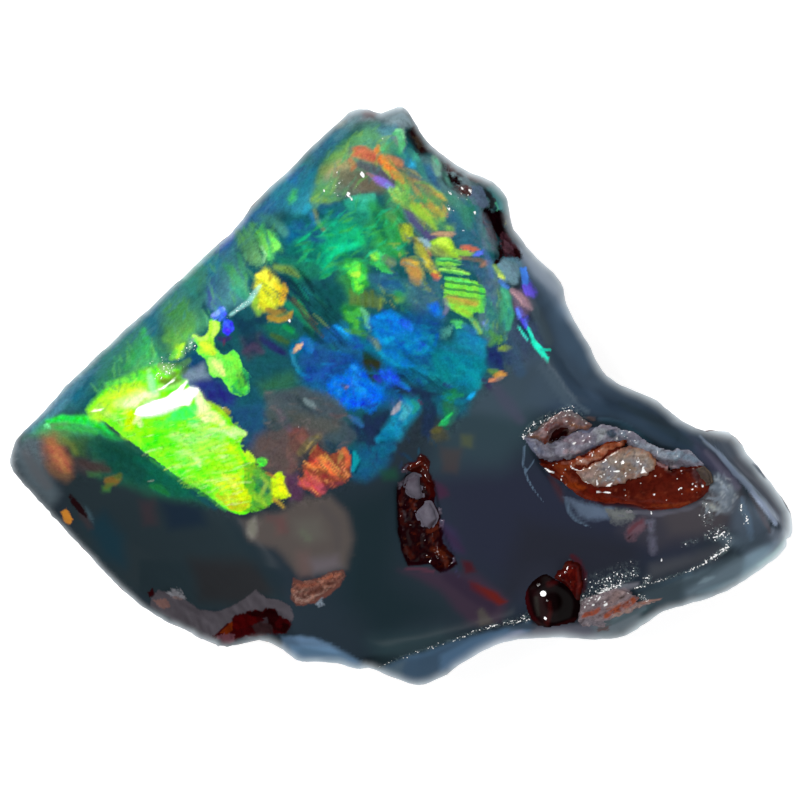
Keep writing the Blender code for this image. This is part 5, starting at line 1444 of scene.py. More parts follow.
brush = {  # how the small dabs vary, by chance
    "seed": 17,
    "tries": 8,  # places tried for each dab
    "half": (0.3, 0.75),  # half length, as a share of the length given
    "width": (0.5, 1.4),
    "ends": (0.3, 0.2),  # width at either end, as a share of the middle
    "bend": 0.25,
    "strength": (0.5, 1.3),
    "soft": 1.8,
}
farOff = 30.0  # in squares, well outside every outline
lap = 0.5  # how far outside its outline a patch covers the ones before it
seam = 3.0  # how deep the edge counts where two patches meet


def coverage(spots, shape, soft):  # 1 inside a shape and 0 outside, over a soft edge
    return smooth(reachInto(spots, shape, margin=soft + 2) / soft + 0.5)


def laySoft(layers, spots, code, strength, soft, shape):  # a soft patch of colour over the others
    share = strength * coverage(spots, shape, soft)
    near = np.flatnonzero(share)
    for colors in layers:
        colors[near] += share[near, None] * (linear(code) - colors[near])


def paintWashes(spots):
    colors = np.tile(linear(potchColor), (len(spots), 1))
    for wash in washes:
        laySoft([colors], spots, *wash)
    return colors


def paintPatches(spots):  # their colours, the squares inside their edges and how ragged those are
    colors = np.zeros((len(spots), 3))
    edge = np.full(len(spots), -farOff)
    ragged = np.ones(len(spots))
    for code, rough, shape in patches:
        reach = reachInto(spots, shape, margin=farOff)
        # A later patch lies over an earlier one wherever it reaches.
        covers = reach > -lap
        wins = (reach > edge) | covers
        colors[wins] = linear(code)
        ragged[wins] = rough
        edge = np.maximum(reach, np.where(covers, np.minimum(edge, seam), edge))
    return colors, edge, ragged


def layDabs(layers, spots, zones):
    dice = np.random.default_rng(brush["seed"])
    for codes, many, long, wide, angle, spread, strength, shape in zones:
        corners = np.array(shape, float)
        tries = dice.uniform(corners.min(0), corners.max(0), (many * brush["tries"], 2))
        middles = tries[reachInto(tries, shape) > -1][:many]
        zone = np.flatnonzero(reachInto(spots, shape) > -long)
        here = [colors[zone] for colors in layers]
        for middle in middles:
            turn = math.radians(angle + dice.normal() * spread)
            half = np.array([math.cos(turn), math.sin(turn)]) * long * dice.uniform(*brush["half"])
            width = wide * dice.uniform(*brush["width"])
            bend = np.array([-half[1], half[0]]) * dice.uniform(-brush["bend"], brush["bend"])
            first, last = (width * share for share in brush["ends"])
            dab = [(*(middle - half), first), (*(middle + bend), width), (*(middle + half), last)]
            code = codes[dice.integers(len(codes))]
            share = min(strength * dice.uniform(*brush["strength"]), 1)
            laySoft(here, spots[zone], code, share, brush["soft"], dab)
        for colors, part in zip(layers, here):
            colors[zone] = part


def flankColors(places):
    inMm = places / mm
    often, shift, by = flank["cloud"]
    shade = smooth(0.5 + by * noiseAt(inMm, often, shift))[:, None]
    colors = np.tile(linear(flank["potch"]), (len(places), 1))
    colors += shade * (linear(flank["deep"]) - colors)
    low, fade = flank["barLow"]
    bar = smooth((inMm[:, 2] - low) / fade) * (inMm[:, 0] < flank["barEnd"])
    start, apart = flank["flashStart"]
    for turn, code in enumerate(flank["flashes"]):
        layers = noiseAt(inMm * (1, 1, flank["flat"]), flank["flashSize"], start + apart * turn)
        share = smooth((layers - flank["rare"]) * flank["firm"]) * bar
        colors += share[:, None] * (linear(code) - colors)
    return colors

# The stone.

stone = {
    "voxel": 0.25,  # mm
    # Outward push in mm by bearing in degrees from +X.
    "swell": [
        (-180, -0.08), (-177, 0.05), (-174, 0.2), (-168, 0.18), (-164, 0.24), (-158, 0.2), (-144, 0.22),
        (-140, 0.24), (-136, 0.08), (-130, 0.18), (-127.5, 0.32), (-125, 0.2), (-123, 0.02), (-118, 0),
        (-114, 0.16), (-109, 0.08), (-104, 0), (-100, 0.06), (-98, -0.1), (-95, -0.04), (-90, 0.1),
        (-86, 0.18), (-78, 0.08), (-72, 0.03), (-54, 0), (-48, 0.18), (-44, 0.24), (-36, 0.04), (-30, 0.16),
        (-28, 0.22), (-24, 0.12), (-16, 0.14), (-13, 0.12), (-6, 0), (-2, 0.06), (0, -0.08), (2, 0.04),
        (4, 0.16), (6, 0.14), (12, -0.06), (18, 0), (22, 0.07), (30, 0.07), (36, 0.05), (39, 0.14),
        (42, 0.13), (48, 0.07), (56, 0.04), (60, 0), (63, 0.1), (64.5, 0.18), (68, 0.07), (74, 0.02),
        (82, 0.06), (86, 0.04), (90, 0.2), (92.5, 0.02), (94, -0.05), (96, 0.12), (98, 0.2), (101, 0.08),
        (104, 0.1), (107, 0.06), (112, 0), (128, -0.03), (134, 0), (140, 0.1), (146, 0.04), (150, 0.08),
        (156, 0.1), (162, 0.15), (170, 0.14), (174, 0.08), (177, 0), (180, -0.08),
    ],
    "sides": (0.9, 0.4),  # and the upward slope that the push starts at, and over how much
    "middle": (400, 420),  # of the outline on the sheet
    "lower": 0.85,  # mm from the origin down to that middle
    "bearings": 240,  # how many the outline is read at
    # Painted light: the thin edge painted paler, for light through it from the bright floor: bearing on the
    # sheet in degrees, strength and squares.
    "glowCode": "e4eef4",
    "glow": [
        (0, 0.85, 13), (8, 1.3, 15), (18, 1.35, 15), (30, 0.95, 12), (45, 0.78, 12), (60, 0.8, 13),
        (75, 0.66, 12), (95, 0.66, 10), (105, 0.5, 9), (120, 0.64, 10), (135, 0.66, 9), (150, 0.58, 8),
        (165, 0.47, 8), (180, 0.62, 9), (195, 0.62, 9), (210, 0.45, 8), (240, 0.46, 8), (255, 0.56, 9),
        (266, 0.6, 10), (274, 0.85, 10), (285, 0.85, 12), (300, 0.75, 12), (315, 0.6, 10), (345, 0.64, 11),
        (360, 0.85, 13),
    ],
    "glowFade": 2.2,
    "glowMost": 0.95,
    "glowLow": 2.0,  # where it ends on the sides, in mm up, in a line as uneven as these lumps:
    "glowLine": ((0.9, 1.2, 71.0), (3.0, 0.4, 73.0)),  # per mm, height in mm, start of the pattern
    "glowSoft": 0.4,  # mm, at that line
    "glowUnder": 0.12,  # how far it turns down round the edge
    "settle": 4,
    "fineSettle": 3,
    "cutFrom": (0.2, 2.0),  # least upward slope, and height in mm, of the faces that are cut
    "smoothFrom": (0.15, 1.8),
    "grit": ((2.2, 0.035, 31.0), (5.0, 0.02, 37.0)),  # lumps of the raw sides, as for the glow's line
    "gritFrom": 0.5,  # mm up, so that the ground back stays flat
    "reliefFrom": (0.02, 0.3),  # the upward slope it starts at, and over how much
    "faceFrom": (-0.02, 0.12),  # the same for the face
    "within": (7, 5, -0.1, 2),  # squares in from the edge, over how many, least slope and height in mm
    "rawWear": 0.9,
    # How often per mm, and by how many squares, the colours wander: the washes, and shares of it.
    "wander": ((0.6, 2.4), (2.2, 1.2), (5.0, 0.7)),
    "patchWander": 0.4,
    "strokeWander": 0.7,
    "dabWander": 0.5,
    "bevelPaintedShade": 0.42,  # painted shade: the bevels' colours are darkened against the stronger light that falls on them
    "bevelFrom": (0.92, 0.35),  # the upward slope it starts at, and over how much
    "polish": (0.06, 0.88, 0.1),  # gloss of the sides, upward slope that more starts at, and over how much
    "glitterSoft": 4,  # squares
    "zoneSoft": 6,
    # How many cuts the mesh gets in each zone, besides one everywhere on the face.
    "fineZones": [
        (3, [
            (30, 440), (60, 392), (150, 305), (240, 225), (345, 112), (405, 112), (440, 160), (492, 190),
            (520, 250), (550, 350), (505, 390), (460, 440), (380, 480), (330, 510), (230, 520), (60, 480),
        ]),
        (2, [(515, 405), (735, 405), (740, 560), (640, 620), (515, 640), (510, 560)]),
        (2, [(385, 445), (465, 445), (520, 620), (460, 620), (385, 580)]),
        (2, [(730, 478), (748, 476), (794, 528), (786, 542), (764, 530), (738, 500)]),
        (2, [(140, 570), (360, 560), (360, 610), (300, 650), (140, 650)]),
    ],
}


def evenMesh(piece, voxel, settle):  # an even mesh of this voxel size in mm, smoothed a little
    even = piece.modifiers.new("even", "REMESH")
    even.mode = "VOXEL"
    even.voxel_size = voxel * mm
    soft = piece.modifiers.new("soft", "SMOOTH")
    soft.factor = 0.5
    soft.iterations = settle
    graph = bpy.context.evaluated_depsgraph_get()
    made = bpy.data.meshes.new_from_object(piece.evaluated_get(graph))
    piece.modifiers.clear()
    piece.data = made


def newPiece(name, bm):
    mesh = bpy.data.meshes.new(name)
    bm.to_mesh(mesh)
    bm.free()
    piece = bpy.data.objects.new(name, mesh)
    bpy.context.scene.collection.objects.link(piece)
    return piece


def meshPlaces(mesh):
    found = np.empty(len(mesh.vertices) * 3)
    mesh.vertices.foreach_get("co", found)
    return found.reshape(-1, 3)


def meshNormals(mesh):
    found = np.empty(len(mesh.vertices) * 3)
    mesh.vertex_normals.foreach_get("vector", found)
    return found.reshape(-1, 3)


def movePlaces(mesh, places):
    mesh.vertices.foreach_set("co", places.ravel())
    mesh.update()


def noiseSum(inMm, lumps):  # several sizes of noise: how often per mm, height, start of the pattern
    return sum(high * noiseAt(inMm, often, shift) for often, high, shift in lumps)


def addValues(mesh, name, values):
    layer = mesh.attributes.new(name, "FLOAT", "POINT")
    layer.data.foreach_set("value", np.asarray(values, np.float32))


def addColors(mesh, name, colors):
    layer = mesh.attributes.new(name, "FLOAT_COLOR", "POINT")
    full = np.concatenate([colors, np.ones((len(colors), 1))], 1)
    layer.data.foreach_set("color", full.astype(np.float32).ravel())


def cutFace(bm):  # a finer mesh where the face needs it
    bm.faces.ensure_lookup_table()
    slope, low = stone["cutFrom"]
    middles = np.array([part.calc_center_median() for part in bm.faces])
    upward = np.array([part.normal.z > slope for part in bm.faces]) & (middles[:, 2] > low * mm)
    spots = toSheet(middles)
    cuts = upward.astype(int)
    for many, shape in stone["fineZones"]:
        cuts = np.where(upward & (reachInto(spots, shape) > 0), np.maximum(cuts, many), cuts)
    chosen = {}
    for part, many in zip(bm.faces, cuts):
        for edge in part.edges:
            chosen[edge] = max(chosen.get(edge, 0), int(many))
    for many in range(1, max(chosen.values()) + 1):
        edges = [edge for edge, count in chosen.items() if count == many]
        bmesh.ops.subdivide_edges(bm, edges=edges, cuts=many, use_grid_fill=True)
    bmesh.ops.triangulate(bm, faces=[part for part in bm.faces if len(part.verts) > 4])


def shapeStone():
    bm = bmesh.new()
    bm.from_mesh(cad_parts["rough_opal"].data)
    bmesh.ops.remove_doubles(bm, verts=bm.verts, dist=1e-6)
    piece = newPiece("opalStone", bm)
    evenMesh(piece, stone["voxel"], stone["settle"])
    bm = bmesh.new()
    bm.from_mesh(piece.data)
    bm.normal_update()
    cutFace(bm)
    bm.normal_update()
    slope, low = stone["smoothFrom"]
    fine = [vert for vert in bm.verts if vert.normal.z > slope and vert.co.z > low * mm]
    axes = {"use_axis_x": True, "use_axis_y": True, "use_axis_z": True}
    for _ in range(stone["fineSettle"]):
        bmesh.ops.smooth_vert(bm, verts=fine, factor=0.5, **axes)
    bearings, pushes = zip(*stone["swell"])
    steep, fade = stone["sides"]
    for vert in bm.verts:  # the outline, pushed out or in a little
        flat = Vector((vert.co.x, vert.co.y + stone["lower"] * mm, 0))
        push = np.interp(math.degrees(math.atan2(flat.y, flat.x)), bearings, pushes)
        side = smooth((steep - abs(vert.normal.z)) / fade) * smooth(vert.co.z / mm)
        vert.co += flat.normalized() * (push * side * mm)
    bm.to_mesh(piece.data)
    bm.free()
    return piece


def carveStone(piece):  # hollows, lumps and wear; returns the wear
    mesh = piece.data
    places = meshPlaces(mesh)
    normals = meshNormals(mesh)
    spots = toSheet(places)
    slope, fade = stone["reliefFrom"]
    up = smooth((normals[:, 2] - slope) / fade)
    inMm = places / mm
    lump = {}
    drop = np.zeros(len(places))
    wear = np.zeros(len(places))
    for depth, soft, high, often, worn, shape in reliefs:
        share = coverage(spots, shape, soft) * up
        if often not in lump:
            lump[often] = noiseSum(inMm, ((often, 1, often), (often * 2.3, 0.5, often + 5)))
        drop += share * (depth - high * lump[often])
        wear = np.maximum(wear, share * worn)
    raw = 1 - up
    above = smooth(inMm[:, 2] / stone["gritFrom"])
    grit = raw * above * noiseSum(inMm, stone["grit"])
    places += normals * (grit[:, None] * mm)
    places[:, 2] -= drop * mm
    movePlaces(mesh, places)
    return np.maximum(wear, raw * stone["rawWear"])


def bearingsOf(spots):  # bearing in degrees and distance from the middle of the outline
    away = spots - stone["middle"]
    return np.degrees(np.arctan2(away[:, 1], away[:, 0])) % 360, np.hypot(away[:, 0], away[:, 1])


def outlineSeen(spots):  # the stone's outline on the sheet
    bearing, far = bearingsOf(spots)
    step = 360 / stone["bearings"]
    reach = np.zeros(stone["bearings"])
    np.maximum.at(reach, (bearing / step).astype(int), far)
    turn = np.radians((np.arange(stone["bearings"]) + 0.5) * step)
    return stone["middle"] + np.stack([np.cos(turn), np.sin(turn)], 1) * reach[:, None]


def paintedEdgeLight(spots, inMm, normals, rim):  # painted light: a pale edge for the light through the thin edge
    bearing = bearingsOf(spots)[0]
    turns, strengths, widths = zip(*stone["glow"])
    strength = np.interp(bearing, turns, strengths)
    wide = np.interp(bearing, turns, widths)
    glow = strength * np.clip(1 - rim / wide, 0, 1) ** stone["glowFade"]
    glow *= smooth(normals[:, 2] / stone["glowUnder"] + 1)
    line = stone["glowLow"] - noiseSum(inMm, stone["glowLine"])
    glow *= smooth((inMm[:, 2] - line) / stone["glowSoft"])
    return np.minimum(glow, stone["glowMost"])[:, None]


def faceShare(inMm, normals, rim):  # 1 on the rubbed face, 0 on the raw sides
    start, fade = stone["faceFrom"]
    up = smooth((normals[:, 2] - start) / fade)
    deep, over, slope, low = stone["within"]
    inner = smooth((rim - deep) / over) * (normals[:, 2] > slope) * (inMm[:, 2] > low)
    return np.maximum(up, inner)


def zoneShare(spots, shape, soft):  # as coverage, but reaching a little past the shape
    return smooth(reachInto(spots, shape) / soft + 0.6)


def paintStone(piece, wear):
    mesh = piece.data
    places = meshPlaces(mesh)
    normals = meshNormals(mesh)
    spots = toSheet(places)
    inMm = places / mm
    rim = reachInto(spots, outlineSeen(spots), margin=2)
    up = faceShare(inMm, normals, rim)
    ways = [[(*lump, shift) for lump in stone["wander"]] for shift in (41.0, 57.0)]
    wander = np.stack([noiseSum(inMm, lumps) for lumps in ways], 1)
    under = paintWashes(spots + wander)
    over, edge, ragged = paintPatches(spots + stone["patchWander"] * wander)
    for stroke in strokes:
        laySoft([under, over], spots + stone["strokeWander"] * wander, *stroke)
    layDabs([under, over], spots + stone["dabWander"] * wander, dabZones)
    # Painted shade on the bevels, darker the steeper they slope.
    slope, fade = stone["bevelFrom"]
    shade = (1 - stone["bevelPaintedShade"] * smooth((slope - normals[:, 2]) / fade))[:, None]
    under *= shade
    over *= shade
    # Painted light and shade by zone, with colour corrections.
    for kept, soft, shape in tintsAndPaintedLight:
        light = 1 + coverage(spots, shape, soft)[:, None] * (np.array(kept) - 1)
        under *= light
        over *= light
    under = under * up[:, None] + flankColors(places) * (1 - up)[:, None]
    # Painted light: the edge painted paler, as if lit through from the floor.
    glow = paintedEdgeLight(spots, inMm, normals, rim)
    for colors in (under, over):
        colors += glow * (linear(stone["glowCode"]) - colors)
    addColors(mesh, "washes", under)
    addColors(mesh, "patches", over)
    addValues(mesh, "patchEdge", edge - farOff * (1 - up))
    addValues(mesh, "ragged", ragged)
    addValues(mesh, "wear", wear)
    addValues(mesh, "face", up)
    least, slope, fade = stone["polish"]
    addValues(mesh, "polish", least + (1 - least) * smooth((normals[:, 2] - slope) / fade))
    # Painted highlights: white glints along chipped edges and at single chips.
    shine = np.zeros(len(spots))
    for strength, line in paintedGlitter:
        shine = np.maximum(shine, strength * zoneShare(spots, line, stone["glitterSoft"]))
    addValues(mesh, "paintedGlitter", shine * up)
    glintChips = np.full(len(spots), -farOff)
    for across, down, wide in paintedGlintChips:
        dot = [(across, down - wide * 0.3, wide), (across + wide * 0.3, down + wide * 0.3, wide * 0.7)]
        glintChips = np.maximum(glintChips, reachInto(spots, dot, margin=10))
    addValues(mesh, "glintChips", glintChips)
    for name, shapes in grainZones.items():
        zone = np.max([zoneShare(spots, shape, stone["zoneSoft"]) for shape in shapes], axis=0)
        addValues(mesh, name, zone * up)

# Materials.


class Wire:  # a socket that adds, scales and compares as a number does
    def __init__(self, nodes, socket):
        self.nodes = nodes
        self.socket = socket

    def math(self, operation, first, second=None, clamp=False):
        inputs = {0: first} if second is None else {0: first, 1: second}
        return self.nodes.node("ShaderNodeMath", {"operation": operation, "use_clamp": clamp}, inputs)

    def __add__(self, other):
        return self.math("ADD", self, other)

    __radd__ = __add__

    def __sub__(self, other):
        return self.math("SUBTRACT", self, other)

    def __rsub__(self, other):
        return self.math("SUBTRACT", other, self)

    def __mul__(self, other):
        return self.math("MULTIPLY", self, other)

    __rmul__ = __mul__

    def __truediv__(self, other):
        return self.math("DIVIDE", self, other)

    def over(self, other):  # the larger of the two
        return self.math("MAXIMUM", self, other)

    def sine(self):
        return self.math("SINE", self)

    def held(self):  # kept from 0 to 1
        return self.math("ADD", self, 0.0, clamp=True)


class Nodes:  # the nodes of one tree
    def __init__(self, tree):
        self.tree = tree

    def node(self, kind, settings=None, inputs=None, out=0):
        made = self.tree.nodes.new(kind)
        for name, value in (settings or {}).items():
            setattr(made, name, value)
        for key, value in (inputs or {}).items():
            if isinstance(value, Wire):
                self.tree.links.new(value.socket, made.inputs[key])
            else:
                made.inputs[key].default_value = value
        return Wire(self, made.outputs[out])

    def step(self, value, low, high, start=0.0, end=1.0):  # start below low, end above high
        settings = {"interpolation_type": "SMOOTHSTEP"}
        return self.node("ShaderNodeMapRange", settings, {0: value, 1: low, 2: high, 3: start, 4: end})


class Paint(Nodes):  # one material and its nodes
    def __init__(self, name, **fixed):
        self.material = bpy.data.materials.new(name)
        self.material.use_nodes = True
        super().__init__(self.material.node_tree)
        self.shader = self.tree.nodes["Principled BSDF"]
        for socket, value in fixed.items():
            self.shader.inputs[socket.replace("_", " ")].default_value = value

    def place(self):  # the place on the piece, in mm
        spot = self.node("ShaderNodeTexCoord", out=3)
        return self.node("ShaderNodeVectorMath", {"operation": "SCALE"}, {0: spot, 3: 1000.0})

    def turned(self, place, angle, stretch=(1.0, 1.0, 1.0)):
        inputs = {0: place, 2: (0, 0, math.radians(angle))}
        turn = self.node("ShaderNodeMapping", {"vector_type": "POINT"}, inputs)
        return self.node("ShaderNodeVectorMath", {"operation": "MULTIPLY"}, {0: turn, 1: stretch})

    def lines(self, place, drawn, flat=1.0, detail=3.0, rough=0.6, shift=0.0):  # noise drawn out into lines
        angle, thin, often = drawn
        stretched = self.turned(place, angle, (flat, thin, 1.0))
        return self.noise(stretched, often, detail=detail, rough=rough, shift=shift)

    def noise(self, place, often, detail=2.0, rough=0.5, shift=0.0):
        settings = {"noise_dimensions": "4D"}
        inputs = {"Vector": place, "W": shift, "Scale": often, "Detail": detail, "Roughness": rough}
        return self.node("ShaderNodeTexNoise", settings, inputs)

    def value(self, name):
        return self.node("ShaderNodeAttribute", {"attribute_name": name}, out=2)

    def color(self, name):
        return self.node("ShaderNodeAttribute", {"attribute_name": name})

    def mix(self, share, first, second, blend="MIX"):
        if not isinstance(first, Wire):
            first = (*linear(first), 1)
        if not isinstance(second, Wire):
            second = (*linear(second), 1)
        settings = {"data_type": "RGBA", "blend_type": blend}
        return self.node("ShaderNodeMix", settings, {0: share, 6: first, 7: second}, out=2)

    def shifted(self, color, hue, value):  # turned in hue, scaled in value
        return self.node("ShaderNodeHueSaturation", None, {"Hue": hue, "Value": value, "Color": color})

    def bump(self, height, strength, distance):
        inputs = {"Strength": strength, "Distance": distance * mm, "Height": height}
        return self.node("ShaderNodeBump", None, inputs)

    def feed(self, **links):
        for socket, wire in links.items():
            self.tree.links.new(wire.socket, self.shader.inputs[socket.replace("_", " ")])
        return self.material


opal = {
    "raggedBy": (4.5, 2.5),  # squares that the coarse and the fine noise shift a ragged edge
    "soft": (0.5, 0.7, 3.0),  # squares of softness: of every edge, of ragged ones, of hazy ones
    # Fine lines, turned by an angle and drawn out: angle, how thin, per mm.
    "rising": (-17, 6.5, 1.3),
    "falling": (42, 7.0, 1.2),
    "scratches": (62, 30.0, 1.0),
    "darkLines": "0c2830",
    "greenLines": "3ad818",
    "paleLines": "f4ffc0",
    "bars": "1c6a48",
    "barTurn": 8,
    "barsPerMm": 28.0,  # in radians
    "hueBy": 0.09,  # how far the colours flicker in hue, and in strength by coarse and fine noise
    "valueBy": (1.4, 0.3),
    "frost": "a8c4c4",
    "skinFrom": 0.50,  # noise above which the sides have their ironstone skin, and their clay
    "clayFrom": 0.60,
    "rough": 0.06,
    "bump": (0.35, 0.03),  # strength, and height in mm
}


def opalMaterial():
    paint = Paint("opal", IOR=1.45, Specular_IOR_Level=0.0, Coat_IOR=1.5, Coat_Roughness=0.03)
    place = paint.place()
    coarse = paint.noise(place, 4.0, detail=3.0) - 0.5
    fine = paint.noise(place, 13.0, shift=3.0) - 0.5
    # Fine lines run up to the right through the lime, and down to the right elsewhere.
    rising = paint.lines(place, opal["rising"])
    falling = paint.lines(place, opal["falling"], shift=5.0)
    color = paint.color("washes")
    inBlue = paint.value("fallingLines")
    color = paint.mix(paint.step(falling, 0.45, 0.62) * inBlue * 0.35, color, opal["darkLines"])
    # Crisp patches, with ragged edges.
    ragged = paint.value("ragged")
    coarseBy, fineBy = opal["raggedBy"]
    edge = paint.value("patchEdge") + ragged * (coarse * coarseBy + fine * fineBy)
    inLime = paint.value("risingLines")
    green = inLime * paint.step(rising, 0.36, 0.66) * 0.3
    patch = paint.mix(green, paint.color("patches"), opal["greenLines"])
    patch = paint.mix(inLime * paint.step(rising, 0.56, 0.76) * 0.4, patch, opal["paleLines"])
    # Dark bars across the barred patch.
    across = paint.node("ShaderNodeSeparateXYZ", None, {0: paint.turned(place, opal["barTurn"])}, out=1)
    wave = (across * opal["barsPerMm"] + coarse * 4.0).sine()
    patch = paint.mix(paint.value("bars") * paint.step(wave, 0.1, 0.7) * 0.7, patch, opal["bars"])
    always, byRagged, byHaze = opal["soft"]
    soft = always + ragged * byRagged + paint.value("hazy") * byHaze
    color = paint.mix(paint.step(edge / soft, -1.0, 1.0), color, patch)
    # The colours flicker in hue and strength.
    play = paint.value("play")
    flicker = paint.noise(place, 6.5, detail=4.0, rough=0.75, shift=9.0) - 0.5
    byFlicker, byFine = opal["valueBy"]
    hue = 0.5 + play * coarse * opal["hueBy"]
    color = paint.shifted(color, hue, 1.0 + play * (flicker * byFlicker + fine * byFine))
    # Raw sides: potch streaked with a paler one, then an ironstone skin with bits of clay.
    side = 1.0 - paint.value("face")
    bedded = paint.turned(place, 20, (0.45, 0.45, 1.6))
    layers = paint.noise(bedded, 1.3, detail=5.0, rough=0.65, shift=31.0)
    spread = paint.noise(place, 0.42, detail=7.0, rough=0.66, shift=35.0)
    color = paint.mix(side * paint.step(layers, 0.44, 0.60) * 0.75, color, flank["streak"])
    skin = paint.step(spread, opal["skinFrom"], opal["skinFrom"] + 0.03)
    color = paint.mix(side * skin, color, flank["skin"])
    color = paint.mix(side * skin * paint.step(layers, 0.40, 0.62) * 0.8, color, flank["crust"])
    clay = paint.step(spread + coarse * 0.2, opal["clayFrom"], opal["clayFrom"] + 0.025)
    color = paint.mix(side * clay * 0.85, color, flank["clay"])
    # Painted highlights: chipped spots get white glints painted on, over a pale frost.
    sugar = paint.noise(place, 14.0, detail=1.0, rough=0.6, shift=21.0)
    here = paint.value("paintedGlitter")
    paintedSpark = paint.step(sugar + here * 0.25 - 0.74, 0.0, 0.05) * paint.step(here, 0.02, 0.1)
    cloud = paint.noise(place, 9.0, detail=3.0, rough=0.7, shift=25.0)
    color = paint.mix(paint.step(cloud, 0.42, 0.62) * here * 0.2, color, opal["frost"])
    glintChip = paint.step(paint.value("glintChips") + fine * 2.0, -0.4, 0.4)
    paintedSpark = paintedSpark.over(glintChip)
    color = paint.mix(paintedSpark * paint.value("face"), color, "ffffff")
    wear = paint.value("wear")
    rough = opal["rough"] + wear * 0.5 + paintedSpark * 0.15
    scratch = paint.lines(place, opal["scratches"], flat=0.6, detail=2.0, rough=0.5, shift=13.0)
    height = scratch * 0.06 + wear * (coarse * 3.0 + fine * 2.0) + side * (layers * 3.0 + skin * 1.5)
    # Only the polished face has its full gloss.
    gloss = paint.value("polish") * (1.0 - paintedSpark) * (1.0 - paint.value("dull")) * paint.step(wear, 0.5, 0.1)
    bump = paint.bump(height, *opal["bump"])
    return paint.feed(Base_Color=color, Roughness=rough.held(), Coat_Weight=gloss, Normal=bump)


minerals = {  # wet or raw, and mottled with a darker colour
    "iron": {
        "name": "ironstone", "mottle": "2c0806", "often": 5.0, "strength": 0.5,
        "rough": 0.35, "bumps": 0.04, "gloss": 0.25, "coatIor": 1.5,
    },
    "bead": {
        "name": "blackBead", "mottle": "060102", "often": 2.0, "strength": 0.3,
        "rough": 0.3, "bumps": 0.0005, "gloss": 1.0, "coatIor": 1.2,
    },
    "pale": {
        "name": "paleRock", "mottle": "3c343c", "often": 7.0, "strength": 0.5,
        "rough": 0.4, "bumps": 0.05, "gloss": 0.3, "coatIor": 1.5,
    },
    "grain": {
        "name": "greyGrain", "mottle": "4c4650", "often": 4.0, "strength": 0.3,
        "rough": 0.5, "bumps": 0.02, "gloss": 0.0, "coatIor": 1.5,
    },
    "rust": {
        "name": "rustyRock", "mottle": "341f1a", "often": 9.0, "strength": 0.6,
        "rough": 0.6, "bumps": 0.05, "gloss": 0.0, "coatIor": 1.5,
    },
}


def mineralMaterial(name, mottle, often, strength, rough, bumps, gloss, coatIor):
    paint = Paint(name, IOR=1.5, Specular_IOR_Level=0.0, Coat_IOR=coatIor, Coat_Roughness=0.04)
    place = paint.place()
    cloud = paint.noise(place, often, detail=4.0, rough=0.65)
    tone = paint.color("tone")
    tone = paint.mix(paint.step(cloud, 0.42, 0.68) * strength, tone, mottle)
    # White flecks and glints painted on as highlights.
    highlightFleck = paint.step(paint.value("highlightFlecks") + cloud, 0.0, 0.6)
    tone = paint.mix(highlightFleck, tone, "ffffff")
    dull = rough + paint.step(cloud, 0.4, 0.7) * 0.12
    lumps = paint.noise(place, often * 1.6, detail=3.0, shift=4.0)
    shine = paint.value("polish") * gloss
    bump = paint.bump(lumps, 0.6, bumps)
    return paint.feed(Base_Color=tone, Roughness=dull, Coat_Weight=shine, Normal=bump)

# Stone pieces set in the face: a pad is a domed piece filling an outline, a grain is one rounded lump.

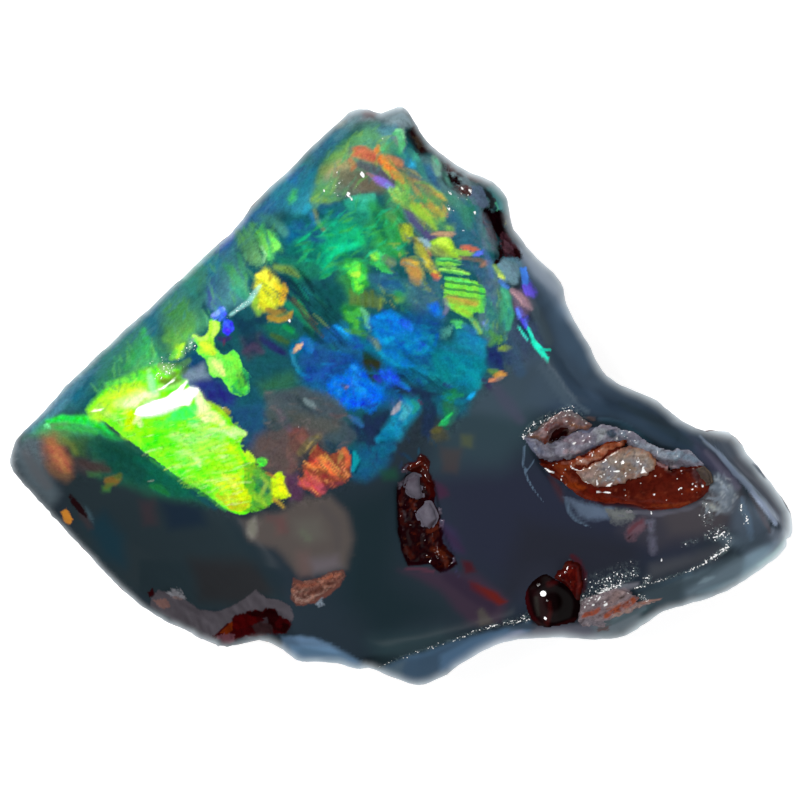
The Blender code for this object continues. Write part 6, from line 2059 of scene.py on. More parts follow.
pads = {
    "ironBody": {
        "shape": [
            (537, 458), (541, 462), (547, 464), (553, 462), (558, 462), (564, 460), (570, 459), (577, 458),
            (586, 454), (597, 450), (608, 447), (620, 446), (632, 449), (644, 454), (655, 459), (662, 463),
            (668, 465), (667, 471), (673, 471), (680, 468), (690, 467), (697, 464), (704, 467), (710, 474),
            (712, 483), (708, 491), (703, 498), (696, 502), (688, 506), (678, 509), (664, 510), (650, 510),
            (640, 508), (630, 505), (618, 503), (604, 504), (594, 502), (585, 500), (577, 496), (570, 490),
            (563, 484), (557, 478), (552, 475), (546, 472), (540, 465),
        ],
        "high": 0.10, "round": 6, "lump": 0.05, "often": 3.0, "sink": 0.05, "level": 6.28, "fray": 0.8,
        "material": "iron",
        "dabs": [
            (("3c0c06", "602010", "6c2c18", "4c1008", "300804"), 190, 7, 2.2, 10, 50, 0.45),
            (("240604", "84402c"), 60, 3, 1.2, 10, 80, 0.5),
        ],
        "ground": "541a10",
        "tones": [
            ("5c1a0c", 0.9, 5, [(540, 464, 5), (552, 468, 8), (560, 474, 6)]),
            ("702408", 0.9, 4, [(558, 464, 4), (566, 466, 10), (574, 464, 5)]),
            ("843c1c", 0.85, 4, [(556, 466, 3), (562, 468, 5), (572, 466, 4)]),
            ("9c6454", 0.7, 2, [(562, 463, 2), (570, 462, 2.4), (577, 461, 2)]),
            ("80341c", 0.8, 5, [(562, 472, 8), (570, 480, 8), (576, 488, 6)]),
            ("8c3812", 0.9, 3, [(566, 484, 3), (576, 486, 6), (584, 488, 4)]),
            ("6c2010", 0.8, 5, [(584, 494, 6), (600, 499, 6), (616, 499, 5)]),
            ("5c1008", 0.8, 3, [(592, 491, 5), (606, 491, 4)]),
            ("420e08", 0.85, 6, [(616, 494, 6), (624, 488, 12), (632, 490, 10)]),
            ("4c140c", 0.8, 6, [(640, 486, 12), (660, 478, 12), (690, 474, 8)]),
            ("380a06", 0.85, 4, [(668, 474, 6), (684, 471, 6), (698, 469, 6)]),
            ("5c1c10", 0.8, 6, [(650, 500, 12), (676, 500, 12), (694, 494, 8)]),
            ("6c2410", 0.7, 3, [(688, 490, 5), (700, 488, 5), (706, 482, 4)]),
            ("50383a", 0.85, 4, [(695, 472, 6), (697, 478, 7), (701, 484, 4)]),
            ("7c3418", 0.8, 2, [(652, 506, 2), (672, 506, 3), (690, 502, 2.4)]),
            ("b0888a", 0.9, 2.5, [(654, 460, 2), (662, 464, 4), (669, 467, 4), (675, 468, 2)]),
            ("8c685c", 0.7, 2, [(666, 469, 3), (671, 471, 2)]),
            ("34100c", 0.9, 1.5, [(640, 491, 3), (644, 495, 2)]),
            ("783020", 0.6, 2, [(610, 502, 2), (630, 503, 3), (640, 506, 2)]),
            ("2c0804", 0.8, 1.5, [(538, 460, 2), (546, 470, 3), (556, 477, 3)]),
        ],
        # painted highlights: drawn-out white glints here, and white flecks below
        "highlightGlints": [
            [(544.5, 468.5, 1), (548.5, 471, 2), (554.5, 472.8, 1)],
            [(570, 464.6, 1), (572, 467.6, 1.3), (575, 470, 1)],
            [(575, 470, 0.8), (579, 471.4, 1.3), (583, 470.4, 1.2)],
            [(597, 492, 2), (602, 492.4, 0.8), (606, 492, 1.8), (610.6, 492.8, 1.2)],
            [(560, 480.6, 1), (561, 482.6, 1.4)], [(565.6, 486.4, 1.8), (568.4, 489.4, 1.2)],
            [(566, 493, 1.4), (568, 495.4, 1.4), (570, 497.4, 1)],
        ],
        "highlightFlecks": [
            (654.4, 476.2, 1.5), (653.8, 494.2, 2.2), (681, 487.4, 1.8), (678.6, 489, 1.1),
            (701.6, 485.6, 2.2), (695, 486, 1.4), (692, 489, 1.7), (692, 484, 1.1), (682, 493.4, 0.8),
            (676.6, 478, 0.9), (539.6, 464, 1.4), (553, 466, 0.8), (557, 463.4, 1.3), (562.6, 459.8, 1.4),
            (568, 458.4, 1), (565, 468.6, 0.8), (563, 472, 0.9), (562, 476, 1), (561, 479, 1.1),
            (567, 484, 1), (666, 501, 1), (624.6, 490, 0.8), (625, 494.6, 0.8), (696, 492, 0.6),
            (626, 500, 0.7), (640, 482, 0.6),
        ],
    },
    "ironStreak": {
        "shape": [
            (566, 464), (572, 460), (580, 458), (585, 456), (589, 453), (595, 450), (602, 446), (609, 443),
            (616, 441), (628, 439), (624, 446), (616, 448), (610, 451), (603, 455), (597, 459), (591, 463),
            (585, 467), (578, 468), (572, 469),
        ],
        "high": 0.04, "round": 8, "lump": 0.07, "often": 5.5, "sink": 0.03, "level": 6.37, "fray": 2.4,
        "material": "iron", "edge": ("7c3014", 0.7, 3),
        "dabs": [(("b46840", "742810", "a08070", "8c3418", "c08468"), 60, 5, 1.8, 30, 30, 0.6)],
        "ground": "88543c",
        "tones": [
            ("94583c", 0.85, 3, [(596, 449, 4), (608, 446, 6), (620, 443, 4)]),
            ("742810", 0.8, 3, [(566, 463, 4), (580, 460, 5), (590, 454, 3)]),
            ("98786c", 0.85, 3, [(580, 463, 5), (588, 461, 6), (597, 456, 3)]),
            ("b49488", 0.8, 1.5, [(581, 461, 2), (584, 463, 3), (590, 462, 2)]),
            ("702410", 0.8, 1.5, [(592, 460, 2), (600, 455, 2.4), (608, 450, 2)]),
            ("8c2c10", 0.7, 1.5, [(584, 456, 2), (590, 451, 3), (596, 450, 2)]),
            ("b86c48", 0.6, 1.2, [(604, 448, 2), (612, 446, 2), (620, 443, 1.5)]),
            ("a8785c", 0.6, 1.5, [(600, 458, 2), (606, 454, 2)]),
        ],
        "highlightFlecks": [
            (582, 462.4, 2.4), (580.4, 461, 1.4), (585, 459.8, 1), (593, 453.6, 1.2), (591, 449.8, 1),
            (597, 449, 0.8), (604, 457.6, 1.2), (602, 461.4, 1.2), (604, 460.4, 1), (609, 447, 1),
            (627.6, 442.8, 1.5), (592, 452, 0.7), (588, 454, 0.7), (617, 444, 0.7),
        ],
    },
    "paleHeart": {
        "shape": [
            (583, 468), (590, 465), (598, 459), (606, 455), (614, 451), (622, 447), (630, 445), (638, 446),
            (646, 450), (652, 456), (656, 463), (655, 468), (650, 473), (643, 477), (634, 479), (627, 480),
            (622, 484), (614, 487), (604, 487), (594, 485), (586, 483), (580, 480), (575, 475), (577, 471),
        ],
        "high": 0.06, "round": 12, "lump": 0.07, "often": 4.0, "sink": 0.02, "level": 6.39, "fray": 2.4,
        "material": "pale", "edge": ("94604c", 0.6, 5),
        "dabs": [
            (("a89c90", "6c645c", "94786c", "787c84", "5c5450", "8c7058"), 150, 6, 2.4, 20, 60, 0.5),
            (("c4bcb4", "48444c", "a06848"), 60, 3, 1.3, 20, 80, 0.6),
        ],
        "ground": "84766c",
        "tones": [
            ("947e6c", 0.9, 6, [(616, 454, 8), (634, 450, 8), (648, 458, 8)]),
            ("8c8c90", 0.8, 4, [(630, 462, 5), (640, 466, 10), (636, 474, 6)]),
            ("7c7c84", 0.9, 5, [(602, 462, 6), (612, 472, 12), (606, 480, 6)]),
            ("a08880", 0.9, 4, [(580, 474, 5), (590, 472, 7), (598, 470, 5)]),
            ("987060", 0.9, 2.5, [(590, 466, 3), (600, 461, 3), (610, 455, 2)]),
            ("5c5c64", 0.8, 2.5, [(596, 468, 2), (604, 470, 4), (610, 466, 3)]),
            ("6c645c", 0.8, 2, [(618, 466, 3), (624, 472, 3), (622, 478, 2)]),
            ("a46c40", 0.9, 3, [(650, 455, 3), (654, 460, 4), (654, 467, 3)]),
            ("645058", 0.8, 3, [(586, 484, 4), (598, 486, 5), (614, 485, 4)]),
            ("50484c", 0.7, 1.5, [(584, 482, 2), (594, 486, 2), (604, 485, 2)]),
            ("8098b4", 0.9, 1.5, [(618, 480, 2), (621, 484, 3)]),
            ("a8b4bc", 0.8, 1, [(607, 478, 2), (613, 481, 2)]),
            ("6c4838", 0.8, 1.5, [(624, 470, 1.5), (626, 476, 1.5)]),
            ("6c4c38", 0.6, 2, [(608, 455, 1.5), (620, 450, 2), (630, 446, 1.5)]),
            ("b0a094", 0.7, 1.5, [(628, 455, 2), (634, 453, 2), (645, 456, 2)]),
            ("a89c90", 0.7, 1.5, [(646, 464, 3), (650, 468, 2)]),
            ("8c6858", 0.7, 2, [(576, 474, 2), (582, 480, 3)]),
        ],
        "highlightGlints": [
            [(636, 461.4, 1.6), (639, 463, 1)], [(640.6, 467, 1.4), (642, 470.6, 1.3)],
            [(642.6, 471, 1.4), (643, 473.6, 1)], [(587.4, 479.6, 1.2), (588.6, 482.6, 1.6)],
            [(589, 483, 1), (592, 482.8, 1)], [(596.4, 479.6, 1), (596, 483.4, 1.4)],
            [(605, 487.4, 1.2), (609, 486.4, 1.6), (612.6, 484, 0.8)], [(602, 461.8, 1), (606, 460, 0.8)],
            [(616, 471.8, 1), (618, 471.4, 1)],
        ],
        "highlightFlecks": [
            (605, 458, 1.3), (630, 456.6, 1.4), (637.4, 457, 0.8), (638.4, 458.8, 1.3), (625.6, 477, 2),
            (626.6, 475, 0.9), (631.6, 479.4, 1), (636, 474.6, 0.8), (648, 469.6, 1.4), (632, 463.6, 0.8),
            (629, 471.6, 0.7), (637, 471.6, 1), (641, 474, 0.9), (601.6, 476.6, 0.9), (598, 464.4, 0.9),
            (606, 466, 0.9), (609.6, 466.4, 1), (611, 463, 0.7), (609, 470, 0.8), (612, 472, 0.7),
            (615, 470.6, 1), (605.6, 471.6, 0.8), (605.6, 479.6, 1), (607, 481.4, 1), (610, 478, 0.7),
            (604, 475, 0.6), (594, 475, 0.7), (578, 476.6, 1), (580, 480.4, 0.9), (584, 477, 0.7),
            (621.6, 484, 1), (633, 467, 0.6), (644, 463, 0.6), (620, 462, 0.6), (614, 461, 0.6),
        ],
    },
    "paleLip": {
        "shape": [
            (522, 438), (530, 440), (540, 442), (550, 443), (556, 440), (562, 436), (570, 433), (578, 431),
            (588, 431), (592, 427), (600, 424), (608, 423), (618, 426), (626, 430), (636, 433), (644, 438),
            (652, 444), (660, 448), (672, 449), (688, 449), (697, 456), (706, 467), (697, 466), (690, 468),
            (680, 468), (671, 470), (660, 466), (652, 460), (644, 454), (636, 450), (628, 446), (627, 441),
            (616, 441), (606, 442), (596, 446), (588, 450), (584, 455), (576, 458), (564, 460), (552, 462),
            (541, 461), (534, 455), (530, 446),
        ],
        "high": 0.09, "round": 9, "lump": 0.09, "often": 4.2, "sink": 0.02, "fray": 2.2, "material": "pale",
        "dabs": [
            (("8c8c98", "b0b4bc", "5c5c6c", "7c7c88", "747c8c"), 170, 7, 2.4, 15, 40, 0.55),
            (("d0d4dc", "4c5060"), 50, 4, 1.2, 20, 50, 0.5),
        ],
        "ground": "7e7c8a",
        "tones": [
            ("6c7288", 0.9, 4, [(526, 442, 3), (534, 448, 6), (542, 454, 5)]),
            ("82808e", 0.8, 5, [(548, 450, 6), (562, 454, 7), (574, 453, 4)]),
            ("bca0a6", 0.8, 4, [(566, 452, 5), (580, 453, 5)]),
            ("8c7884", 0.9, 4, [(564, 440, 6), (576, 438, 10), (586, 440, 8)]),
            ("5c5468", 0.8, 2, [(560, 438, 3), (572, 433, 3), (584, 433, 2)]),
            ("8c8490", 0.8, 2, [(574, 436, 4), (580, 434, 4)]),
            ("84707c", 0.7, 2, [(582, 444, 4), (588, 438, 3)]),
            ("a0a6ac", 0.9, 4, [(594, 430, 5), (600, 434, 9), (598, 442, 5)]),
            ("a0a8ac", 0.8, 2, [(596, 429, 3), (603, 430, 4), (600, 438, 4)]),
            ("38505f", 0.95, 3, [(607, 432, 5), (615, 435, 7), (620, 439, 3)]),
            ("2c4054", 0.9, 2, [(609, 430, 3), (615, 434, 3)]),
            ("5c7484", 0.8, 2, [(620, 430, 3), (626, 434, 5), (628, 438, 3)]),
            ("8e9aa8", 0.9, 4, [(634, 440, 5), (645, 446, 7), (660, 453, 7), (676, 456, 8)]),
            ("98a4b0", 0.7, 2, [(640, 442, 2), (652, 449, 3), (664, 452, 3)]),
            ("6c8090", 0.9, 3, [(672, 454, 6), (684, 456, 8), (696, 460, 6)]),
            ("8098a8", 0.7, 2, [(668, 452, 3), (680, 452, 3), (674, 460, 4)]),
            ("ac989e", 0.9, 2.5, [(652, 457, 3), (664, 464, 4), (676, 467, 2)]),
            ("4c3c40", 0.7, 2, [(543, 442, 3), (548, 445, 4)]),
        ],
        "highlightGlints": [[(572, 443.4, 1), (574.6, 442, 1.4), (577, 441, 0.8)]],
        "highlightFlecks": [
            (617.4, 438, 1.9), (619, 436, 0.9), (624, 432.4, 1.2), (626, 434.6, 0.8), (628.4, 437, 1.6),
            (630, 432, 1), (618, 429.4, 0.9), (582.4, 440, 1.6), (587.6, 437, 1.5), (577.6, 432.2, 1.1),
            (630, 446, 1.1), (550, 454, 0.7), (564, 449, 0.6), (625, 430, 0.7), (622, 436, 0.7),
            (630, 441, 0.8), (676, 455, 0.7), (672, 459, 0.6), (684, 455, 0.6),
        ],
    },
    "rustyCorner": {
        "shape": [
            (525, 438), (530, 434), (538, 430), (544, 424), (550, 418), (556, 414), (562, 411), (570, 409),
            (578, 412), (584, 419), (592, 424), (588, 430), (578, 430), (570, 433), (568, 428), (562, 429),
            (556, 430), (552, 436), (549, 441), (546, 446), (542, 442), (534, 440),
        ],
        "high": 0.13, "round": 5, "lump": 0.10, "often": 4.6, "sink": 0.04, "fray": 1.5, "material": "pale",
        "dabs": [(("94787a", "5c4444", "a0888a", "6c4c48", "787078"), 110, 5, 2, 30, 60, 0.5)],
        "ground": "745a58",
        "tones": [
            ("5c5c60", 0.9, 3, [(526, 437, 3), (536, 431, 4), (544, 425, 3)]),
            ("806a68", 0.9, 4, [(552, 420, 5), (562, 415, 7), (574, 414, 5)]),
            ("707070", 0.8, 3, [(566, 411, 4), (578, 415, 5), (584, 421, 4)]),
            ("683430", 0.9, 4, [(546, 430, 5), (552, 425, 6), (562, 424, 5)]),
            ("845c50", 0.8, 2, [(556, 422, 3), (566, 420, 3), (572, 421, 3)]),
            ("50302c", 0.9, 2, [(552, 429, 3), (558, 426, 3), (566, 427, 3)]),
            ("6c4c34", 0.8, 2, [(532, 438, 3), (540, 437, 4), (543, 443, 4)]),
            ("70301c", 0.9, 2, [(543, 440, 4), (546, 444, 3), (548, 437, 3)]),
            ("94603c", 0.9, 1.5, [(570, 425, 3), (580, 427, 4), (588, 426, 2)]),
            ("120404", 0.95, 1.2, [(581, 424.6, 1.6), (583.6, 422.4, 2)]),
            ("8c6c68", 0.8, 1.5, [(536, 436, 2), (541, 434, 2), (548, 421, 2)]),
            ("402020", 0.8, 1.5, [(548, 433, 2), (552, 431, 3)]),
        ],
        "highlightFlecks": [
            (532.6, 428, 2), (534, 426, 1.4), (547, 432, 1.5), (544.8, 436, 1.1), (543.4, 434, 0.9),
            (532, 433.6, 1.2), (527, 436, 1.4), (524, 438, 0.8), (538, 427, 0.8), (543.4, 420.6, 1.4),
            (545, 418, 1.2), (553, 416.6, 1), (557, 417.6, 1.2), (564, 417, 1), (566, 415, 1.2),
            (570, 415.4, 0.9), (575, 415.6, 0.9), (566.4, 422.2, 1.5), (569.6, 410.4, 1.6), (575, 411, 0.8),
            (579.6, 414.6, 1), (580.4, 419.4, 1.2), (586, 423, 1.4), (561, 420, 0.7), (552, 422, 0.7),
            (571, 419, 0.7), (578, 424, 0.8), (570, 426, 0.6),
        ],
    },
    "greyLens": {
        "shape": [(697, 470), (703, 468), (709, 474), (711, 482), (706, 484), (699, 480)],
        "high": 0.10, "round": 4, "lump": 0.02, "often": 4.0, "sink": -0.14, "material": "pale",
        "ground": "50463e",
        "tones": [],
    },
    "bead": {
        "shape": [
            (524, 599), (525, 592), (528, 586), (532, 581), (537, 577), (542, 574), (547, 573), (552, 576),
            (558, 580), (565, 584), (572, 589), (579, 597), (580, 606), (578, 616), (573, 622), (564, 623),
            (555, 625), (546, 626), (538, 625), (532, 619), (528, 611),
        ],
        "high": 0.10, "round": 7, "lump": 0.006, "often": 1.0, "sink": 0.04, "level": 7.0,
        "cap": (553, 602, 30, 0.52), "shine": (0.78, 0.86), "matt": [(537, 582, 8)], "material": "bead",
        "ground": "0c0405",
        "tones": [
            ("1c0a0c", 0.9, 6, [(532, 588, 4), (540, 600, 12), (544, 618, 8)]),
            ("34080c", 0.9, 4, [(526, 590, 3), (527, 602, 4), (531, 616, 5), (540, 626, 4)]),
            ("0c0202", 0.8, 3, [(532, 586, 5), (540, 580, 7), (546, 578, 6)]),
            # painted reflection: a dim grey streak down the bead's left side
            ("2a2824", 0.7, 3, [(536, 598, 4), (537, 608, 4), (538, 614, 3)]),
            ("34080a", 0.75, 4, [(549, 584, 6), (556, 582, 4)]),
            ("340c0c", 0.8, 3, [(549, 602, 3), (550, 612, 4), (546, 622, 5)]),
            ("241c1c", 0.7, 4, [(536, 622, 4), (544, 625, 4)]),
            ("040000", 0.95, 5, [(560, 590, 10), (566, 604, 18), (562, 616, 10)]),
            ("28080a", 0.7, 2, [(552, 626, 3), (562, 622, 3), (574, 618, 3)]),
        ],
    },
    "beadShoulder": {
        "shape": [
            (553, 578), (557, 572), (562, 568), (565, 563), (570, 561), (576, 562), (580, 567), (582, 575),
            (583, 583), (581, 590), (580, 599), (576, 602), (571, 597), (566, 590), (561, 584), (556, 581),
        ],
        "high": 0.18, "round": 7, "lump": 0.04, "often": 4.0, "sink": 0.02, "square": 0.7, "level": 7.16,
        "fray": 1.0, "material": "iron", "edge": ("28100c", 0.5, 3),
        "dabs": [(("5c1008", "280404", "6c1c10"), 50, 4, 1.8, 60, 60, 0.5)],
        "ground": "340605",
        "tones": [
            ("4c0c08", 0.8, 4, [(560, 574, 4), (568, 570, 6), (576, 572, 5)]),
            ("3c2c24", 0.8, 1.5, [(563, 566, 3), (566, 565, 2)]),
            ("540e08", 0.7, 3, [(578, 580, 5), (579, 592, 4)]),
            ("2c0404", 0.8, 3, [(562, 580, 4), (568, 584, 6), (572, 592, 6)]),
        ],
        "highlightFlecks": [(570, 581.4, 1.2), (565, 588, 0.7), (562, 583, 0.6), (572, 568, 0.6)],
    },
    "beadRock": {
        "shape": [
            (580, 601), (586, 597), (594, 594), (602, 593), (610, 589), (618, 588), (626, 590), (632, 594),
            (641, 597), (637, 602), (642, 604), (662, 599), (650, 605), (636, 611), (622, 616), (610, 621),
            (604, 628), (596, 628), (584, 627), (577, 621), (578, 610),
        ],
        "high": 0.08, "round": 6, "lump": 0.07, "often": 4.2, "sink": 0.04, "fray": 1.4, "material": "pale",
        "dabs": [(("a0949a", "746468", "8c7c80", "b0a4a8"), 90, 5, 2, 20, 50, 0.45)],
        "ground": "84767a",
        "tones": [
            ("94888c", 0.9, 4, [(584, 602, 5), (592, 600, 7), (600, 598, 4)]),
            ("8c7674", 0.9, 4, [(606, 602, 8), (616, 596, 9), (626, 592, 5)]),
            ("6c6064", 0.8, 3, [(592, 606, 3), (602, 602, 3), (610, 598, 3)]),
            ("9c4c34", 0.95, 2, [(584, 616, 4), (590, 613, 6), (597, 610, 4)]),
            ("a04c2c", 0.95, 2.5, [(605, 616, 5), (614, 612, 6), (624, 606, 8), (637, 598, 5)]),
            ("743420", 0.8, 1.5, [(618, 610, 2), (626, 603, 4), (632, 600, 2)]),
            ("342820", 0.9, 1.2, [(620, 598, 1.6), (624, 596, 1.6)]),
            ("747078", 0.8, 4, [(582, 622, 5), (596, 624, 6), (604, 622, 4)]),
            ("a08478", 0.85, 2, [(612, 618, 2), (626, 611, 4), (642, 605, 4), (660, 600, 1)]),
            ("a86c54", 0.7, 1.2, [(606, 609, 2), (616, 606, 2), (622, 602, 1.5)]),
            ("5c4848", 0.7, 2, [(598, 616, 2), (604, 612, 2)]),
            ("565860", 0.8, 2, [(634, 596, 3), (638, 600, 3)]),
        ],
        "highlightGlints": [
            [(603.6, 605.4, 1), (606, 603.6, 1.4), (606, 601.4, 0.8)],
            [(597.6, 600.6, 1.6), (600, 597, 1.2)],
        ],
        "highlightFlecks": [
            (585, 606.6, 1.9), (592.6, 604.4, 1.7), (595.6, 602.6, 1.2), (598, 599.6, 2.4), (596, 596, 1.4),
            (604.4, 601.8, 1.4), (589, 600, 1.6), (584.6, 598, 1), (628.6, 592.4, 1.7), (586, 602, 1),
            (591, 597.6, 1.2), (594, 599.6, 1), (588, 604, 0.8), (600.4, 604, 0.8), (580.6, 602, 1),
            (583, 604.6, 0.7),
        ],
    },
    "longIron": {
        "shape": [
            (396, 488), (400, 481), (404, 477), (412, 472), (420, 470), (425, 474), (431, 484), (434, 498),
            (439, 508), (441, 520), (442, 538), (448, 548), (455, 558), (456, 566), (448, 571), (440, 570),
            (430, 565), (418, 565), (407, 564), (401, 552), (398, 530), (396, 506),
        ],
        "high": 0.12, "round": 7, "lump": 0.045, "often": 4.2, "sink": 0.1, "fray": 1.2, "material": "iron",
        "dabs": [
            (("3c1410", "08000a", "581c0c", "2c080a"), 110, 5, 2, 70, 40, 0.5),
            (("5c4c50", "6c3820"), 26, 3, 1, 60, 60, 0.5),
        ],
        "ground": "150306",
        "tones": [
            ("34100c", 0.7, 3, [(402, 490, 3), (400, 506, 4), (403, 524, 4)]),
            ("441006", 0.8, 3, [(424, 478, 4), (430, 490, 4), (433, 500, 3)]),
            ("3c140c", 0.8, 3, [(406, 548, 5), (412, 556, 5), (406, 560, 3)]),
            ("4c1c0c", 0.85, 4, [(432, 548, 4), (442, 554, 7), (446, 564, 6)]),
            ("34100a", 0.8, 4, [(432, 538, 6), (440, 530, 6)]),
            ("582010", 0.8, 1.5, [(411, 500, 3), (414, 508, 4)]),
            ("542012", 0.8, 1.5, [(428, 531, 4), (436, 527, 4)]),
            ("50444c", 0.7, 1.5, [(400, 484, 4), (402, 480, 3)]),
            ("3c3438", 0.6, 1.2, [(404, 512, 2), (406, 520, 2)]),
        ],
        "highlightFlecks": [
            (441, 544, 1.2), (424.6, 541, 0.9), (411, 524, 0.6), (404, 506, 0.6), (452, 556, 1),
            (418, 553, 0.7), (427, 555, 0.7),
        ],
    },
    "upperGrain": {
        "shape": [
            (408, 478), (414, 474), (420, 476), (421, 486), (423, 497), (417, 499), (409, 494), (405, 486),
        ],
        "high": 0.14, "round": 5, "lump": 0.03, "often": 4.0, "sink": -0.02, "fray": 1.0,
        "material": "grain",
        "ground": "57535d",
        "tones": [
            ("48404a", 0.8, 3, [(410, 480, 4), (416, 478, 4)]),
            ("645f69", 0.7, 3, [(416, 490, 5), (412, 488, 4)]),
        ],
    },
    "lowerGrain": {
        "shape": [
            (425, 503), (430, 502), (434, 510), (437, 517), (434, 523), (430, 529), (424, 526), (419, 518),
            (416, 511),
        ],
        "high": 0.15, "round": 5, "lump": 0.03, "often": 4.0, "sink": -0.02, "fray": 1.0,
        "material": "grain",
        "ground": "5e5a65",
        "tones": [
            ("6c6872", 0.7, 3, [(426, 508, 4), (428, 516, 5)]),
            ("4c424a", 0.8, 2, [(430, 526, 4), (434, 520, 2)]),
        ],
    },
    "ironFlake": {
        "shape": [
            (404, 470), (410, 463), (416, 462), (420, 454), (426, 456), (430, 463), (428, 472), (432, 482),
            (427, 484), (421, 474), (412, 472),
        ],
        "high": 0.10, "round": 4, "lump": 0.04, "often": 5.0, "sink": 0.04, "fray": 1.0, "material": "iron",
        "ground": "340b06",
        "tones": [
            ("54160a", 0.7, 2, [(412, 466, 3), (420, 462, 4), (426, 468, 4)]),
        ],
    },
    "rustWedge": {
        "shape": [
            (292, 580), (302, 582), (314, 579), (326, 574), (334, 571), (344, 569), (346, 575), (341, 583),
            (333, 590), (324, 595), (312, 603), (300, 606), (292, 602), (289, 592),
        ],
        "high": 0.06, "round": 6, "lump": 0.05, "often": 5.2, "sink": 0.03, "fray": 1.6, "material": "rust",
        "edge": ("5c4844", 0.6, 3),
        "dabs": [(("94604c", "4c2c24", "a08074", "7c4838", "5c4038", "b07c68"), 150, 4, 1.5, 20, 60, 0.55)],
        "ground": "704c44",
        "tones": [
            ("7c4c40", 0.8, 3, [(300, 588, 4), (318, 582, 5), (336, 576, 5)]),
            ("4c2c26", 0.85, 2.5, [(304, 595, 3), (314, 591, 4), (326, 585, 4), (336, 581, 2)]),
            ("8c7068", 0.8, 2, [(296, 600, 3), (308, 600, 3), (322, 594, 2)]),
            ("584840", 0.7, 1.5, [(300, 592, 3), (308, 587, 3)]),
            ("a05c44", 0.7, 1.2, [(318, 579, 2), (328, 577, 2), (340, 573, 2)]),
            ("94503c", 0.6, 1.2, [(298, 584, 2), (306, 586, 2), (316, 584, 1.5)]),
            ("a08478", 0.6, 1, [(294, 596, 1.5), (303, 602, 1.5), (330, 588, 1)]),
        ],
    },
}

grains = {
    "longGrains": {
        "material": "pale",
        "sink": 0.04,
        # Middle across and down, width and length in squares, turn, height in mm, colour.
        "lumps": [
            (400, 484, 6, 5, 0, 0.07, "4c4854"), (404, 470, 5, 7, 40, 0.07, "443c48"),
            (440, 509, 4, 4, 0, 0.06, "504c5c"), (442, 521, 4, 6, 0, 0.06, "4c485c"),
            (454, 559, 3, 4, 0, 0.05, "484454"),
        ],
    },
    "looseCrumbs": {
        "material": "pale",
        "sink": 0.04,
        "lumps": [
            (632, 532, 10, 5, -50, 0.03, "584850"), (640, 524, 10, 6, -20, 0.03, "74545c"),
            (650, 525, 6, 9, 0, 0.04, "5c5868"), (653, 545, 5, 12, 10, 0.04, "505060"),
            (620, 517, 10, 5, 0, 0.03, "666a70"), (627, 513, 11, 6, -10, 0.04, "76767a"),
            (615, 513, 7, 5, 0, 0.03, "626874"), (570, 560, 4, 3, 0, 0.06, "3c4048"),
            (320, 604, 4, 7, 0, 0.05, "606c78"),
        ],
    },
}


def seat(across, down):  # where the camera's line through this square meets the stone
    start = fromSheet(across, down, sheet["above"])
    found = ground.ray_cast(start, (fromSheet(across, down, 0) - start).normalized())[0]
    return found if found is not None else fromSheet(across, down, sheet["level"])


def heightsUnder(places):
    heights = np.empty(len(places))
    for at, place in enumerate(places):
        found = ground.ray_cast(Vector((place[0], place[1], sheet["above"] * mm)), Vector((0, 0, -1)))[0]
        heights[at] = found.z if found is not None else 0.0
    return heights


def toneLayer(piece, spots, reach, given):
    colors = np.tile(linear(given["ground"]), (len(spots), 1))
    for tone in given["tones"]:
        laySoft([colors], spots, *tone)
    layDabs([colors], spots, [(*dabs, given["shape"]) for dabs in given.get("dabs", [])])
    if "edge" in given:  # the colour it takes on at its edge
        code, strength, wide = given["edge"]
        colors += strength * smooth(1 - reach / wide)[:, None] * (linear(code) - colors)
    addColors(piece.data, "tone", colors)


def widened(shape, by):  # an outline this many squares wider
    corners = np.array(shape, float)
    along = np.roll(corners, -1, axis=0) - np.roll(corners, 1, axis=0)
    out = np.stack([along[:, 1], -along[:, 0]], 1) / np.linalg.norm(along, axis=1)[:, None]
    after = np.roll(corners, -1, axis=0)
    turn = (corners[:, 0] * after[:, 1] - corners[:, 1] * after[:, 0]).sum()
    return corners + out * by * np.sign(turn)


padMesh = {
    "wider": 2.5,  # squares beyond the outline, where the pad is sunk in the stone
    "thick": 0.4,  # mm
    "voxel": 0.05,
    "settle": 3,
    "fray": ((2.6, 1.3), (6.5, 0.9)),  # how often per mm, and by how many squares, its edge wanders
    "skirt": 0.04,  # how far outside the outline drops, in mm
    "least": 0.05,  # mm, how high even its lowest parts stand over the stone
    "shine": (0.72, 0.92),  # how level the glossy parts are
    "highlightFleck": (0.85, 0.2),  # share of the width given that a painted highlight fleck has, and half its length
}


def padSlab(name, shape):  # an even slab with this outline, lying flat
    corners = [seat(*corner) for corner in widened(shape, padMesh["wider"])]
    bm = bmesh.new()
    outline = bm.faces.new([bm.verts.new((corner.x, corner.y, 0)) for corner in corners])
    grown = bmesh.ops.extrude_face_region(bm, geom=[outline])["geom"]
    risen = [part for part in grown if isinstance(part, bmesh.types.BMVert)]
    bmesh.ops.translate(bm, verts=risen, vec=(0, 0, padMesh["thick"] * mm))
    bmesh.ops.recalc_face_normals(bm, faces=bm.faces)
    piece = newPiece(name, bm)
    evenMesh(piece, padMesh["voxel"], padMesh["settle"])
    return piece


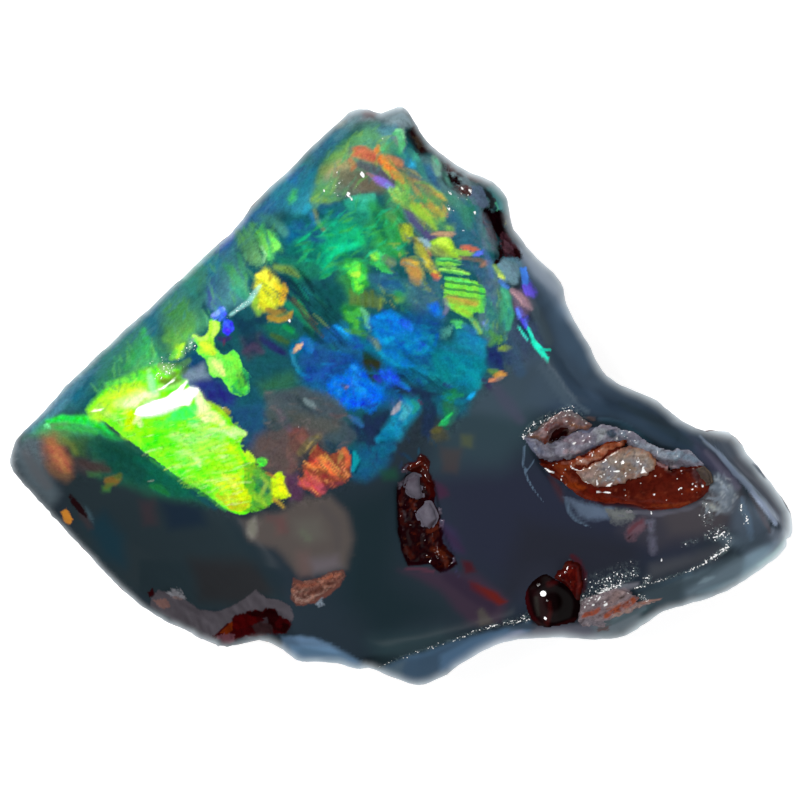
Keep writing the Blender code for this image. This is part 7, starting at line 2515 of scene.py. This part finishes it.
def padHeight(given, spots, inMm, reach, below):  # height of its top over the stone, in mm
    inner = np.clip(reach / given["round"], 0, 1)
    dome = (1 - (1 - inner) ** 2) ** given.get("square", 0.5)
    often, lumpy, sink = given["often"], given["lump"], given["sink"]
    lump = noiseSum(inMm, ((often, 1, 3.0), (often * 2.2, 0.5, 8.0)))
    high = given["high"] * dome + lumpy * lump * dome
    if "cap" in given:  # a round top
        across, down, wide, tall = given["cap"]
        away = np.hypot(spots[:, 0] - across, spots[:, 1] - down) / wide
        high += tall * np.clip(1 - away**2, -0.2, 1)
    if "level" in given:  # a top that does not follow the stone down its edge
        low = (sink + padMesh["least"] + 0.5 * lumpy * (lump + 0.4)) * dome
        high = np.maximum(high + given["level"] - below / mm, low)
    return np.where(reach > 0, high, min(sink, 0) - padMesh["skirt"])


def padPolish(given, spots, level):  # gloss where it lies level enough
    start, end = given.get("shine", padMesh["shine"])
    polish = smooth((level - start) / (end - start))
    for across, down, wide in given.get("matt", []):  # with no gloss
        polish *= smooth(np.hypot(spots[:, 0] - across, spots[:, 1] - down) / wide - 0.2)
    return polish


def highlightReach(given, spots):  # painted highlights: white flecks, and drawn out glints
    share, half = padMesh["highlightFleck"]
    grit = [(across, down, wide * share) for across, down, wide in given.get("highlightFlecks", [])]
    lines = [[(x - half, y, wide), (x + half, y, wide)] for x, y, wide in grit] + given.get("highlightGlints", [])
    highlightFlecks = np.full(len(spots), -10.0)
    for line in lines:
        highlightFlecks = np.maximum(highlightFlecks, reachInto(spots, line, margin=6))
    return highlightFlecks


def makePad(name, given):
    piece = padSlab(name, given["shape"])
    places = meshPlaces(piece.data)
    rise = np.clip(places[:, 2] / (padMesh["thick"] * mm), 0, 1)
    below = heightsUnder(places)
    spots = toSheet(np.stack([places[:, 0], places[:, 1], below], 1))
    inMm = places * (1, 1, 0) / mm
    for often, far in padMesh["fray"]:
        for way, shift in enumerate((61.0, 74.0)):
            spots[:, way] += given.get("fray", 0) * far * noiseAt(inMm, often, shift)
    reach = reachInto(spots, given["shape"])
    high = padHeight(given, spots, inMm, reach, below)
    places[:, 2] = below + (rise * high - given["sink"]) * mm
    movePlaces(piece.data, places)
    toneLayer(piece, spots, reach, given)
    addValues(piece.data, "polish", padPolish(given, spots, meshNormals(piece.data)[:, 2]))
    addValues(piece.data, "highlightFlecks", highlightReach(given, spots))
    return piece


grainMesh = {
    "cuts": 4,
    "worn": ((1.3, 0.22), (3.5, 0.08)),  # how often it swells, and by what share of its size
    "ridged": (2.1, 0.1),
}


def makeGrains(name, given):  # loose lumps, each with its own worn corners
    dice = np.random.default_rng(len(name))
    bm = bmesh.new()
    tones = []
    for across, down, wide, long, turn, high, code in given["lumps"]:
        middle = seat(across, down)
        made = bmesh.ops.create_icosphere(bm, subdivisions=grainMesh["cuts"], radius=1)["verts"]
        turned = Matrix.Rotation(-math.radians(turn), 3, "Z")
        shift = Vector(dice.uniform(-50, 50, 3))
        half = Vector((wide / 2, long / 2)) / sheet["perMm"] * mm
        for vert in made:
            way = vert.co.copy()
            grow = 1 + sum(by * noise.noise(way * often + shift) for often, by in grainMesh["worn"])
            often, by = grainMesh["ridged"]
            grow *= 1 + by * abs(noise.noise(way * often - shift))
            flat = turned @ Vector((way.x * half.x, way.y * half.y, 0)) * grow
            rise = (way.z * high * grow - given["sink"]) * mm
            vert.co = middle + flat + Vector((0, 0, rise))
        tones += [linear(code)] * len(made)
    piece = newPiece(name, bm)
    addColors(piece.data, "tone", np.array(tones))
    addValues(piece.data, "polish", np.ones(len(tones)))
    addValues(piece.data, "highlightFlecks", np.full(len(tones), -10.0))
    return piece


def finishPiece(piece, material):
    piece.data.shade_smooth()
    piece.data.materials.clear()
    piece.data.materials.append(material)
    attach(piece, "root")


# Building.

stonePiece = shapeStone()
wear = carveStone(stonePiece)
paintStone(stonePiece, wear)
finishPiece(stonePiece, opalMaterial())
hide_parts("rough_opal")
print("stone shaped and painted,", len(stonePiece.data.polygons), "faces")

materials = {key: mineralMaterial(**given) for key, given in minerals.items()}
groundMesh = bmesh.new()
groundMesh.from_mesh(stonePiece.data)
ground = BVHTree.FromBMesh(groundMesh)
groundMesh.free()
for name, given in pads.items():
    finishPiece(makePad(name, given), materials[given["material"]])
for name, given in grains.items():
    finishPiece(makeGrains(name, given), materials[given["material"]])
print("inclusions set")

# The set.

studio = {
    "floorSide": 0.6,  # m
    "floorColor": (0.4, 0.4, 0.4, 1),
    "floorRough": 0.7,
    "floorGlow": 0.85,
    "skyLow": 0.75,  # brightness near the horizon
    "skyHigh": 0.03,  # and overhead, so that the flat face reflects little
    "skyFade": (0.7, 0.9),  # how high the one becomes the other
    "lightsAway": 0.35,  # m
    "nearest": 0.005,  # m, of the camera's view
    "furthest": 10,
}

# Each light: tilt from overhead and bearing from +X in degrees, size in m, turn in degrees, power in W.
lights = {
    "softBox": {
        "tilt": 34, "around": 139, "size": (0.12, 0.12), "turn": 45, "power": 0.75, "shines": False,
    },
    "window": {
        "tilt": 45.4, "around": 142, "size": (0.12, 0.13), "turn": 45, "power": 5.9,
        "lights": False, "shape": "ELLIPSE",
    },
    "lowWindow": {
        "tilt": 62.4, "around": 245, "size": (0.05, 0.05), "turn": 0, "power": 0.8,
        "lights": False, "shape": "ELLIPSE",
    },
    "nearStrip": {"tilt": 19.5, "around": 176.2, "size": (0.016, 0.023), "turn": 0, "power": 0.04},
    "farStrip": {"tilt": 22.9, "around": 171.9, "size": (0.0385, 0.022), "turn": 0, "power": 0.093},
}


def makeFloor():
    bm = bmesh.new()
    bmesh.ops.create_grid(bm, x_segments=1, y_segments=1, size=studio["floorSide"] / 2)
    floor = newPiece("floor", bm)
    paint = Paint(
        "whiteSheet", Roughness=studio["floorRough"], Base_Color=studio["floorColor"],
        Emission_Color=(1, 1, 1, 1), Emission_Strength=studio["floorGlow"],
    )
    floor.data.materials.append(paint.material)


def makeSky():
    world = bpy.data.worlds.new("studioSky")
    bpy.context.scene.world = world
    world.use_nodes = True
    nodes = Nodes(world.node_tree)
    sky = nodes.tree.nodes["Background"]
    sky.inputs["Color"].default_value = (1, 1, 1, 1)
    spot = nodes.node("ShaderNodeTexCoord")
    high = nodes.node("ShaderNodeSeparateXYZ", None, {0: spot}, out=2)
    glow = nodes.step(high, *studio["skyFade"], studio["skyLow"], studio["skyHigh"])
    nodes.tree.links.new(glow.socket, sky.inputs["Strength"])


def makeLight(name, tilt, around, size, turn, power, lights=True, shines=True, shape="RECTANGLE"):
    light = bpy.data.lights.new(name, "AREA")
    light.shape = shape
    light.size, light.size_y = size
    light.energy = power
    lamp = bpy.data.objects.new(name, light)
    bpy.context.scene.collection.objects.link(lamp)
    lamp.visible_diffuse = lights
    lamp.visible_glossy = shines
    tilt, around = math.radians(tilt), math.radians(around)
    way = Vector((math.sin(tilt) * math.cos(around), math.sin(tilt) * math.sin(around), math.cos(tilt)))
    spin = Matrix.Rotation(math.radians(turn), 3, "Z").to_quaternion()
    lamp.location = way * studio["lightsAway"]
    lamp.rotation_euler = (way.to_track_quat("Z", "Y") @ spin).to_euler()


def makeCamera():
    camera = bpy.data.cameras.new("overhead")
    camera.lens = sheet["lens"]
    camera.sensor_width = sheet["sensor"]
    camera.clip_start = studio["nearest"]
    camera.clip_end = studio["furthest"]
    holder = bpy.data.objects.new("overhead", camera)
    holder.location = Vector((*sheet["aim"], cameraHigh)) * mm
    bpy.context.scene.collection.objects.link(holder)
    bpy.context.scene.camera = holder


makeFloor()
makeSky()
for name, given in lights.items():
    makeLight(name, **given)
makeCamera()
bpy.context.scene.view_settings.view_transform = "Standard"
bpy.context.scene.view_settings.look = "None"
print("set ready")
